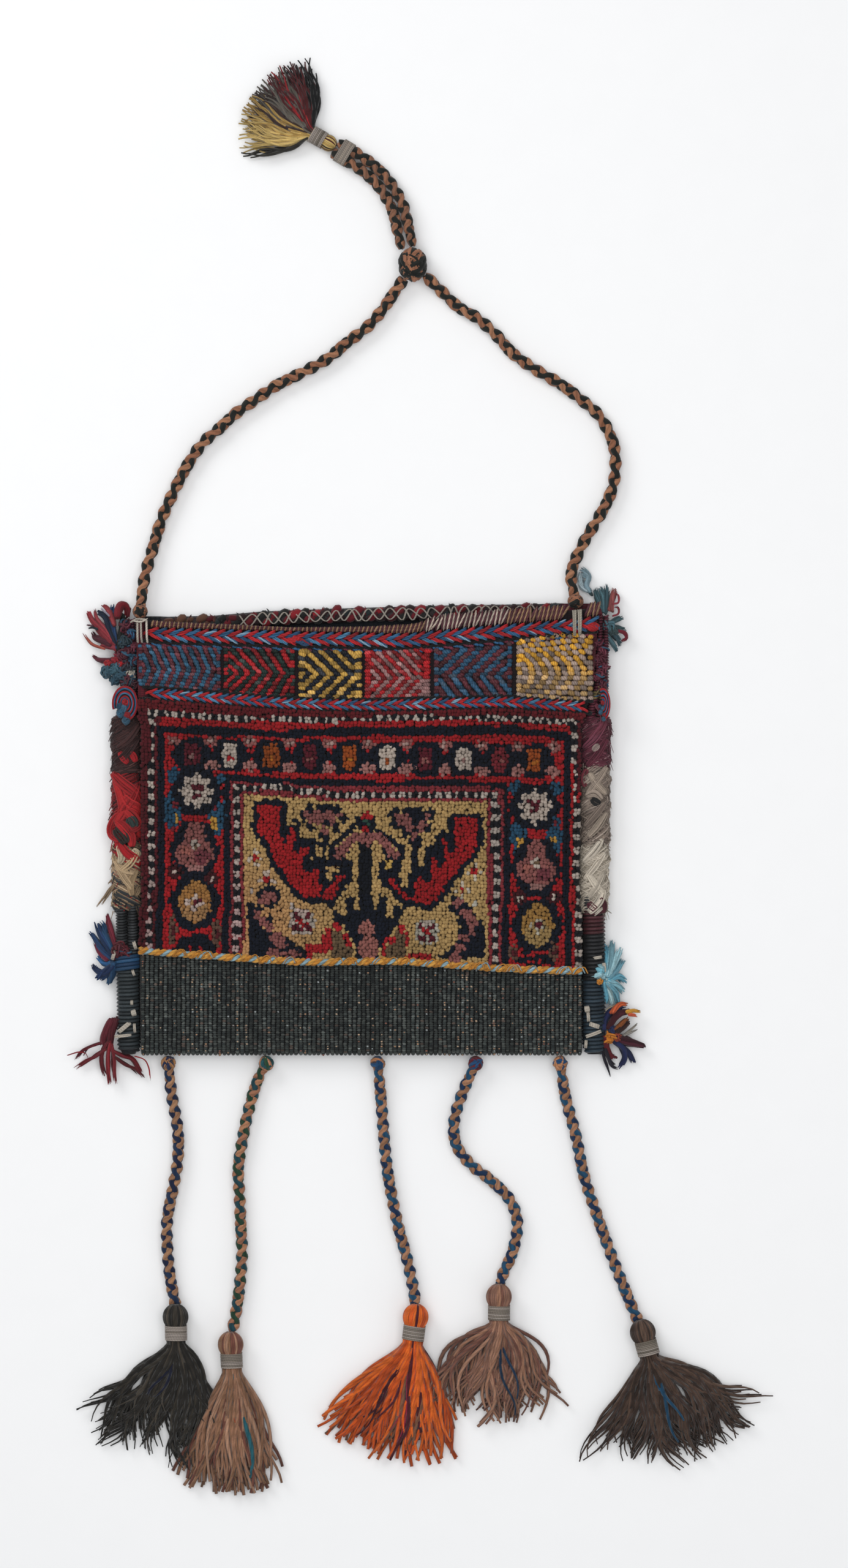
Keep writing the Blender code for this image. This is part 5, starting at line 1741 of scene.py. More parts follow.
    def fold(self, dye: Callable[[np.ndarray, np.ndarray], np.ndarray]) -> None:
        """The turn of the cloth along the bag's bottom."""
        columns = 40
        arc = np.linspace(0, math.pi, 15)
        left, right = LEFT.inner(BOTTOM_PX)[0], RIGHT.inner(BOTTOM_PX)[0]
        x = np.linspace(left, right, columns)
        fold_y, middle = at(0, BOTTOM_PX)[1] + FOLD_DEPTH, FACE_Z / 2
        layers = []
        for depth, half in ((FOLD_DEPTH - 0.0008, middle - 0.0007), (FOLD_DEPTH - 0.003, middle - 0.0028)):
            layer = np.empty((len(arc), columns, 3))
            layer[..., 0] = x
            layer[..., 1] = (fold_y - np.sin(arc) * depth)[:, None]
            layer[..., 2] = (middle + np.cos(arc) * half)[:, None]
            layers.append(layer)
        px, py = pixels(layers[0])
        tints = dye(px.ravel(), py.ravel()).reshape(layers[0].shape)
        cloth = Skein().shell(layers[0], layers[1], tints).piece("fold_ground", GROUND)
        dress(cloth, "bag", "flatweave_wool", "bottom_fold")

    def seam(self) -> None:
        """The gold and pale blue cord over the join."""
        edge = cloth_grid(lambda px: read(SEAM_PX, px), lambda px: read(SEAM_PX, px), 2, 50)[0]
        step, lay_length = 0.0011, 0.0105
        path = resample(edge, step)
        path[:, 2] = TRIM_Z + SEAM_HALF + swell(path[:, 0], path[:, 1])
        _, across, up = frame(path)
        rng = np.random.default_rng(self.seed + 4)
        turn = math.tau * np.arange(len(path)) * step / lay_length
        strands = []
        for start in THIRDS:
            angle = turn + start
            out = 0.00130 + 0.00026 * np.sin(np.arange(len(path)) * 0.31 + start)[:, None]
            strands.append(path + out * (np.cos(angle)[:, None] * across + np.sin(angle)[:, None] * up))
        tints = inks("b87c30", "c08c40", "86a2ac")[:, None] * rng.uniform(0.8, 1.2, (3, len(path), 1))
        plies = Skein().lay(np.array(strands), np.array((0.00138, 0.00130, 0.00112)), tints, 7)
        for px in rng.uniform(235, 940, 44):
            py = float(read(SEAM_PX, px))
            over = [at(px + x, py + y, TRIM_Z + 0.0042) for x, y in ((0, 5), (6, -3), (14, -6), (20, 4))]
            loop = resample(np.array(over), 0.001)
            loop[:, 2] += swell(loop[:, 0], loop[:, 1])
            plies.lay(loop, 0.00042, pick(rng, 1, (("b87c30", 3.0), ("86a2ac", 1.0)), 0.15)[0], 5)
        dress(plies.piece("seam_cord_plies", CORD), "bag", "gold_yarn", "seam_cord")


# The band below the mouth.


@dataclass(frozen=True)
class Patch:
    """One wrapped patch of the band.

    It says where the patch is, how far apart its chains of floats are and how they bend, their
    colours, how wide its edge columns are, and how its floats lean in chains that fall to the
    left and in the others.
    """

    name: str
    left: float
    right: float
    slot: str
    step: float
    bend: Callable[[float, np.ndarray], np.ndarray]
    dye: Callable[[np.ndarray, np.ndarray, np.ndarray], np.ndarray]
    bold: float = 1.0
    edge: float = 8.0
    leans: tuple[float, float] = (0.12, -0.5)


# The numbers that stand for a patch's left and right edge columns, where others count its chains.
EDGE_CHAINS = (-99, -98)


def on_edge(column: np.ndarray) -> np.ndarray:
    """Which chain numbers are those of a patch's two edge columns."""
    return column <= max(EDGE_CHAINS)


def chains(column: np.ndarray, *codes: str) -> np.ndarray:
    """Colours that go from chain to chain by turns."""
    return inks(*codes)[column % len(codes)]


def mixed(py: np.ndarray, column: np.ndarray, first: str, second: str) -> np.ndarray:
    """Two colours by chain, and by turns down the edge columns."""
    number = np.where(on_edge(column), (py / 11).astype(int) + column, column)
    return chains(number, first, second)


def golden(px: np.ndarray, py: np.ndarray, column: np.ndarray) -> np.ndarray:
    """Gold and black chains between short gold bars."""
    bars = np.where((((py - 1063) / 17) % 1 < 0.66)[:, None], ink("b08a40"), ink("10141e"))
    return np.where(on_edge(column)[:, None], bars, chains(column, "b08a40", "10141e"))


def rosy(px: np.ndarray, py: np.ndarray, column: np.ndarray) -> np.ndarray:
    """Grey-pink and red chains, with a red bar over a pink one at the right."""
    bar = np.where((py < 1106)[:, None], ink("a0161c"), ink("8a6664"))
    tints = np.where((px > 684)[:, None], bar, chains(column, "8e6a68", "98181e"))
    return np.where((px < 606)[:, None], ink("98181e"), tints)


def honeyed(px: np.ndarray, py: np.ndarray, column: np.ndarray) -> np.ndarray:
    """Yellow and mauve-grey chains, the yellow turning tan towards the bottom."""
    low = np.clip((py - 1082) / 25, 0, 1)[:, None]
    warm = ink("c8922c") * (1 - low) + ink("b08c58") * low
    number = np.where(on_edge(column), (py / 13).astype(int), column)
    return np.where((number % 2 == 0)[:, None], warm, ink("988478"))


BAND_PATCHES = (
    Patch(
        "band_panel_1", 226, 362, "blue_burgundy_wool", 8.1,
        lambda px, py: 15 * (1 - np.abs(py - 1093) / 33),
        lambda px, py, column: mixed(py, column, "2e5872", "5e2a32"), 0.9, 7.0, (-0.2, -0.6),
    ),
    Patch(
        "band_panel_2", 365, 483, "red_green_wool", 9.2,
        lambda px, py: -(1.3 - 0.8 * (px - 368) / 113) * np.abs(py - 1099),
        lambda px, py, column: mixed(py, column, "98181e", "182a26"),
    ),
    Patch(
        "band_panel_3", 487, 592, "gold_black_wool", 11.6,
        lambda px, py: -1.0 * np.abs(py - 1101), golden, 1.2, 12.0,
    ),
    Patch(
        "band_panel_4", 595, 704, "red_pink_wool", 9.5,
        lambda px, py: -0.95 * np.abs(py - 1107), rosy, 1.0, 11.0,
    ),
    Patch(
        "band_panel_5", 708, 837, "blue_burgundy_wool", 12.2,
        lambda px, py: np.where(py < 1104, 1.02, 0.75) * np.abs(py - 1104),
        lambda px, py, column: mixed(py, column, "274c66", "522229"), 1.1,
    ),
    Patch(
        "band_panel_6", 842, 969, "yellow_grey_wool", 10.6, lambda px, py: -0.02 * (py - 1100) ** 2,
        honeyed, 1.15, 9.0, (-0.1, -0.5),
    ),
)


@dataclass
class Band:
    """The band: its ground, patches, braids, hem and edging yarns."""

    shapes: Shapes
    seed: int = 31

    def build(self) -> None:
        """Makes all of it."""
        pieces = [self.patch(patch) for patch in BAND_PATCHES]
        pieces.append(self.floats())
        pieces.append(self.flat_braid("upper_braid", UPPER_BRAID_PX, UPPER_BRAID_WIDTH, 0.0038, (234, 978)))
        pieces.append(self.flat_braid("lower_braid", LOWER_BRAID_PX, LOWER_BRAID_WIDTH, 0.0032, (238, 962)))
        pieces.append(self.edgings())
        pieces.append(self.hem())

        def bottom(px: np.ndarray) -> np.ndarray:
            """The lower braid's lower edge."""
            return read(LOWER_BRAID_PX, px) + LOWER_BRAID_WIDTH / 2 / PIXEL

        grid = cloth_grid(hem_top, bottom, 24, 90)

        def dye(px: np.ndarray, py: np.ndarray) -> np.ndarray:
            """Burgundy beside the selvedges, near black between them."""
            sides = (px < 235) | (px > 969)
            return np.where(sides[:, None], ink("561822"), ink("1c1216"))

        ground = lay_cloth("band_ground", "band_facing", "burgundy_wool", grid, FRONT_Z, FACE_Z, dye)

    def patch(self, patch: Patch) -> bpy.types.Object:
        """One patch of raised floats."""
        rng = np.random.default_rng(self.seed + int(patch.left))
        columns = np.arange(-14, 30)
        base = patch.left + patch.step * (columns + 0.5)
        edges = np.array((patch.left + patch.edge / 2 + 1, patch.right - patch.edge / 2 - 1))
        base, numbers = np.concatenate([base, edges]), np.concatenate([columns, EDGE_CHAINS])
        places, chain, leans = [], [], []
        rows = 13
        for share in np.linspace(0, 1, rows):
            top = read(UPPER_BRAID_PX, base) + (UPPER_BRAID_WIDTH / 2) / PIXEL + 10
            bottom = read(LOWER_BRAID_PX, base) - (LOWER_BRAID_WIDTH / 2) / PIXEL - 5.5
            py = top + (bottom - top) * share
            side = on_edge(numbers)
            px = base + np.where(side, 0.0, patch.bend(base, py))
            drift = np.where(side, 0.0, patch.bend(base, py + 2) - patch.bend(base, py - 2))
            inside = (px > patch.left + patch.edge) & (px < patch.right - patch.edge)
            kept = inside | side
            places.append(np.column_stack([px, py])[kept])
            chain.append(numbers[kept])
            leans.append(np.where(side, 0.0, np.where(drift < -0.5, patch.leans[0], patch.leans[1]))[kept])
        (px, py), chain, leans = np.concatenate(places).T, np.concatenate(chain), np.concatenate(leans)
        count = len(px)
        tints = patch.dye(px, py, chain) * rng.uniform(0.36, 1.36, (count, 1))
        # One float in ten is lightened towards pale: a painted highlight for the floats' lustre.
        painted_highlight = (rng.uniform(0, 1, (count, 1)) < 0.10) * rng.uniform(0.15, 0.4, (count, 1))
        tints = tints * (1 - painted_highlight) + (0.10 + 1.9 * tints) * painted_highlight
        px, py = px + rng.normal(0, 0.5, count), py + rng.normal(0, 0.4, count)
        x, y = metres(px, py)
        z = TRIM_Z + 0.0003 * patch.bold + swell(x, y) + rng.uniform(0, 0.0004, count)
        half = np.where(on_edge(chain), patch.edge * 0.55, patch.step * 0.62) * PIXEL
        sizes = np.column_stack(
            [half, np.full(count, 0.00142 * patch.bold), np.full(count, 0.0012 * patch.bold)]
        )
        turns = np.stack([np.zeros(count), rng.normal(0, 0.08, count), rng.normal(leans, 0.2)], axis=1)
        laid = Laying(self.shapes.strand, FLOAT, self.seed).piece(
            patch.name + "_floats", np.column_stack([x, y, z]), turns, sizes, tints
        )
        return dress(laid, "bag", patch.slot, patch.name)

    def floats(self) -> bpy.types.Object:
        """The row of blue and burgundy floats under the upper braid."""
        rng = np.random.default_rng(self.seed)
        px = np.arange(236, 972, 8.2)
        py = read(UPPER_BRAID_PX, px) + (UPPER_BRAID_WIDTH / 2) / PIXEL + 6.5
        py = py + np.where(np.arange(len(px)) % 2, 1.2, -1.2)
        tints = np.where((np.arange(len(px)) // 2 % 2 == 0)[:, None], ink("6c2c3c"), ink("2f5f86"))
        tints = tints * rng.uniform(0.75, 1.15, (len(px), 1))
        x, y = metres(px, py)
        places = np.column_stack([x, y, TRIM_Z + 0.0003 + swell(x, y)])
        turns = np.column_stack([0 * px, 0 * px, rng.normal(-0.35, 0.15, len(px))])
        laid = Laying(self.shapes.strand, FLOAT, self.seed).piece(
            "band_row_floats", places, turns, np.array((0.0019, 0.00105, 0.0009)), tints
        )
        return dress(laid, "bag", "blue_burgundy_wool")

    def flat_braid(
        self,
        node: str,
        table: Sequence[tuple[float, float]],
        width: float,
        height: float,
        ends: tuple[float, float],
    ) -> bpy.types.Object:
        """A flat braid of red and blue strands in two rows that meet along its middle.

        Args:
            node: the CAD node that it stands for.
            table: the row that it lies along.
            width: its width.
            height: its height.
            ends: where it starts and ends, across.

        Returns:
            The piece.
        """
        rng = np.random.default_rng(self.seed + int(width * 1e5))
        step = 0.001
        path = resample(along_row(table, np.linspace(*ends, 40)), step)
        reach = np.arange(len(path)) * step
        pitch = width * 0.62
        spots = np.arange(0, reach[-1] - width, pitch)
        t = np.linspace(0, 1, 10)
        skein = Skein()
        for side in (1, -1):
            count = len(spots)
            far = spots[:, None] + (0.5 * (side < 0)) * pitch + width * 1.22 * t
            line = places_on(path, reach, far)
            line[..., 1] += side * width * (0.50 * t - 0.04 + rng.normal(0, 0.015, (count, 1)))
            crown = np.sin(math.pi * (0.10 + 0.72 * t))
            line[..., 2] = TRIM_Z + height * (0.12 + 0.56 * crown) + swell(line[..., 0], line[..., 1])
            line[..., 2] += rng.uniform(-0.0001, 0.0002, (count, 1))
            red = np.arange(count) % 2 == 0
            blues = pick(rng, count, (("2c587c", 3.0), ("24486a", 2.0), ("46789a", 1.0)), 0.12)
            reds = pick(rng, count, (("a81e24", 3.0), ("8c181e", 1.2)), 0.12)
            strand = np.where(red[:, None], reds, blues)
            for start in THIRDS:
                angle = start + 0.8 * side + rng.uniform(0, 0.6, (count, 1)) + 3.6 * t
                yarn = line.copy()
                yarn[..., 1] += width * 0.082 * np.cos(angle)
                yarn[..., 2] += width * 0.062 * np.sin(angle)
                radii = width * 0.076 * (0.35 + 0.65 * np.sin(math.pi * t) ** 0.4)
                light = rng.uniform(0.75, 1.25, (count, 1))
                pale = (rng.uniform(0, 1, count) < 0.10)[:, None] & ~red[:, None]
                tints = np.where(pale, ink("7f9fb4"), strand * light)
                skein.lay(yarn, np.broadcast_to(radii, (count, len(t))), tints, 6)
        if node == "upper_braid":
            for px, py, half, code in (
                (480, 1044, 8.0, "a01c22"), (499, 1050, 6.5, "24405e"), (968, 1024, 8.0, "a01c22"),
            ):
                wide = half * PIXEL
                spot = at(px, py, TRIM_Z + height * 0.6) + (0, 0, float(swell(*at(px, py)[:2])))
                halves = (wide * 1.5, wide, wide * 0.6)
                ball(skein, spot, halves, wide * 0.3, ((code, 1.0),), self.seed + px, 9)
        return dress(skein.piece(node + "_strands", BRAIDED), "bag", "red_blue_braid", node)

    def edgings(self) -> bpy.types.Object:
        """The black yarns that run along the braids."""
        skein = Skein()
        step, lay_length, apart, radius = 0.0014, 0.0075, 0.00062, 0.00082
        for table, shift, ends in (
            (UPPER_BRAID_PX, UPPER_BRAID_WIDTH / 2 / PIXEL + 1.8, (233, 975)),
            (LOWER_BRAID_PX, -LOWER_BRAID_WIDTH / 2 / PIXEL - 1.6, (234, 968)),
            (LOWER_BRAID_PX, LOWER_BRAID_WIDTH / 2 / PIXEL + 1.2, (234, 966)),
        ):
            path = resample(along_row(table, np.linspace(*ends, 40), shift=shift), step)
            path[:, 2] = TRIM_Z + 0.0007 + swell(path[:, 0], path[:, 1])
            _, across, up = frame(path)
            turn = math.tau * np.arange(len(path)) * step / lay_length
            for start in (0.0, math.pi):
                around = np.cos(turn + start)[:, None] * across + np.sin(turn + start)[:, None] * up
                skein.lay(path + around * apart, radius, ink("121214"), 6)
        return dress(skein.piece("band_edging_yarns", CORD), "bag", "red_blue_braid")

    def hem(self) -> bpy.types.Object:
        """The ridge of fine slanted stitches along the front's upper edge."""
        rng = np.random.default_rng(self.seed + 9)
        px = np.concatenate([np.arange(250, 925, 3.5), np.arange(959, 980, 3.5)])
        share = read(HEM_WIDTH_SHARES, px)
        fuller = 1 + 0.45 * np.clip((px - 680) / 30, 0, 1)
        py = hem_top(px) + HEM_WIDTH * share / 2 / PIXEL - 4.5 * (fuller - 1) / 0.45
        x, y = metres(px, py)
        z = TRIM_Z + 0.0011 + swell(x, y)
        count = len(px)
        pale = np.arange(count) % 2 == 0
        tints = np.where(pale[:, None], ink("86684e"), ink("48202a"))
        flecked = (px > 692) & (px < 830) & pale
        tints = np.where(flecked[:, None], ink("a8988a"), tints) * rng.uniform(0.75, 1.25, (count, 1))
        sizes = np.column_stack(
            [HEM_WIDTH * share * 0.62 * fuller, np.full(count, 0.0008), 0.0008 + 0.0006 * share]
        )
        turns = np.column_stack([0 * x, 0 * x, math.radians(72) + rng.normal(0, 0.12, count)])
        laid = Laying(self.shapes.strand, FLOAT, self.seed, 0.05, 0.02).piece(
            "front_hem_stitches", np.column_stack([x, y, z]), turns, sizes, tints
        )
        return dress(laid, "bag", "tan_burgundy_wool", "front_hem")


@dataclass
class Rim:
    """The back's rolled edge, its lumps of wool and its zigzag thread."""

    shapes: Shapes
    width: float = 0.009
    seed: int = 51

    def build(self) -> None:
        """Makes all of it."""
        rng = np.random.default_rng(self.seed)
        path = resample(along_row(RIM_TOP_PX, np.linspace(262, 916, 60), 0.0044) - (0, 0.0045, 0), 0.003)
        core = Skein().lay(path, self.width / 2 * 0.9, ink("1e0e12"), 12, 0.36)
        dress(core.piece("rim_roll_core", WRAPPING), "bag", "burgundy_wool", "rim_roll")
        spots = np.arange(268, 914, 8.5)
        row = np.where(np.arange(len(spots)) % 2, 1.0, -1.0)
        lumps = along_row(RIM_TOP_PX, spots + rng.normal(0, 1.2, len(spots)), 0.0050)
        lumps[:, 1] += -self.width / 2 + row * self.width * 0.2 + rng.normal(0.0003, 0.0004, len(spots))
        count = len(spots)
        number = (np.arange(count) // 2) % 2 == 0
        reds = pick(rng, count, (("5c161e", 3.0), ("7c1a22", 1.5), ("481218", 1.0)), 0.15)
        darks = pick(rng, count, (("1c1c1b", 3.0), ("2a1a1c", 1.0), ("20282a", 1.0)), 0.15)
        tints = np.where(number[:, None], reds, darks)
        brown = pick(rng, count, (("4a2e24", 2.0), ("3a1c1a", 1.0), ("54382a", 1.0)), 0.15)
        tints = np.where((spots < 340)[:, None], brown, tints)
        turns = np.column_stack([np.zeros(count), np.zeros(count), rng.normal(0.6, 0.25, count)])
        sizes = np.tile((0.0036, 0.0024, 0.0023), (count, 1)) * rng.uniform(0.85, 1.2, (count, 1))
        laying = Laying(self.shapes.strand, BEAD, self.seed, 0.12, 0.1)
        laid = laying.piece("rim_lumps", lumps, turns, sizes, tints)
        dress(laid, "bag", "burgundy_wool", "rim_roll")
        skein = Skein()
        for way in (1.0, -1.0):
            spots = np.arange(392, 896, 17.5) + rng.normal(0, 2.8, 29)
            corners = along_row(RIM_TOP_PX, spots, 0.0080)
            ups = np.where(np.arange(len(spots)) % 2, way, -way)
            corners[:, 1] += -self.width / 2 + ups * rng.uniform(0.0030, 0.0040, len(spots))
            corners[:, 2] += np.where(ups > 0, -0.0010, 0.0) + rng.uniform(0, 0.0006, len(spots))
            for shift in (-0.00022, 0.00022):
                skein.lay(resample(corners + (shift, 0, 0), 0.0011), 0.00028, ink("968e84"), 6)
        dress(skein.piece("rim_zigzag_thread", THREAD), "bag", "white_thread", "rim_stitching")
        wisps = Skein()
        for px in rng.uniform(285, 900, 34):
            top = float(read(RIM_TOP_PX, px))
            turn = rng.uniform(-1, 1)
            code = str(rng.choice(("2a2c2c", "5c161e", "4a2c22", "3a1418")))
            route = ((px, top + 12), (px + 3 * turn, top + 3), (px + 8 * turn, top - 4 * abs(turn)))
            lock(wisps, route, rng.uniform(1.6, 3.0), code, (0.0070, 0.0052), rng, 4, 0.8)
        dress(wisps.piece("rim_wisps", HAIR), "bag", "burgundy_wool", "rim_roll")


# The sides: selvedges, wraps, stitches, tufts and lashings.


def wind(
    skein: Skein,
    path: np.ndarray,
    halves: np.ndarray,
    thread: float,
    pitch: float,
    dye: Callable[[np.ndarray], np.ndarray],
    rng: np.random.Generator,
) -> Skein:
    """Winds thread closely round an oval core that follows a line down the photograph.

    Args:
        skein: what gathers it.
        path: the core's middle line.
        halves: the core's half width and half height at each point of the path.
        thread: the thread's radius.
        pitch: the length from one turn to the next.
        dye: gives the colours of places down the photograph.
        rng: where the chances come from.

    Returns:
        The same skein.
    """
    steps = 12
    reach = reach_along(path)
    turns = int(reach[-1] / pitch)
    t = np.arange(turns * steps + 1) / steps
    spots = t * pitch
    line = places_on(path, reach, spots)
    wide, tall = (places_on(halves, reach, spots) - thread * 0.6).T
    angle = math.tau * t
    line[:, 0] += np.cos(angle) * wide
    line[:, 2] += np.sin(angle) * tall
    line[:, 1] += 0.0004 * np.cos(angle) ** 2
    number = np.minimum(t.astype(int), turns - 1)
    light = rng.uniform(0.6, 1.45, turns)[number]
    tints = dye(pixels(line)[1]) * light[:, None]
    skein.lay(line, thread, tints[None], 4)
    # The core under the thread is near black: painted shade in the gaps between the turns.
    core = path.copy()
    flatness = halves[:, 1] / halves[:, 0]
    return skein.lay(core, halves[:, 0] - thread * 1.1, ink("121316"), 12, flatness)


def between(stops: Sequence[tuple[float, str]]) -> Callable[[np.ndarray], np.ndarray]:
    """Colours that change at places down the photograph, each from its stop on."""
    table, edges = inks(*[code for _, code in stops]), np.array([py for py, _ in stops])

    def dye(py: np.ndarray) -> np.ndarray:
        """The colour of the last stop above each place."""
        return table[np.clip(np.searchsorted(edges, py, side="right") - 1, 0, len(table) - 1)]

    return dye


def lock(
    skein: Skein,
    route: Sequence[tuple[float, float]],
    half: float,
    code: str,
    heights: tuple[float, float],
    rng: np.random.Generator,
    strands: int = 8,
    fray: float = 0.35,
    light: float = 1.0,
) -> Skein:
    """A soft, thick yarn of fine ones, spreading a little towards its end.

    Args:
        skein: what gathers it.
        route: its places in the photograph.
        half: half its width, in pixels.
        code: its colour.
        heights: the height of its start and its end.
        rng: where the chances come from.
        strands: how many fine yarns it has.
        fray: how far its end spreads, as a share.
        light: how light it is, as a share of its colour.

    Returns:
        The same skein.
    """
    wide = half * PIXEL
    shares = np.linspace(0, 1, len(route))
    low = max(heights[1], GAP + wide)
    z = np.interp(shares, (0, 0.7, 1), (heights[0], low, low))
    places = np.array([at(*place, height) for place, height in zip(route, z)])
    path = resample(places, max(0.0014, wide * 0.55))
    _, across, up = frame(path)
    t = np.linspace(0, 1, len(path))
    turn = rng.uniform(0, math.tau, strands)
    out = np.sqrt(rng.uniform(0.05, 1, strands)) * 0.66
    fine = wide * (0.52 if strands < 10 else 0.34)
    paths = []
    for number in range(strands):
        angle = turn[number] + (1.8 + 0.4 * rng.normal()) * t
        far = wide * out[number] * (0.8 + fray * t**2)
        offset = np.cos(angle) * far
        paths.append(path + offset[:, None] * across + (np.sin(angle) * far * 0.9)[:, None] * up)
    shares = rng.uniform(0.8, 1.0, strands)
    paths = np.array([places_on(line, t, t * share) for line, share in zip(paths, shares)])
    paths[..., 2] = np.maximum(paths[..., 2], GAP + fine * 0.6)
    taper = np.clip(np.minimum(0.5 + 4 * t, 0.25 + 2.4 * (1 - t)), 0, 1)
    radii = fine * taper * rng.uniform(0.8, 1.2, (strands, 1))
    tints = ink(code) * light * rng.uniform(0.6, 1.3, (strands, 1))
    return skein.lay(paths, radii, tints, 5)


@dataclass(frozen=True)
class Tuft:
    """A tuft at the bag's side: its soft yarns, from the lowest to the highest, and its lumps.

    Each yarn is its half width, its colour and its route. Each lump is its place, half width and colour.
    """

    node: str
    slot: str
    seed: int
    yarns: Sequence[tuple[float, str, Sequence[tuple[float, float]]]]
    lumps: Sequence[tuple[float, float, float, str]] = ()
    root_z: float = 0.0069
    depth: float = 0.0048
    strands: int = 8
    fray: float = 0.35

    def build(self) -> None:
        """Makes the tuft."""
        rng = np.random.default_rng(self.seed)
        skein = Skein()
        for number, (half, code, route) in enumerate(self.yarns):
            level = 0.0022 + self.depth * number / max(len(self.yarns) - 1, 1)
            # Thick yarns get two extra copies, laid lower and darker: painted shade under the tuft's top
            # yarns.
            for copy in range(3 if half > 3 else 1):
                shift = rng.normal(0, 1.0 if copy == 0 else 0.42 * half, (len(route), 2)) * (copy > 0)
                near = 1 - 0.12 * copy * rng.uniform(0, 1)
                start = np.array(route[0])
                places = start + (np.array(route) - start) * near + shift
                heights = (self.root_z + level * 0.35 - 0.0007 * copy, level - 0.0007 * copy)
                width, light = half * (1 - 0.25 * (copy > 0)), 1 - 0.2 * copy
                lock(skein, places, width, code, heights, rng, self.strands, self.fray, light)
        for number, (px, py, half, code) in enumerate(self.lumps):
            wide = half * PIXEL
            centre = at(px, py, self.root_z + 0.0012)
            seed = self.seed + 1 + number
            ball(skein, centre, (wide * 1.1,) * 3, wide * 0.22, ((code, 1.0),), seed, 17, 0.42)
        dress(skein.piece(self.node + "_yarns", HAIR), "bag", self.slot, self.node)


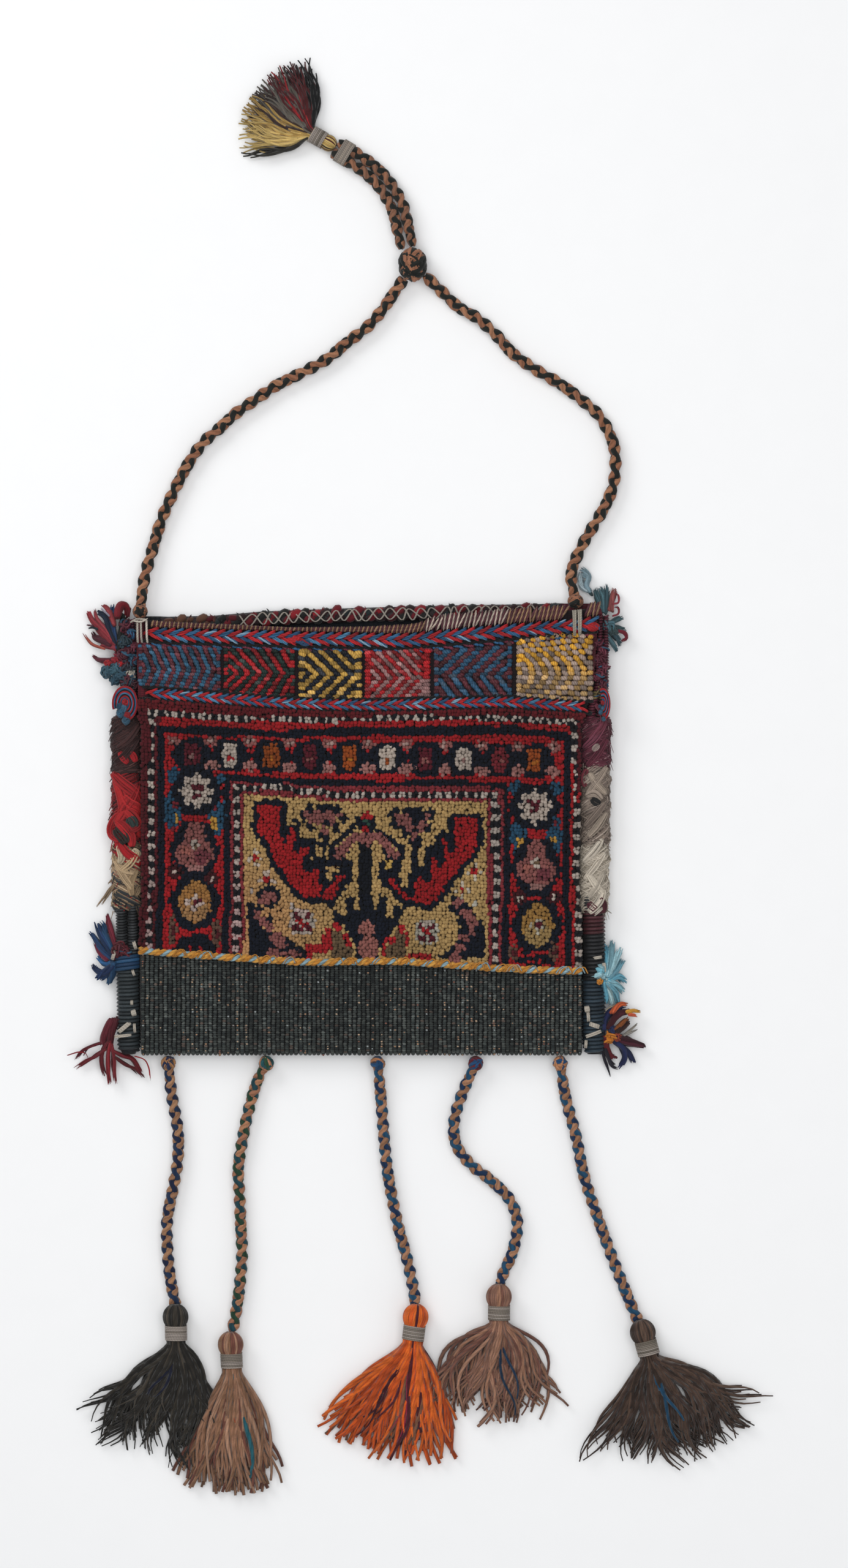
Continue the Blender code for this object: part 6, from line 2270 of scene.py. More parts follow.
TUFTS = (
    Tuft(
        "top_left_tuft", "burgundy_wool", 201,
        (
            (2.0, "4a2030", ((153, 1022), (146, 1021), (140, 1019))),
            (2.5, "1a2830", ((160, 1028), (150, 1024), (142, 1026))),
            (2.6, "8f4438", ((172, 1060), (152, 1053), (143, 1044), (134, 1031))),
            (5.0, "5c1e2c", ((186, 1078), (172, 1078), (158, 1076), (150, 1067))),
            (6.5, "401a24", ((184, 1054), (168, 1045), (155, 1040), (150, 1031))),
            (7.0, "78262e", ((190, 1056), (176, 1043), (159, 1027), (150, 1012))),
            (4.5, "7e3034", ((188, 1022), (181, 1003), (174, 992), (165, 985))),
            (4.0, "84343a", ((184, 1050), (172, 1028), (157, 1008), (154, 989))),
            (5.5, "8a3038", ((184, 1050), (170, 1034), (150, 1012), (141, 993))),
            (7.0, "1a2436", ((188, 1056), (180, 1030), (172, 1006), (158, 998))),
            (2.0, "9a94a4", ((179, 1006), (170, 998), (164, 992))),
            (7.5, "1c201e", ((195, 1062), (198, 1040), (201, 1014), (198, 997))),
            (5.5, "22385a", ((190, 1060), (186, 1040), (183, 1012), (184, 984))),
            (6.5, "64141e", ((192, 1008), (194, 992), (201, 987), (207, 994), (207, 1012))),
            (6.0, "7e2e38", ((190, 1060), (178, 1054), (163, 1052))),
            (7.0, "7c2a30", ((199, 1046), (196, 1058), (191, 1070))),
            (5.0, "8c3c38", ((208, 1062), (210, 1070), (210, 1080))),
            (6.0, "6c2230", ((203, 1080), (196, 1074), (186, 1066))),
        ),
        (
            (176, 1098, 8.5, "35525f"), (189, 1092, 8.5, "3c5c69"), (199, 1103, 9.0, "2e4856"),
            (187, 1110, 7.0, "2c4654"), (177, 1083, 5.5, "8a2026"), (200, 1086, 6.0, "9c1c22"),
            (189, 1078, 5.5, "7c2028"),
        ),
        0.0085,
    ),
    Tuft(
        "top_right_tuft", "teal_yarn", 233,
        (
            (4.5, "3a545a", ((984, 1000), (978, 978), (972, 960))),
            (4.5, "44626a", ((986, 1000), (986, 976), (980, 958))),
            (4.5, "38525a", ((988, 1000), (990, 974), (991, 953))),
            (4.5, "4a666c", ((988, 1002), (994, 984), (995, 968))),
            (5.5, "8c4a48", ((998, 998), (999, 980), (1004, 960))),
            (2.2, "7c3038", ((1000, 986), (1010, 984), (1010, 972), (1003, 968))),
            (2.2, "7c3038", ((1000, 1006), (1010, 1002), (1010, 992), (1002, 990))),
            (5.0, "3f5a60", ((992, 1020), (1006, 1012), (1019, 1007))),
            (5.0, "455c60", ((992, 1028), (1008, 1024), (1024, 1028))),
            (3.2, "7c2030", ((1006, 1030), (1020, 1032), (1023, 1042), (1014, 1046))),
            (5.5, "3a5058", ((990, 1030), (1004, 1036), (1015, 1052))),
            (5.5, "48646c", ((990, 1036), (1000, 1050), (1009, 1064))),
            (5.0, "6c8694", ((986, 1046), (988, 1060), (986, 1072))),
        ),
        (
            (994, 1022, 8, "41606a"), (1002, 1030, 7, "384a4c"), (976, 999, 7, "5c1c28"),
            (966, 998, 5, "6a2430"),
        ),
        0.0085, 0.0042, 12, 0.7,
    ),
    Tuft(
        "top_right_wisp", "pale_blue_yarn", 251,
        (
            (6.0, "7a929c", ((964, 968), (957, 955), (961, 942), (954, 932), (948, 928))),
            (4.5, "98a8ae", ((960, 966), (950, 956), (947, 944), (950, 934))),
            (3.5, "2c3c40", ((966, 972), (960, 962), (955, 953))),
        ),
        (), 0.0030, 0.0008, 14, 0.5,
    ),
    Tuft(
        "left_side_tassel", "dark_blue_yarn", 263,
        (
            (5.0, "6a2230", ((191, 1552), (184, 1530), (178, 1508), (174, 1491))),
            (6.0, "20395c", ((184, 1566), (168, 1552), (156, 1536), (145, 1519))),
            (4.0, "5c1e30", ((176, 1568), (163, 1556), (153, 1538))),
            (6.0, "234566", ((188, 1562), (176, 1536), (168, 1518), (165, 1506))),
            (6.2, "1c3254", ((188, 1566), (172, 1538), (162, 1518), (157, 1504))),
            (5.0, "26507a", ((186, 1572), (170, 1574), (158, 1562))),
            (6.0, "182a4c", ((188, 1576), (172, 1588), (158, 1583), (149, 1573))),
            (5.0, "1e3658", ((184, 1578), (174, 1590), (165, 1601))),
            (6.0, "1a2e52", ((186, 1576), (172, 1586), (156, 1600))),
            (6.5, "21405f", ((186, 1570), (182, 1590), (177, 1609))),
        ),
        ((200, 1551, 9, "4c141c"), (190, 1560, 6, "581c26")),
        0.0085, 0.0050, 8, 0.2,
    ),
    Tuft(
        "left_corner_tassel", "burgundy_wool", 281,
        (
            (1.5, "7a1c22", ((110, 1723), (128, 1718), (140, 1721), (144, 1732))),
            (3.2, "52161e", ((172, 1700), (150, 1708), (132, 1718), (122, 1733))),
            (4.0, "6a1c24", ((174, 1712), (158, 1724), (140, 1732), (121, 1746))),
            (1.8, "8e1c24", ((220, 1724), (236, 1730), (243, 1745), (245, 1765))),
            (3.5, "4a1418", ((188, 1726), (204, 1738), (222, 1746), (236, 1761))),
            (4.0, "641a22", ((186, 1716), (200, 1724), (216, 1731), (234, 1757))),
            (4.5, "5c1a22", ((178, 1700), (168, 1716), (165, 1738), (171, 1758))),
            (4.5, "702028", ((182, 1704), (187, 1728), (187, 1751), (190, 1771))),
            (4.5, "7a2028", ((180, 1702), (177, 1726), (177, 1750), (179, 1771))),
            (9.0, "4a1820", ((188, 1662), (182, 1680), (178, 1700), (180, 1718))),
            (8.0, "571c26", ((184, 1664), (174, 1682), (168, 1698), (170, 1712))),
        ),
        (), 0.0075, 0.0048, 10, 0.25,
    ),
    Tuft(
        "right_side_tassel", "pale_blue_yarn", 307,
        (
            (7.0, "5c98ac", ((988, 1594), (990, 1566), (986, 1538))),
            (7.0, "7aa4b0", ((990, 1594), (998, 1562), (1000, 1534))),
            (7.0, "8cb0b8", ((990, 1594), (1004, 1568), (1015, 1548))),
            (6.5, "6c9cac", ((992, 1596), (1008, 1582), (1019, 1566))),
            (6.5, "5f9cb0", ((992, 1598), (1010, 1594), (1024, 1604))),
            (6.0, "7aa8b4", ((992, 1600), (1008, 1608), (1019, 1622))),
            (7.0, "6498a8", ((990, 1602), (1004, 1620), (1009, 1640))),
            (7.0, "9ab8bc", ((990, 1602), (998, 1622), (1001, 1641))),
            (6.5, "5c98ac", ((988, 1602), (990, 1622), (988, 1639))),
            (6.5, "8cb0b8", ((984, 1590), (970, 1594), (956, 1600), (948, 1604))),
            (6.5, "6ca4b4", ((984, 1586), (970, 1580), (952, 1580))),
            (6.0, "84a8b0", ((984, 1582), (976, 1574), (966, 1572))),
        ),
        ((979.5, 1602, 4.2, "b8782c"),),
        0.0140, 0.0042, 16, 0.45,
    ),
    Tuft(
        "right_corner_tassel", "plum_yarn", 331,
        (
            (3.0, "1a1822", ((984, 1708), (986, 1723), (992, 1742), (997, 1759))),
            (3.5, "1c1a24", ((988, 1712), (994, 1728), (1001, 1742), (1011, 1745))),
            (5.0, "1c2448", ((1006, 1700), (1019, 1712), (1021, 1732), (1011, 1746))),
            (5.0, "1c2448", ((1000, 1698), (1014, 1708), (1027, 1720), (1038, 1738))),
            (2.5, "84807a", ((1010, 1694), (1026, 1688), (1043, 1681))),
            (2.5, "8c867c", ((1006, 1696), (1022, 1688), (1042, 1671))),
            (6.0, "5c1c22", ((986, 1690), (990, 1708), (996, 1722), (1007, 1731))),
            (7.5, "3c1420", ((1002, 1690), (1018, 1698), (1038, 1705), (1056, 1709))),
            (4.5, "b0502c", ((1000, 1654), (1012, 1640), (1026, 1640))),
            (2.0, "a89a84", ((984, 1670), (985, 1660), (992, 1648), (1009, 1640))),
            (6.0, "20264a", ((986, 1682), (988, 1666), (999, 1651), (1020, 1643))),
            (4.2, "c08a30", ((1022, 1652), (1034, 1650), (1047, 1653))),
            (3.0, "c0563a", ((1026, 1656), (1036, 1657), (1042, 1660))),
            (6.0, "2c1816", ((1000, 1688), (1016, 1678), (1030, 1666))),
            (5.0, "7a4420", ((998, 1684), (1014, 1674), (1027, 1660))),
            (6.5, "3a1018", ((992, 1680), (1000, 1664), (1012, 1655), (1032, 1650))),
        ),
        ((996, 1694, 8, "b06a20"), (1007, 1694, 6, "8a3a28"), (999, 1681, 6, "20284c")),
        0.0080, 0.0050, 9, 0.15,
    ),
)


@dataclass(frozen=True)
class Wrap:
    """Loose yarn wound round a selvedge, strand beside strand."""

    name: str
    side: Side
    top: float
    bottom: float
    slot: str
    choices: Sequence[tuple[str, float]]
    slant: float
    yarn: float
    count: int
    seed: int
    turns: tuple[float, float] = (0.6, 1.4)
    frays: Sequence[Sequence[tuple[float, float]]] = ()
    fluff: float = 0.06
    loops: Sequence[tuple[str, Sequence[tuple[float, float]]]] = ()
    low_choices: Sequence[tuple[str, float]] = ()

    def build(self) -> None:
        """Makes the wrap."""
        rng = np.random.default_rng(self.seed)
        skein = Skein()
        ends = self.side.centre(np.linspace(self.top, self.bottom, 8))
        flatness = WRAP_HALF_HEIGHT / WRAP_HALF_WIDTH
        # The core under the strands is darker than them: painted shade in the gaps between the strands.
        under = inks(*[code for code, _ in self.choices]).mean(axis=0) * 0.35
        skein.lay(ends, WRAP_HALF_WIDTH - self.yarn * 1.9, under, 14, flatness)
        n, count = 22, self.count
        t = np.linspace(0, 1, n)
        turns = rng.uniform(*self.turns, count)
        across = rng.uniform(0, 1, count) < 0.2
        run = self.slant * turns / PIXEL * np.where(across, -0.8, 1.0) * rng.uniform(0.7, 1.3, count)
        low = np.minimum(0, run)
        over = rng.uniform(-4, 7, (2, count))
        height = self.bottom - self.top + over.sum(axis=0)
        first = self.top - over[0] - low + rng.uniform(0, 1, count) * (height - np.abs(run))
        py = np.clip(first[:, None] + run[:, None] * t, self.top - over[:1].T, self.bottom + over[1:].T)
        angle = rng.uniform(0, math.tau, count)[:, None] + math.tau * turns[:, None] * t
        out = 1 + self.fluff * rng.uniform(-1, 0.8, (count, 1))
        out = out + 0.04 * np.sin(rng.uniform(0, 6, (count, 1)) + 9 * t)
        out += 0.06 * np.sin(py / 7.3 + self.seed) + 0.04 * np.sin(py / 3.1 + 2 * self.seed)
        middle = self.side.centre(py.ravel()).reshape(count, n, 3)
        middle[..., 0] += np.cos(angle) * (WRAP_HALF_WIDTH - self.yarn) * out
        middle[..., 2] += np.sin(angle) * (WRAP_HALF_HEIGHT - self.yarn) * out
        middle[..., 2] = np.maximum(middle[..., 2], GAP + self.yarn)
        tints = pick(rng, count, self.choices, 0.25)
        if self.low_choices:
            lower = py.mean(axis=1) > self.top + 0.62 * (self.bottom - self.top)
            tints[lower] = pick(rng, int(lower.sum()), self.low_choices, 0.2)
        skein.lay(middle, self.yarn * rng.uniform(0.8, 1.2, (count, 1)), tints, 4)
        self._strays(skein, rng)
        for code, route in self.loops:
            self._loop(skein, route, code, rng)
        for route in self.frays:
            code = self.choices[0][0]
            lock(skein, route, self.yarn / PIXEL * 2.2, code, (0.0125, 0.0050), rng, 7, 1.2)
        dress(skein.piece(self.name + "_strands", HAIR), "bag", self.slot, self.name)

    def _strays(self, skein: Skein, rng: np.random.Generator) -> None:
        """Fine ends that stand out from both edges of the wrap."""
        count, n = 80, 7
        t = np.linspace(0, 1, n)
        first = rng.uniform(self.top - 4, self.bottom + 4, count)
        sign = rng.choice((-1.0, 1.0), count)
        out = rng.uniform(0.6, 1.0, (count, 1)) + rng.uniform(0.0, 0.3, (count, 1)) * t
        run = rng.uniform(2, 22, (count, 1)) * t
        py = first[:, None] + run
        paths = self.side.centre(py.ravel()).reshape(count, n, 3)
        paths[..., 0] += sign[:, None] * out * WRAP_HALF_WIDTH
        paths[..., 2] = SIDE_Z + WRAP_HALF_HEIGHT * (1 - 0.75 * t) * rng.uniform(0.4, 0.95, (count, 1))
        radii = self.yarn * rng.uniform(0.35, 0.7, (count, 1)) * (1 - 0.5 * t)
        skein.lay(paths, radii, pick(rng, count, self.choices, 0.25), 4)

    def _loop(
        self, skein: Skein, route: Sequence[tuple[float, float]], code: str, rng: np.random.Generator
    ) -> None:
        """A loose lock drawn over the wrap, close to its surface."""
        path = resample(np.array([at(*place) for place in route]), 0.0012)
        aside = path[:, 0] - self.side.centre(pixels(path)[1])[:, 0]
        round_it = np.sqrt(np.clip(1 - (aside / (WRAP_HALF_WIDTH + self.yarn)) ** 2, 0.04, 1))
        path[:, 2] = SIDE_Z + (WRAP_HALF_HEIGHT + self.yarn * 0.8) * round_it
        _, across, _ = frame(path)
        count = 7
        t = np.linspace(0, 1, len(path))
        spots = np.linspace(-1, 1, count)[:, None] * (0.35 + 0.65 * np.sin(math.pi * t) ** 0.5)
        spots = spots + rng.normal(0, 0.12, (count, 1))
        paths = path + across * (spots * self.yarn * 3.4)[..., None]
        paths[..., 2] += rng.uniform(0, 0.0006, (count, 1))
        radii = self.yarn * rng.uniform(0.7, 1.1, (count, 1))
        skein.lay(paths, radii, ink(code) * rng.uniform(0.7, 1.3, (count, 1)), 5)


WRAPS = (
    Wrap(
        "left_wrap_brown", LEFT, 1178, 1255, "brown_yarn",
        (("341f1e", 4.0), ("442826", 2.0), ("241414", 2.0), ("523632", 0.6)), 0.030, 0.0005, 300, 401,
        frays=(
            ((200, 1180), (186, 1198), (178, 1214)), ((196, 1190), (184, 1206), (184, 1220)),
            ((194, 1178), (184, 1190), (181, 1202)), ((206, 1160), (196, 1172), (188, 1188)),
        ),
        fluff=0.10,
        loops=(
            ("8c181e", ((196, 1228), (203, 1238), (210, 1246))),
            ("8c181e", ((214, 1228), (219, 1236), (222, 1244))),
            ("38201f", ((230, 1180), (212, 1206), (192, 1222))),
            ("2c1818", ((226, 1206), (206, 1232), (188, 1246))),
        ),
    ),
    Wrap(
        "left_wrap_red", LEFT, 1257, 1377, "red_yarn",
        (("76151a", 4.0), ("861c1d", 2.0), ("560e13", 2.0), ("3a0b0e", 0.9)), 0.019, 0.0008, 150, 402,
        frays=(((200, 1300), (196, 1330), (184, 1352), (178, 1362)), ((204, 1330), (214, 1352), (232, 1372))),
        fluff=0.14,
        loops=(
            ("8c1a1e", ((184, 1262), (200, 1278), (222, 1296), (230, 1312))),
            ("9a2022", ((188, 1272), (198, 1296), (202, 1322), (190, 1344))),
            ("8c1a1e", ((226, 1282), (214, 1304), (200, 1324), (188, 1330))),
            ("a02224", ((206, 1322), (218, 1334), (226, 1348), (232, 1366))),
            ("8c1a1e", ((196, 1328), (186, 1344), (183, 1360), (196, 1372))),
            ("961c20", ((190, 1340), (204, 1352), (214, 1366), (216, 1382))),
            ("7a161a", ((232, 1306), (234, 1326), (226, 1346), (212, 1356))),
            ("9a2022", ((202, 1300), (212, 1312), (228, 1322), (234, 1336))),
            ("2a2420", ((190, 1352), (202, 1364), (208, 1376))),
            ("26302e", ((212, 1334), (218, 1344), (220, 1352))),
        ),
    ),
    Wrap(
        "left_wrap_tan", LEFT, 1379, 1484, "tan_yarn",
        (("8e7860", 3.0), ("a48e72", 1.5), ("6c5844", 1.5), ("8c1a1e", 0.5), ("33373a", 1.2)), -0.026,
        0.00055, 240, 403,
        frays=(
            ((200, 1424), (186, 1446), (168, 1470), (158, 1485)), ((202, 1420), (190, 1430), (176, 1444)),
            ((206, 1400), (194, 1412), (182, 1426)), ((198, 1440), (188, 1452), (186, 1466)),
            ((196, 1436), (180, 1452), (170, 1462)),
        ),
        fluff=0.12,
        loops=(
            ("94161c", ((196, 1376), (208, 1392), (222, 1402), (232, 1412))),
            ("94161c", ((190, 1372), (196, 1386), (192, 1396))),
            ("a89880", ((194, 1380), (200, 1398), (196, 1410))),
            ("9a8468", ((184, 1398), (200, 1418), (220, 1426))),
            ("a89070", ((226, 1390), (214, 1410), (196, 1424))),
            ("9a8468", ((190, 1412), (206, 1436), (218, 1452))),
            ("8a7458", ((224, 1420), (214, 1440), (216, 1462))),
            ("a89880", ((218, 1386), (226, 1396), (224, 1408))),
            ("7c6850", ((232, 1424), (230, 1444), (222, 1462))),
        ),
        low_choices=(("1e2022", 5.0), ("2b2e30", 2.0), ("5c5248", 0.6)),
    ),
    Wrap(
        "right_wrap_plum", RIGHT, 1178, 1248, "plum_yarn",
        (("522430", 4.0), ("683844", 1.5), ("3e1822", 2.0), ("8a6a6c", 0.5)), 0.030, 0.0005, 300, 404,
        fluff=0.1,
        loops=(
            ("5c2834", ((972, 1150), (984, 1166), (982, 1186), (962, 1206))),
            ("643240", ((988, 1180), (970, 1206), (952, 1222))),
            ("8c7a74", ((978, 1216), (972, 1222), (968, 1226))),
            ("4c1e2a", ((990, 1206), (974, 1232), (958, 1250))),
        ),
    ),
    Wrap(
        "right_wrap_grey", RIGHT, 1250, 1378, "grey_yarn",
        (("7c6e64", 4.0), ("8e8074", 2.0), ("645850", 2.0), ("9c8e82", 0.8)), 0.034, 0.00052, 420, 405,
        fluff=0.12,
        frays=(
            ((972, 1290), (982, 1298), (994, 1300)), ((976, 1306), (984, 1312), (990, 1320)),
            ((978, 1276), (988, 1282), (992, 1290)),
        ),
        loops=(
            ("8a7c70", ((990, 1252), (974, 1276), (958, 1296))),
            ("948678", ((962, 1262), (976, 1282), (990, 1296))),
            ("1c1c1c", ((966, 1304), (974, 1310), (980, 1312))),
            ("8e8074", ((956, 1300), (970, 1296), (982, 1306))),
            ("7a6c62", ((988, 1310), (972, 1330), (954, 1350))),
            ("988a7c", ((990, 1326), (974, 1350), (960, 1366))),
            ("6c3038", ((958, 1256), (952, 1272), (956, 1284))),
        ),
    ),
    Wrap(
        "right_wrap_cream", RIGHT, 1380, 1484, "cream_yarn",
        (("a89e90", 4.0), ("b8ae9f", 2.0), ("887e70", 1.5), ("685e54", 0.5)), 0.032, 0.00055, 300, 406,
        fluff=0.12,
        frays=(((960, 1400), (950, 1410), (944, 1412)), ((976, 1460), (966, 1476), (956, 1484))),
        loops=(
            ("b4aa9c", ((984, 1370), (970, 1390), (952, 1408))),
            ("aca294", ((988, 1392), (970, 1418), (954, 1436))),
            ("b8ae9f", ((958, 1424), (972, 1444), (986, 1462))),
            ("a89e90", ((986, 1424), (974, 1448), (962, 1466))),
            ("4c2028", ((960, 1474), (966, 1482), (974, 1486))),
            ("4c2028", ((980, 1466), (986, 1478), (984, 1490))),
            ("b4aa9c", ((986, 1452), (978, 1472), (962, 1490))),
        ),
    ),
)


@dataclass(frozen=True)
class Stitch:
    """A stitch of pale thread over a side: its half width and its two ends."""

    half: float
    start: tuple[float, float]
    end: tuple[float, float]


LEFT_STITCHES = (
    Stitch(4.4, (218, 1649), (220, 1657)), Stitch(3.8, (195, 1684), (213, 1669)),
    Stitch(2.2, (188, 1692), (215, 1689)), Stitch(2.0, (220, 1671), (221, 1685)),
    Stitch(2.0, (216, 1633), (216, 1640)), Stitch(2.0, (217, 1583), (220, 1592)),
    Stitch(3.0, (189, 1552), (184, 1566)), Stitch(3.0, (219, 1537), (223, 1549)),
    Stitch(4.5, (216, 1097), (212, 1107)),
)
RIGHT_STITCHES = (
    Stitch(4.6, (958, 1643), (959, 1651)), Stitch(2.4, (960, 1652), (961, 1667)),
    Stitch(3.8, (963, 1671), (978, 1676)), Stitch(2.6, (957, 1692), (981, 1683)),
    Stitch(2.2, (957, 1698), (956, 1710)), Stitch(2.2, (969, 1564), (982, 1562)),
    Stitch(2.0, (970, 1494), (984, 1482)), Stitch(3.0, (986, 1572), (987, 1594)),
)


SELVEDGE_LUMPS = {
    "left_selvedge": (
        (207, 1023, 8, "54202c"), (216, 1036, 7, "2c5070"), (205, 1048, 8, "24343c"),
        (217, 1056, 6.5, "5c2834"), (206, 1068, 8.5, "4a1e28"), (218, 1078, 7, "26465a"),
        (206, 1090, 7.5, "30323a"), (215, 1103, 6, "8f8a80"), (207, 1114, 7.5, "2c3a44"),
        (219, 1116, 6, "3a1c24"), (196, 1548, 9, "4a1a20"), (206, 1556, 7, "561c24"),
    ),
    "right_selvedge": (
        (978, 1052, 7, "50202e"), (985, 1064, 6.5, "642c3a"), (978, 1078, 7, "4a1c28"),
        (986, 1090, 6.5, "5c2836"), (979, 1104, 7, "642c3a"), (985, 1118, 6.5, "50202e"),
        (978, 1130, 6, "6a5a3c"),
    ),
}
SELVEDGE_BANDS = {
    "left_selvedge": ((1562, "1a3854"), (1568, "204464"), (1574, "16304c"), (1580, "1c3c5a")),
    "right_selvedge": (),
}


@dataclass
class Sides:
    """Both wrapped selvedges with all that is on them."""

    seed: int = 61

    def build(self) -> None:
        """Makes all of it."""
        self.selvedge(
            "left_selvedge", LEFT, 1012, 1560,
            (
                (1000, "44202a"), (1050, "33202a"), (1090, "28343a"), (1125, "38181f"), (1178, "2a2c2e"),
                (1560, "282e31"),
            ),
        )
        self.selvedge(
            "right_selvedge", RIGHT, 1006, 1490,
            (
                (1000, "4c1e2a"), (1128, "7a6a44"), (1142, "542430"), (1178, "2a2c2e"), (1484, "3c1d21"),
                (1524, "1e1e20"), (1600, "25313a"),
            ),
        )
        for wrap in WRAPS:
            wrap.build()
        self.stitches("left_selvedge_stitches", LEFT_STITCHES)
        self.stitches("right_selvedge_stitches", RIGHT_STITCHES)
        self.braid_end("left_braid_end", LEFT, 1149, 19, 27, 0.65)
        self.braid_end("right_braid_end", RIGHT, 1150, 10, 24, 0.95)
        for tuft in TUFTS:
            tuft.build()
        self.lashings()

    def selvedge(
        self, name: str, side: Side, top: float, parted: float, stops: Sequence[tuple[float, str]]
    ) -> None:
        """One selvedge: two wound cords side by side, then a single fat one.

        Args:
            name: the CAD node that it stands for.
            side: where it runs.
            top: how far down it starts.
            parted: how far down the two cords become one.
            stops: its colours, from the top.
        """
        rng = np.random.default_rng(self.seed + side.sign)
        skein, dye = Skein(), between(stops)
        for aside in (-0.5, 0.5):
            py = np.linspace(top, parted + 6, 50)
            path = side.centre(py)
            half = side.bare_half(py)
            path[:, 0] += aside * half
            low, high = side.wrapped
            held = np.where((py > low) & (py < high - 30), 0.55, 1.0)
            path[:, 0] -= aside * half * (1 - held) * 0.5
            halves = np.column_stack([half * 0.5 * held, SELVEDGE_HEIGHT / 2 * 0.96 * held])
            wind(skein, path, halves, thread=0.0008, pitch=0.0017, dye=dye, rng=rng)
        py = np.linspace(parted, SIDE_BOTTOM_PX, 30)
        halves = np.column_stack([side.bare_half(py), np.full(len(py), SELVEDGE_HEIGHT / 2)])
        halves[-3:] *= np.array((0.97, 0.9, 0.72))[:, None]
        wind(skein, side.centre(py), halves, thread=0.00115, pitch=0.0023, dye=dye, rng=rng)
        for number, (px, py, half, code) in enumerate(SELVEDGE_LUMPS[name]):
            wide = half * PIXEL
            choices = ((code, 3.0), ("4a1e28", 1.0), ("26465a", 0.5))
            halves = (wide * 1.25, wide * 1.25, 0.0034)
            ball(skein, at(px, py, 0.0116), halves, wide * 0.22, choices, self.seed + number, 17, 0.45)
        for py, code in SELVEDGE_BANDS[name]:
            turn = np.linspace(-0.1, math.pi + 0.1, 16)
            band = side.centre(py + 3 * np.cos(turn))
            band[:, 0] -= np.cos(turn) * (side.bare_half(np.array(py)) + 0.0006)
            band[:, 2] += np.sin(turn) * (SELVEDGE_HEIGHT / 2 + 0.0006)
            skein.lay(band, 0.0012, ink(code) * rng.uniform(0.8, 1.2), 6)
        dress(skein.piece(name + "_wrapping", WRAPPING), "bag", "selvedge_wool", name)

    def stitches(self, name: str, stitches: Sequence[Stitch]) -> None:
        """The pale stitches over a side."""
        rng = np.random.default_rng(self.seed + len(name))
        skein = Skein()
        for stitch in stitches:
            ends = np.array([at(*stitch.start, 0.0126), at(*stitch.end, 0.0126)])
            middle = ends.mean(axis=0) + (0, 0, 0.0019)
            half = stitch.half * PIXEL
            path = resample(np.array([ends[0], middle, ends[1]]), 0.0009)
            _, across, _ = frame(path)
            count = 2 if stitch.half < 3 else 4
            spots = np.linspace(-1, 1, count) * half * 0.55
            paths = np.array([path + across * spot for spot in spots])
            radius = half * (0.6 if count == 2 else 0.42)
            skein.lay(paths, radius, pick(rng, count, (("b4ab9e", 1.0),), 0.1), 6)
        dress(skein.piece(name, THREAD), "bag", "white_thread")

    def braid_end(self, node: str, side: Side, py: float, wide: float, tall: float, inset: float) -> None:
        """The lower braid's end, turned in on itself in nested arcs of red and blue.

        Args:
            node: the CAD node that it stands for.
            side: the side that it is on.
            py: how far down its middle is.
            wide: its half width, in pixels.
            tall: its half length, in pixels.
            inset: how far it lies over the selvedge, as a share of its half width.
        """
        rng = np.random.default_rng(self.seed + side.sign * 3)
        centre = side.root(py)
        centre[0] -= side.sign * wide * PIXEL * inset
        centre[2] = 0.0152
        skein = Skein()
        codes = ("8c1c22", "2a506e", "14161c", "981e24", "36607e", "121318", "8c1c22", "244660")
        arcs = len(codes)
        turn = np.linspace(*np.radians((200, -75) if side.sign < 0 else (115, -100)), 26)
        for number, code in enumerate(codes):
            share = 1 - 0.66 * number / (arcs - 1)
            bulge = 4.2 * np.sin(turn * 0.5 + 1) * (1 - share * 0.6)
            arc = np.column_stack([np.cos(turn) * wide * share, np.sin(turn) * tall * share, bulge])
            path = centre + arc * PIXEL
            skein.lay(path, 0.00095, ink(code) * rng.uniform(0.85, 1.15), 7)
        for aside, down, half, code in (
            (0.05, -0.1, 0.42, "8c2228"), (-0.35, 0.55, 0.42, "2e5268"), (0.2, 0.72, 0.36, "7c2026"),
            (-0.1, 0.28, 0.36, "3c5a70"), (-0.5, 0.15, 0.3, "28465c"), (0.1, 1.0, 0.4, "2e4a5c"),
        ):
            spot = centre + np.array((aside * wide, -down * tall, 0.5)) * PIXEL
            size = half * wide * PIXEL
            seed = self.seed + int(down * 100)
            ball(skein, spot, (size, size * 1.2, 0.0026), 0.0009, ((code, 1.0),), seed, 8)
        dress(skein.piece(node + "_arcs", CORD), "bag", "red_blue_braid", node)

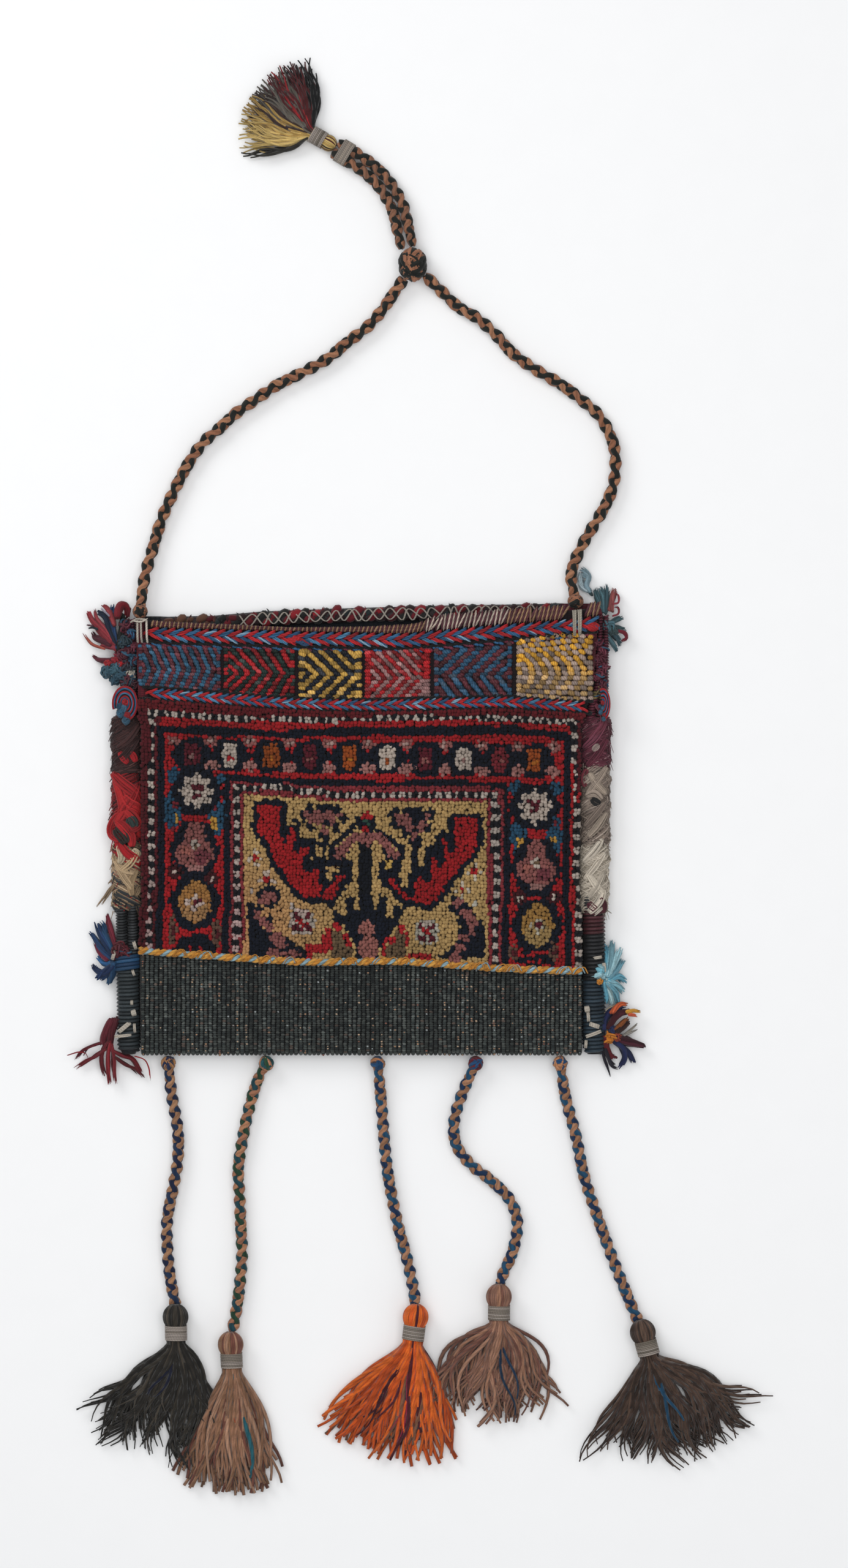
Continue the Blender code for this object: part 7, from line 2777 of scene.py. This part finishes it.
    def lashings(self) -> None:
        """The threads that tie the handle's ends over the front's edge."""
        for node, slot, spots, radius, code, lean in (
            ("left_lashing", "white_thread", (225.5, 230.0, 239.5), 0.00068, "b7aea2", 3.0),
            (
                "right_lashing", "grey_thread", (934.5, 937.4, 940.3, 943.2, 946.1, 949.0),
                0.00056, "8f887c", 3.4,
            ),
        ):
            rng = np.random.default_rng(self.seed + len(node))
            skein = Skein()
            for px in spots:
                braid_y = at(px, float(read(UPPER_BRAID_PX, px)))[1]
                edge_y = at(px, float(hem_top(np.array(px))))[1] + 0.00085
                half = UPPER_BRAID_WIDTH / 2
                arch = (
                    (braid_y - half - 0.0016, 0.0158), (braid_y - half, 0.0176), (braid_y - half / 2, 0.0188),
                    (braid_y + half, 0.0186), (edge_y - 0.0020, 0.0164), (edge_y - 0.0013, 0.0126),
                    (edge_y - 0.0011, 0.0085),
                )
                shift = rng.uniform(-0.5, 1.0) * lean * PIXEL
                x = at(px, 0)[0] + np.linspace(shift, 0, len(arch))
                path = resample(np.array([(a, y, z) for a, (y, z) in zip(x, arch)]), 0.0009)
                skein.lay(path, radius, pick(rng, 1, ((code, 1.0),), 0.25)[0], 6)
            if node == "left_lashing":
                for half, route in (
                    (2.0, ((214, 1017), (226, 1011), (242, 1012))),
                    (2.2, ((218, 1014), (232, 1016), (244, 1010))),
                ):
                    lock(skein, route, half, code, (0.0185, 0.0180), rng, 5, 0.1)
            dress(skein.piece(node + "_threads", THREAD), "bag", slot, node)


# Cords and tassels.

# The share of a cord's diameter that its braid is laid at, as its crossing strands reach past it.
BRAID_SHARE = 0.88
TWO_SIDED = {
    "black_tan": ("1c1e1b", "1c1e1b", "9a6c50", "8a5c44"),
    "navy_tan": ("161e38", "1a2a44", "9c7456", "8c664c"),
    "green_tan": ("1a3c44", "203a2a", "a47456", "92644c"),
    "blue_tan": ("142a48", "1a4460", "a07458", "8c644a"),
}


@dataclass
class Tassel:
    """A tassel: a head of folded yarns, a bound neck and a skirt of loose yarns."""

    name: str
    binding: str
    body: str
    slot: str
    head_px: tuple[float, float]
    neck_px: tuple[float, float]
    tip_px: tuple[float, float]
    tip_half: float
    choices: Sequence[tuple[str, float]]
    seed: int
    head_radius: float = 0.0075
    neck_radius: float = 0.0058
    head_choices: Sequence[tuple[str, float]] = ()
    accents: Sequence[tuple[str, float, float, float]] = ()
    spray: dict[str, float] = field(default_factory=dict)
    thread: float = 0.00052
    turns: int = 9

    def build(self) -> tuple[bpy.types.Object, bpy.types.Object]:
        """Makes the tassel and its binding, and gives both."""
        head = at(*self.head_px, GAP + self.head_radius)
        along = unit(at(*self.neck_px, head[2]) - head)
        across = np.array([-along[1], along[0], 0.0])
        up = np.array([0.0, 0.0, 1.0])
        ball_end = math.sqrt(self.head_radius**2 - self.neck_radius**2)
        rings, ring_pitch, margin = 5, 0.00165, 0.0012
        bound = rings * ring_pitch + margin
        start = head + along * (ball_end + bound)
        rng = np.random.default_rng(self.seed)
        skein = Skein()
        folds = 30
        turn = math.tau * (np.arange(folds) + rng.uniform(-0.2, 0.2, folds)) / folds
        t = np.linspace(-0.96, 1.0, 16)
        yarn = math.tau * self.head_radius / folds * 0.62
        # How much of t past the middle goes over the head, and how much along the bound neck.
        head_share, neck_share = 0.55, 0.45
        past = (t - head_share) / neck_share * bound
        onward = np.where(t < head_share, t / head_share * ball_end, ball_end + past)
        held = np.clip(onward, -self.head_radius, ball_end)
        rounded = np.sqrt(np.clip(self.head_radius**2 - held**2, 0, None))
        radius = np.where(t < head_share, rounded, self.neck_radius)
        onward = np.where(t < 0, t * self.head_radius, onward)
        radius = np.where(t < 0, self.head_radius * np.sqrt(1 - t**2), radius) - yarn * 0.6
        rims = np.cos(turn)[:, None, None] * across + np.sin(turn)[:, None, None] * up
        paths = head + onward[None, :, None] * along + radius[None, :, None] * rims
        folded = pick(rng, folds, self.head_choices or self.choices)
        skein.lay(paths, yarn, folded, 5)
        core = head + np.outer(onward, along)
        # The head's core is darker than its folded yarns: painted shade in the gaps between them.
        skein.lay(core, np.maximum(radius - yarn * 0.3, 0.0005), folded.mean(axis=0) * 0.4, 12)
        toward = at(*self.tip_px, start[2]) - start
        final = math.atan2(toward[1], toward[0])
        heading = math.atan2(along[1], along[0])
        final = heading + (final - heading + math.pi) % math.tau - math.pi
        reach = float(np.linalg.norm(toward[:2])) * 1.02
        fan = math.atan2(self.tip_half * PIXEL, reach) * 1.08
        settings = {"count": 150, "yarn": 0.0009, **self.spray}
        mouth = (self.neck_radius * 0.85, self.neck_radius * 0.85)
        Spray(
            start - along * 0.002, heading, final, reach, fan, mouth, self.choices, self.seed + 1, **settings
        ).lay(skein)
        for number, (code, aside, share, yarn_radius) in enumerate(self.accents):
            Spray(
                start - along * 0.002 + up * self.neck_radius * 0.3, heading, final + fan * aside,
                reach * share, 0.05, (0.0012, 0.0004), ((code, 1.0),), self.seed + 20 + number, count=2,
                yarn=yarn_radius, wave=0.5, low=0.0062, pile=0.0012,
            ).lay(skein)
        tassel = dress(skein.piece(self.name + "_yarns", TASSEL), self.body, self.slot, self.name)
        middle = head + along * (ball_end + bound / 2)
        bands = pick(rng, self.turns, (("9a9088", 2.0), ("7f766c", 1.5), ("6a6258", 0.7)), 0.1)
        pitch, halves = bound * 0.92 / self.turns, (self.neck_radius, self.neck_radius)
        winding = coil(Skein(), middle, along, halves, self.thread, self.turns, pitch, bands)
        made = winding.piece(self.binding + "_thread", THREAD)
        return tassel, dress(made, self.body, "grey_thread", self.binding)


@dataclass
class Pendant:
    """A braided cord from a knot under the bag, with its tassel."""

    number: int
    start_px: float
    route_px: Sequence[tuple[float, float]]
    colours: str
    rolls: tuple[float, float]
    knot_choices: Sequence[tuple[str, float]]
    tassel: Tassel
    diameter: float = 0.0072
    knot_radius: float = 0.0049

    def build(self) -> None:
        """Makes the cord, its hem knot and its tassel."""
        name, body = f"pendant_{self.number}_cord", f"pendant_{self.number}"
        low = GAP + self.diameter / 2
        knot = at(self.start_px, BOTTOM_PX, FACE_Z / 2)
        knot[1] -= self.knot_radius + GAP
        route = [at(*place, low) for place in self.route_px]
        head = at(*self.tassel.head_px, GAP + self.tassel.head_radius)
        route[-1][2] = (low + head[2]) / 2
        route[-1] = head + unit(route[-1] - head) * (self.tassel.head_radius + 2 * GAP)
        path = resample(np.array([knot, *route]), 0.002)
        tints = inks(*TWO_SIDED[self.colours])
        width = self.diameter * BRAID_SHARE
        strands = braid(Skein(), path, width, tints, turn_length=0.0150, rolls=self.rolls)
        cord = dress(strands.piece(name + "_braid", CORD), body, "blue_tan_braid", name)
        halves = [self.knot_radius] * 3
        loops = ball(Skein(), knot, halves, 0.0013, self.knot_choices, 40 + self.number, 8)
        hem_knot = loops.piece(f"pendant_{self.number}_hem_knot", CORD)
        dress(hem_knot, body, "blue_tan_braid")
        tassel, winding = self.tassel.build()


def pendants() -> list[Pendant]:
    """The five pendants, from left to right."""
    yarns = {
        1: (("25221e", 3.0), ("332e27", 2.0), ("443d34", 1.0), ("1d1b18", 1.5)),
        2: (("846048", 3.0), ("946c54", 2.0), ("6c4236", 1.5), ("a07a62", 1.0), ("1e5560", 0.12)),
        3: (("cc561c", 3.0), ("d46422", 2.0), ("ac4618", 1.4), ("4a1620", 0.4), ("7c543e", 0.4)),
        4: (("805c4c", 3.0), ("906852", 2.0), ("704a3e", 1.8), ("9c745e", 0.8)),
        5: (("3f302a", 3.0), ("4c3a30", 2.0), ("33261f", 2.0), ("5a463a", 0.6)),
    }
    places = (
        ((287, 2150), (288, 2200), (236, 2398), 122),
        ((377, 2195), (379, 2235), (376, 2446), 62),
        ((679, 2150), (674, 2190), (622, 2392), 112),
        ((815, 2117), (815, 2155), (803, 2350), 84),
        ((1050, 2175), (1061, 2215), (1135, 2402), 150),
    )
    sprays = (
        {
            "count": 330, "yarn": 0.0012, "wave": 0.65, "clumps": 21, "tip_share": 0.25, "dome": 0.55,
            "short": 0.62,
        },
        {"count": 150, "yarn": 0.0013, "wave": 0.36, "short": 0.78, "tip_share": 0.7, "dome": 0.7},
        {"count": 170, "yarn": 0.0015, "wave": 0.36, "short": 0.66, "tip_share": 0.6, "dome": 0.3},
        {
            "count": 260, "yarn": 0.0012, "wave": 0.75, "clumps": 24, "tip_share": 0.5, "dome": 1.5,
            "short": 0.64,
        },
        {
            "count": 330, "yarn": 0.0012, "wave": 0.70, "clumps": 22, "tip_share": 0.3, "dome": 0.5,
            "short": 0.62,
        },
    )
    accents = (
        (("14182c", -0.5, 0.55, 0.0012),),
        (("c04818", 0.35, 0.62, 0.0006),),
        (("4a1622", -0.75, 0.9, 0.0009), ("8c2440", 0.1, 0.95, 0.0006), ("4a1622", -0.3, 0.7, 0.0008)),
        (("1a3450", 0.6, 0.85, 0.0009),),
        (("1c4a68", 0.08, 0.8, 0.0012),),
    )
    routes = (
        (
            (280, 1787), (290, 1845), (290, 1894), (282, 1942), (273, 1991), (273, 2039), (278, 2088),
            (286, 2128),
        ),
        (
            (421, 1763), (406, 1812), (396, 1860), (389, 1908), (391, 1952), (393, 2001), (395, 2049),
            (391, 2102), (384, 2151), (379, 2174),
        ),
        ((622, 1792), (627, 1856), (634, 1920), (649, 1997), (666, 2061), (676, 2110), (678, 2128)),
        (
            (755, 1786), (742, 1830), (745, 1869), (768, 1901), (800, 1926), (832, 1958), (845, 1997),
            (838, 2042), (822, 2080), (817, 2095),
        ),
        (
            (924, 1792), (941, 1856), (954, 1920), (975, 1984), (998, 2048), (1018, 2099), (1036, 2143),
            (1042, 2155),
        ),
    )
    starts = (275, 435, 617, 777, 915)
    slots = ("charcoal_yarn", "tan_brown_yarn", "orange_yarn", "tan_brown_yarn", "charcoal_yarn")
    colours = ("navy_tan", "green_tan", "blue_tan", "blue_tan", "blue_tan")
    rolls = ((0.9, 0.6), (0.5, 0.9), (0.4, 0.9), (0.9, 0.5), (0.5, 0.9))
    knots = (
        (("1c2440", 2.0), ("a5764f", 1.0)),
        (("27452f", 2.0), ("1f4a4f", 1.0), ("a87456", 0.7)),
        (("1b3f63", 2.0), ("a3714f", 1.0)),
        (("5a1c24", 1.0), ("1b3f63", 1.5)),
        (("1b3f63", 1.5), ("a3714f", 1.0)),
    )
    made = []
    for i in range(5):
        number = i + 1
        tassel = Tassel(
            f"pendant_{number}_tassel", f"pendant_{number}_binding", f"tassel_{number}", slots[i], *places[i],
            yarns[number], 100 + number * 30, accents=accents[i], spray=sprays[i],
        )
        made.append(Pendant(number, starts[i], routes[i], colours[i], rolls[i], knots[i], tassel))
    return made


@dataclass
class Handle:
    """The braided handle: two legs, the knot that joins them, a doubled neck and a tassel."""

    diameter: float = 0.0074
    knot_z: float = GAP + 0.0075
    end_radius: float = 0.0050
    knot_px: tuple[float, float] = (674, 432)
    left_px: Sequence[tuple[float, float]] = (
        (236, 943), (252, 886), (265, 844), (286, 797), (307, 757), (331, 723), (357, 700), (383, 676),
        (420, 650), (451, 629), (493, 608), (535, 585), (566, 559), (598, 535), (624, 506), (644, 477),
        (658.6, 456.4),
    )
    right_px: Sequence[tuple[float, float]] = (
        (933, 938), (948, 896), (969, 859), (990, 823), (1003, 786), (1005, 744), (998, 713), (979, 679),
        (953, 655), (916, 627), (875, 603), (838, 577), (812, 548), (780, 519), (749, 501), (718, 472),
        (694.9, 450.2),
    )
    neck_px: Sequence[tuple[float, float]] = (
        (665, 403), (658, 373), (648, 335), (625, 297), (597, 271), (571, 254), (549, 241),
    )

    def leg(
        self,
        name: str,
        end_px: float,
        route_px: Sequence[tuple[float, float]],
        rolls: tuple[float, float],
    ) -> tuple[bpy.types.Object, bpy.types.Object, np.ndarray]:
        """One leg with its end knot.

        Args:
            name: the CAD node that it stands for.
            end_px: where its end knot is, across.
            route_px: its places in the photograph.
            rolls: how far the braid is rolled at its start and its end.

        Returns:
            The leg, its end knot and its path.
        """
        low, radius = GAP + self.diameter / 2, self.end_radius
        end = at(end_px, float(hem_top(np.array(end_px))))
        end = end + (0, radius + GAP, BACK_THICKNESS + GAP + radius)
        route = [at(*place, low) for place in route_px]
        route[0][2] = (low + end[2]) / 2
        route[-1][2] = (low + self.knot_z) / 2
        path = resample(np.array([end, *route]), 0.002)
        tints = inks(*TWO_SIDED["black_tan"])
        strands = braid(Skein(), path, self.diameter * BRAID_SHARE, tints, turn_length=0.0190, rolls=rolls)
        leg = dress(strands.piece(name + "_braid", CORD), "handle", "black_brown_braid", name)
        choices = (("1c1e1b", 1.0), ("8e6048", 1.0))
        knot = ball(Skein(), end, [radius] * 3, 0.0015, choices, 7 + round(end_px), 7)
        return leg, dress(knot.piece(name + "_end_knot", CORD), "handle", "black_brown_braid"), path

    def build(self) -> None:
        """Makes all of the handle."""
        knot_centre = at(*self.knot_px, self.knot_z)
        choices = (("1c1e1b", 1.2), ("8e6048", 1.0))
        knot = ball(Skein(), knot_centre, (0.0092, 0.0113, 0.0074), 0.0020, choices, 5, 18)
        knot_piece = knot.piece("handle_knot_loops", CORD)
        dress(knot_piece, "handle", "black_brown_braid", "handle_knot")
        for name, end_px, route_px, rolls, pieces in (
            ("handle_cord_left", 229, self.left_px, (0.9, 0.7), [knot_piece]),
            ("handle_cord_right", 940, self.right_px, (0.5, 0.9), []),
        ):
            leg, end_knot, path = self.leg(name, end_px, route_px, rolls)
        self.neck()

    def neck(self) -> None:
        """The doubled cords to the tassel, the tassel and the bindings."""
        width, head_radius, neck_radius = 0.0061, 0.0049, 0.0044
        low = GAP + head_radius
        middle = resample(np.array([at(*place, low) for place in self.neck_px]), 0.002)
        along, across, _ = frame(middle)
        tassel, winding = Tassel(
            "handle_tassel", "handle_tassel_binding", "handle_tassel", "cream_yarn",
            (536, 233), (518, 223), (412, 140), 92,
            (
                ("141516", 1.6), ("4a1a1c", 1.4), ("8c2024", 0.3), ("5c564e", 1.4), ("3a2a26", 0.6),
                ("a8884c", 1.6), ("c4a868", 2.2), ("2c2a26", 0.3),
            ),
            71, head_radius, neck_radius,
            spray={
                "count": 260, "yarn": 0.0010, "wave": 0.42, "pile": 0.006, "banded": True, "dome": 0.8,
                "tip_share": 0.4,
            },
        ).build()
        place = at(562, 249, low)
        nearest = int(np.linalg.norm(middle - place, axis=1).argmin())
        bands = pick(np.random.default_rng(8), 8, (("8a8178", 2.0), ("a09488", 1.0)), 0.1)
        halves = (width + 2 * GAP, width / 2)
        bound = coil(Skein(), middle[nearest], along[nearest], halves, 0.0005, 8, 0.0009, bands, 0.6)
        bound_piece = bound.piece("neck_binding_thread", THREAD)
        dress(bound_piece, "handle", "grey_thread", "neck_binding")
        tints = inks("1c1e1b", "20211e", "8c6048", "7e5844")
        for name, sign, rolls, pieces in (
            ("neck_cord_upper", 1, (0.8, 0.8), [tassel, winding, bound_piece]),
            ("neck_cord_lower", -1, (0.4, 0.6), []),
        ):
            path = middle + across * sign * (width / 2 + GAP * 1.5)
            strands = braid(Skein(), path, width * 1.04, tints, turn_length=0.0160, rolls=rolls)
            cord = strands.piece(name + "_braid", CORD)
            dress(cord, "handle", "black_brown_braid", name)


def main() -> None:
    """Dresses the frame, piece by piece."""
    logging.basicConfig(level=logging.INFO, format="%(message)s")
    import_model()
    Studio().build()
    shapes = Shapes()
    Front(shapes).build()
    Band(shapes).build()
    Rim(shapes).build()
    Sides().build()
    Handle().build()
    for pendant in pendants():
        pendant.build()


if __name__ == "__main__":
    main()
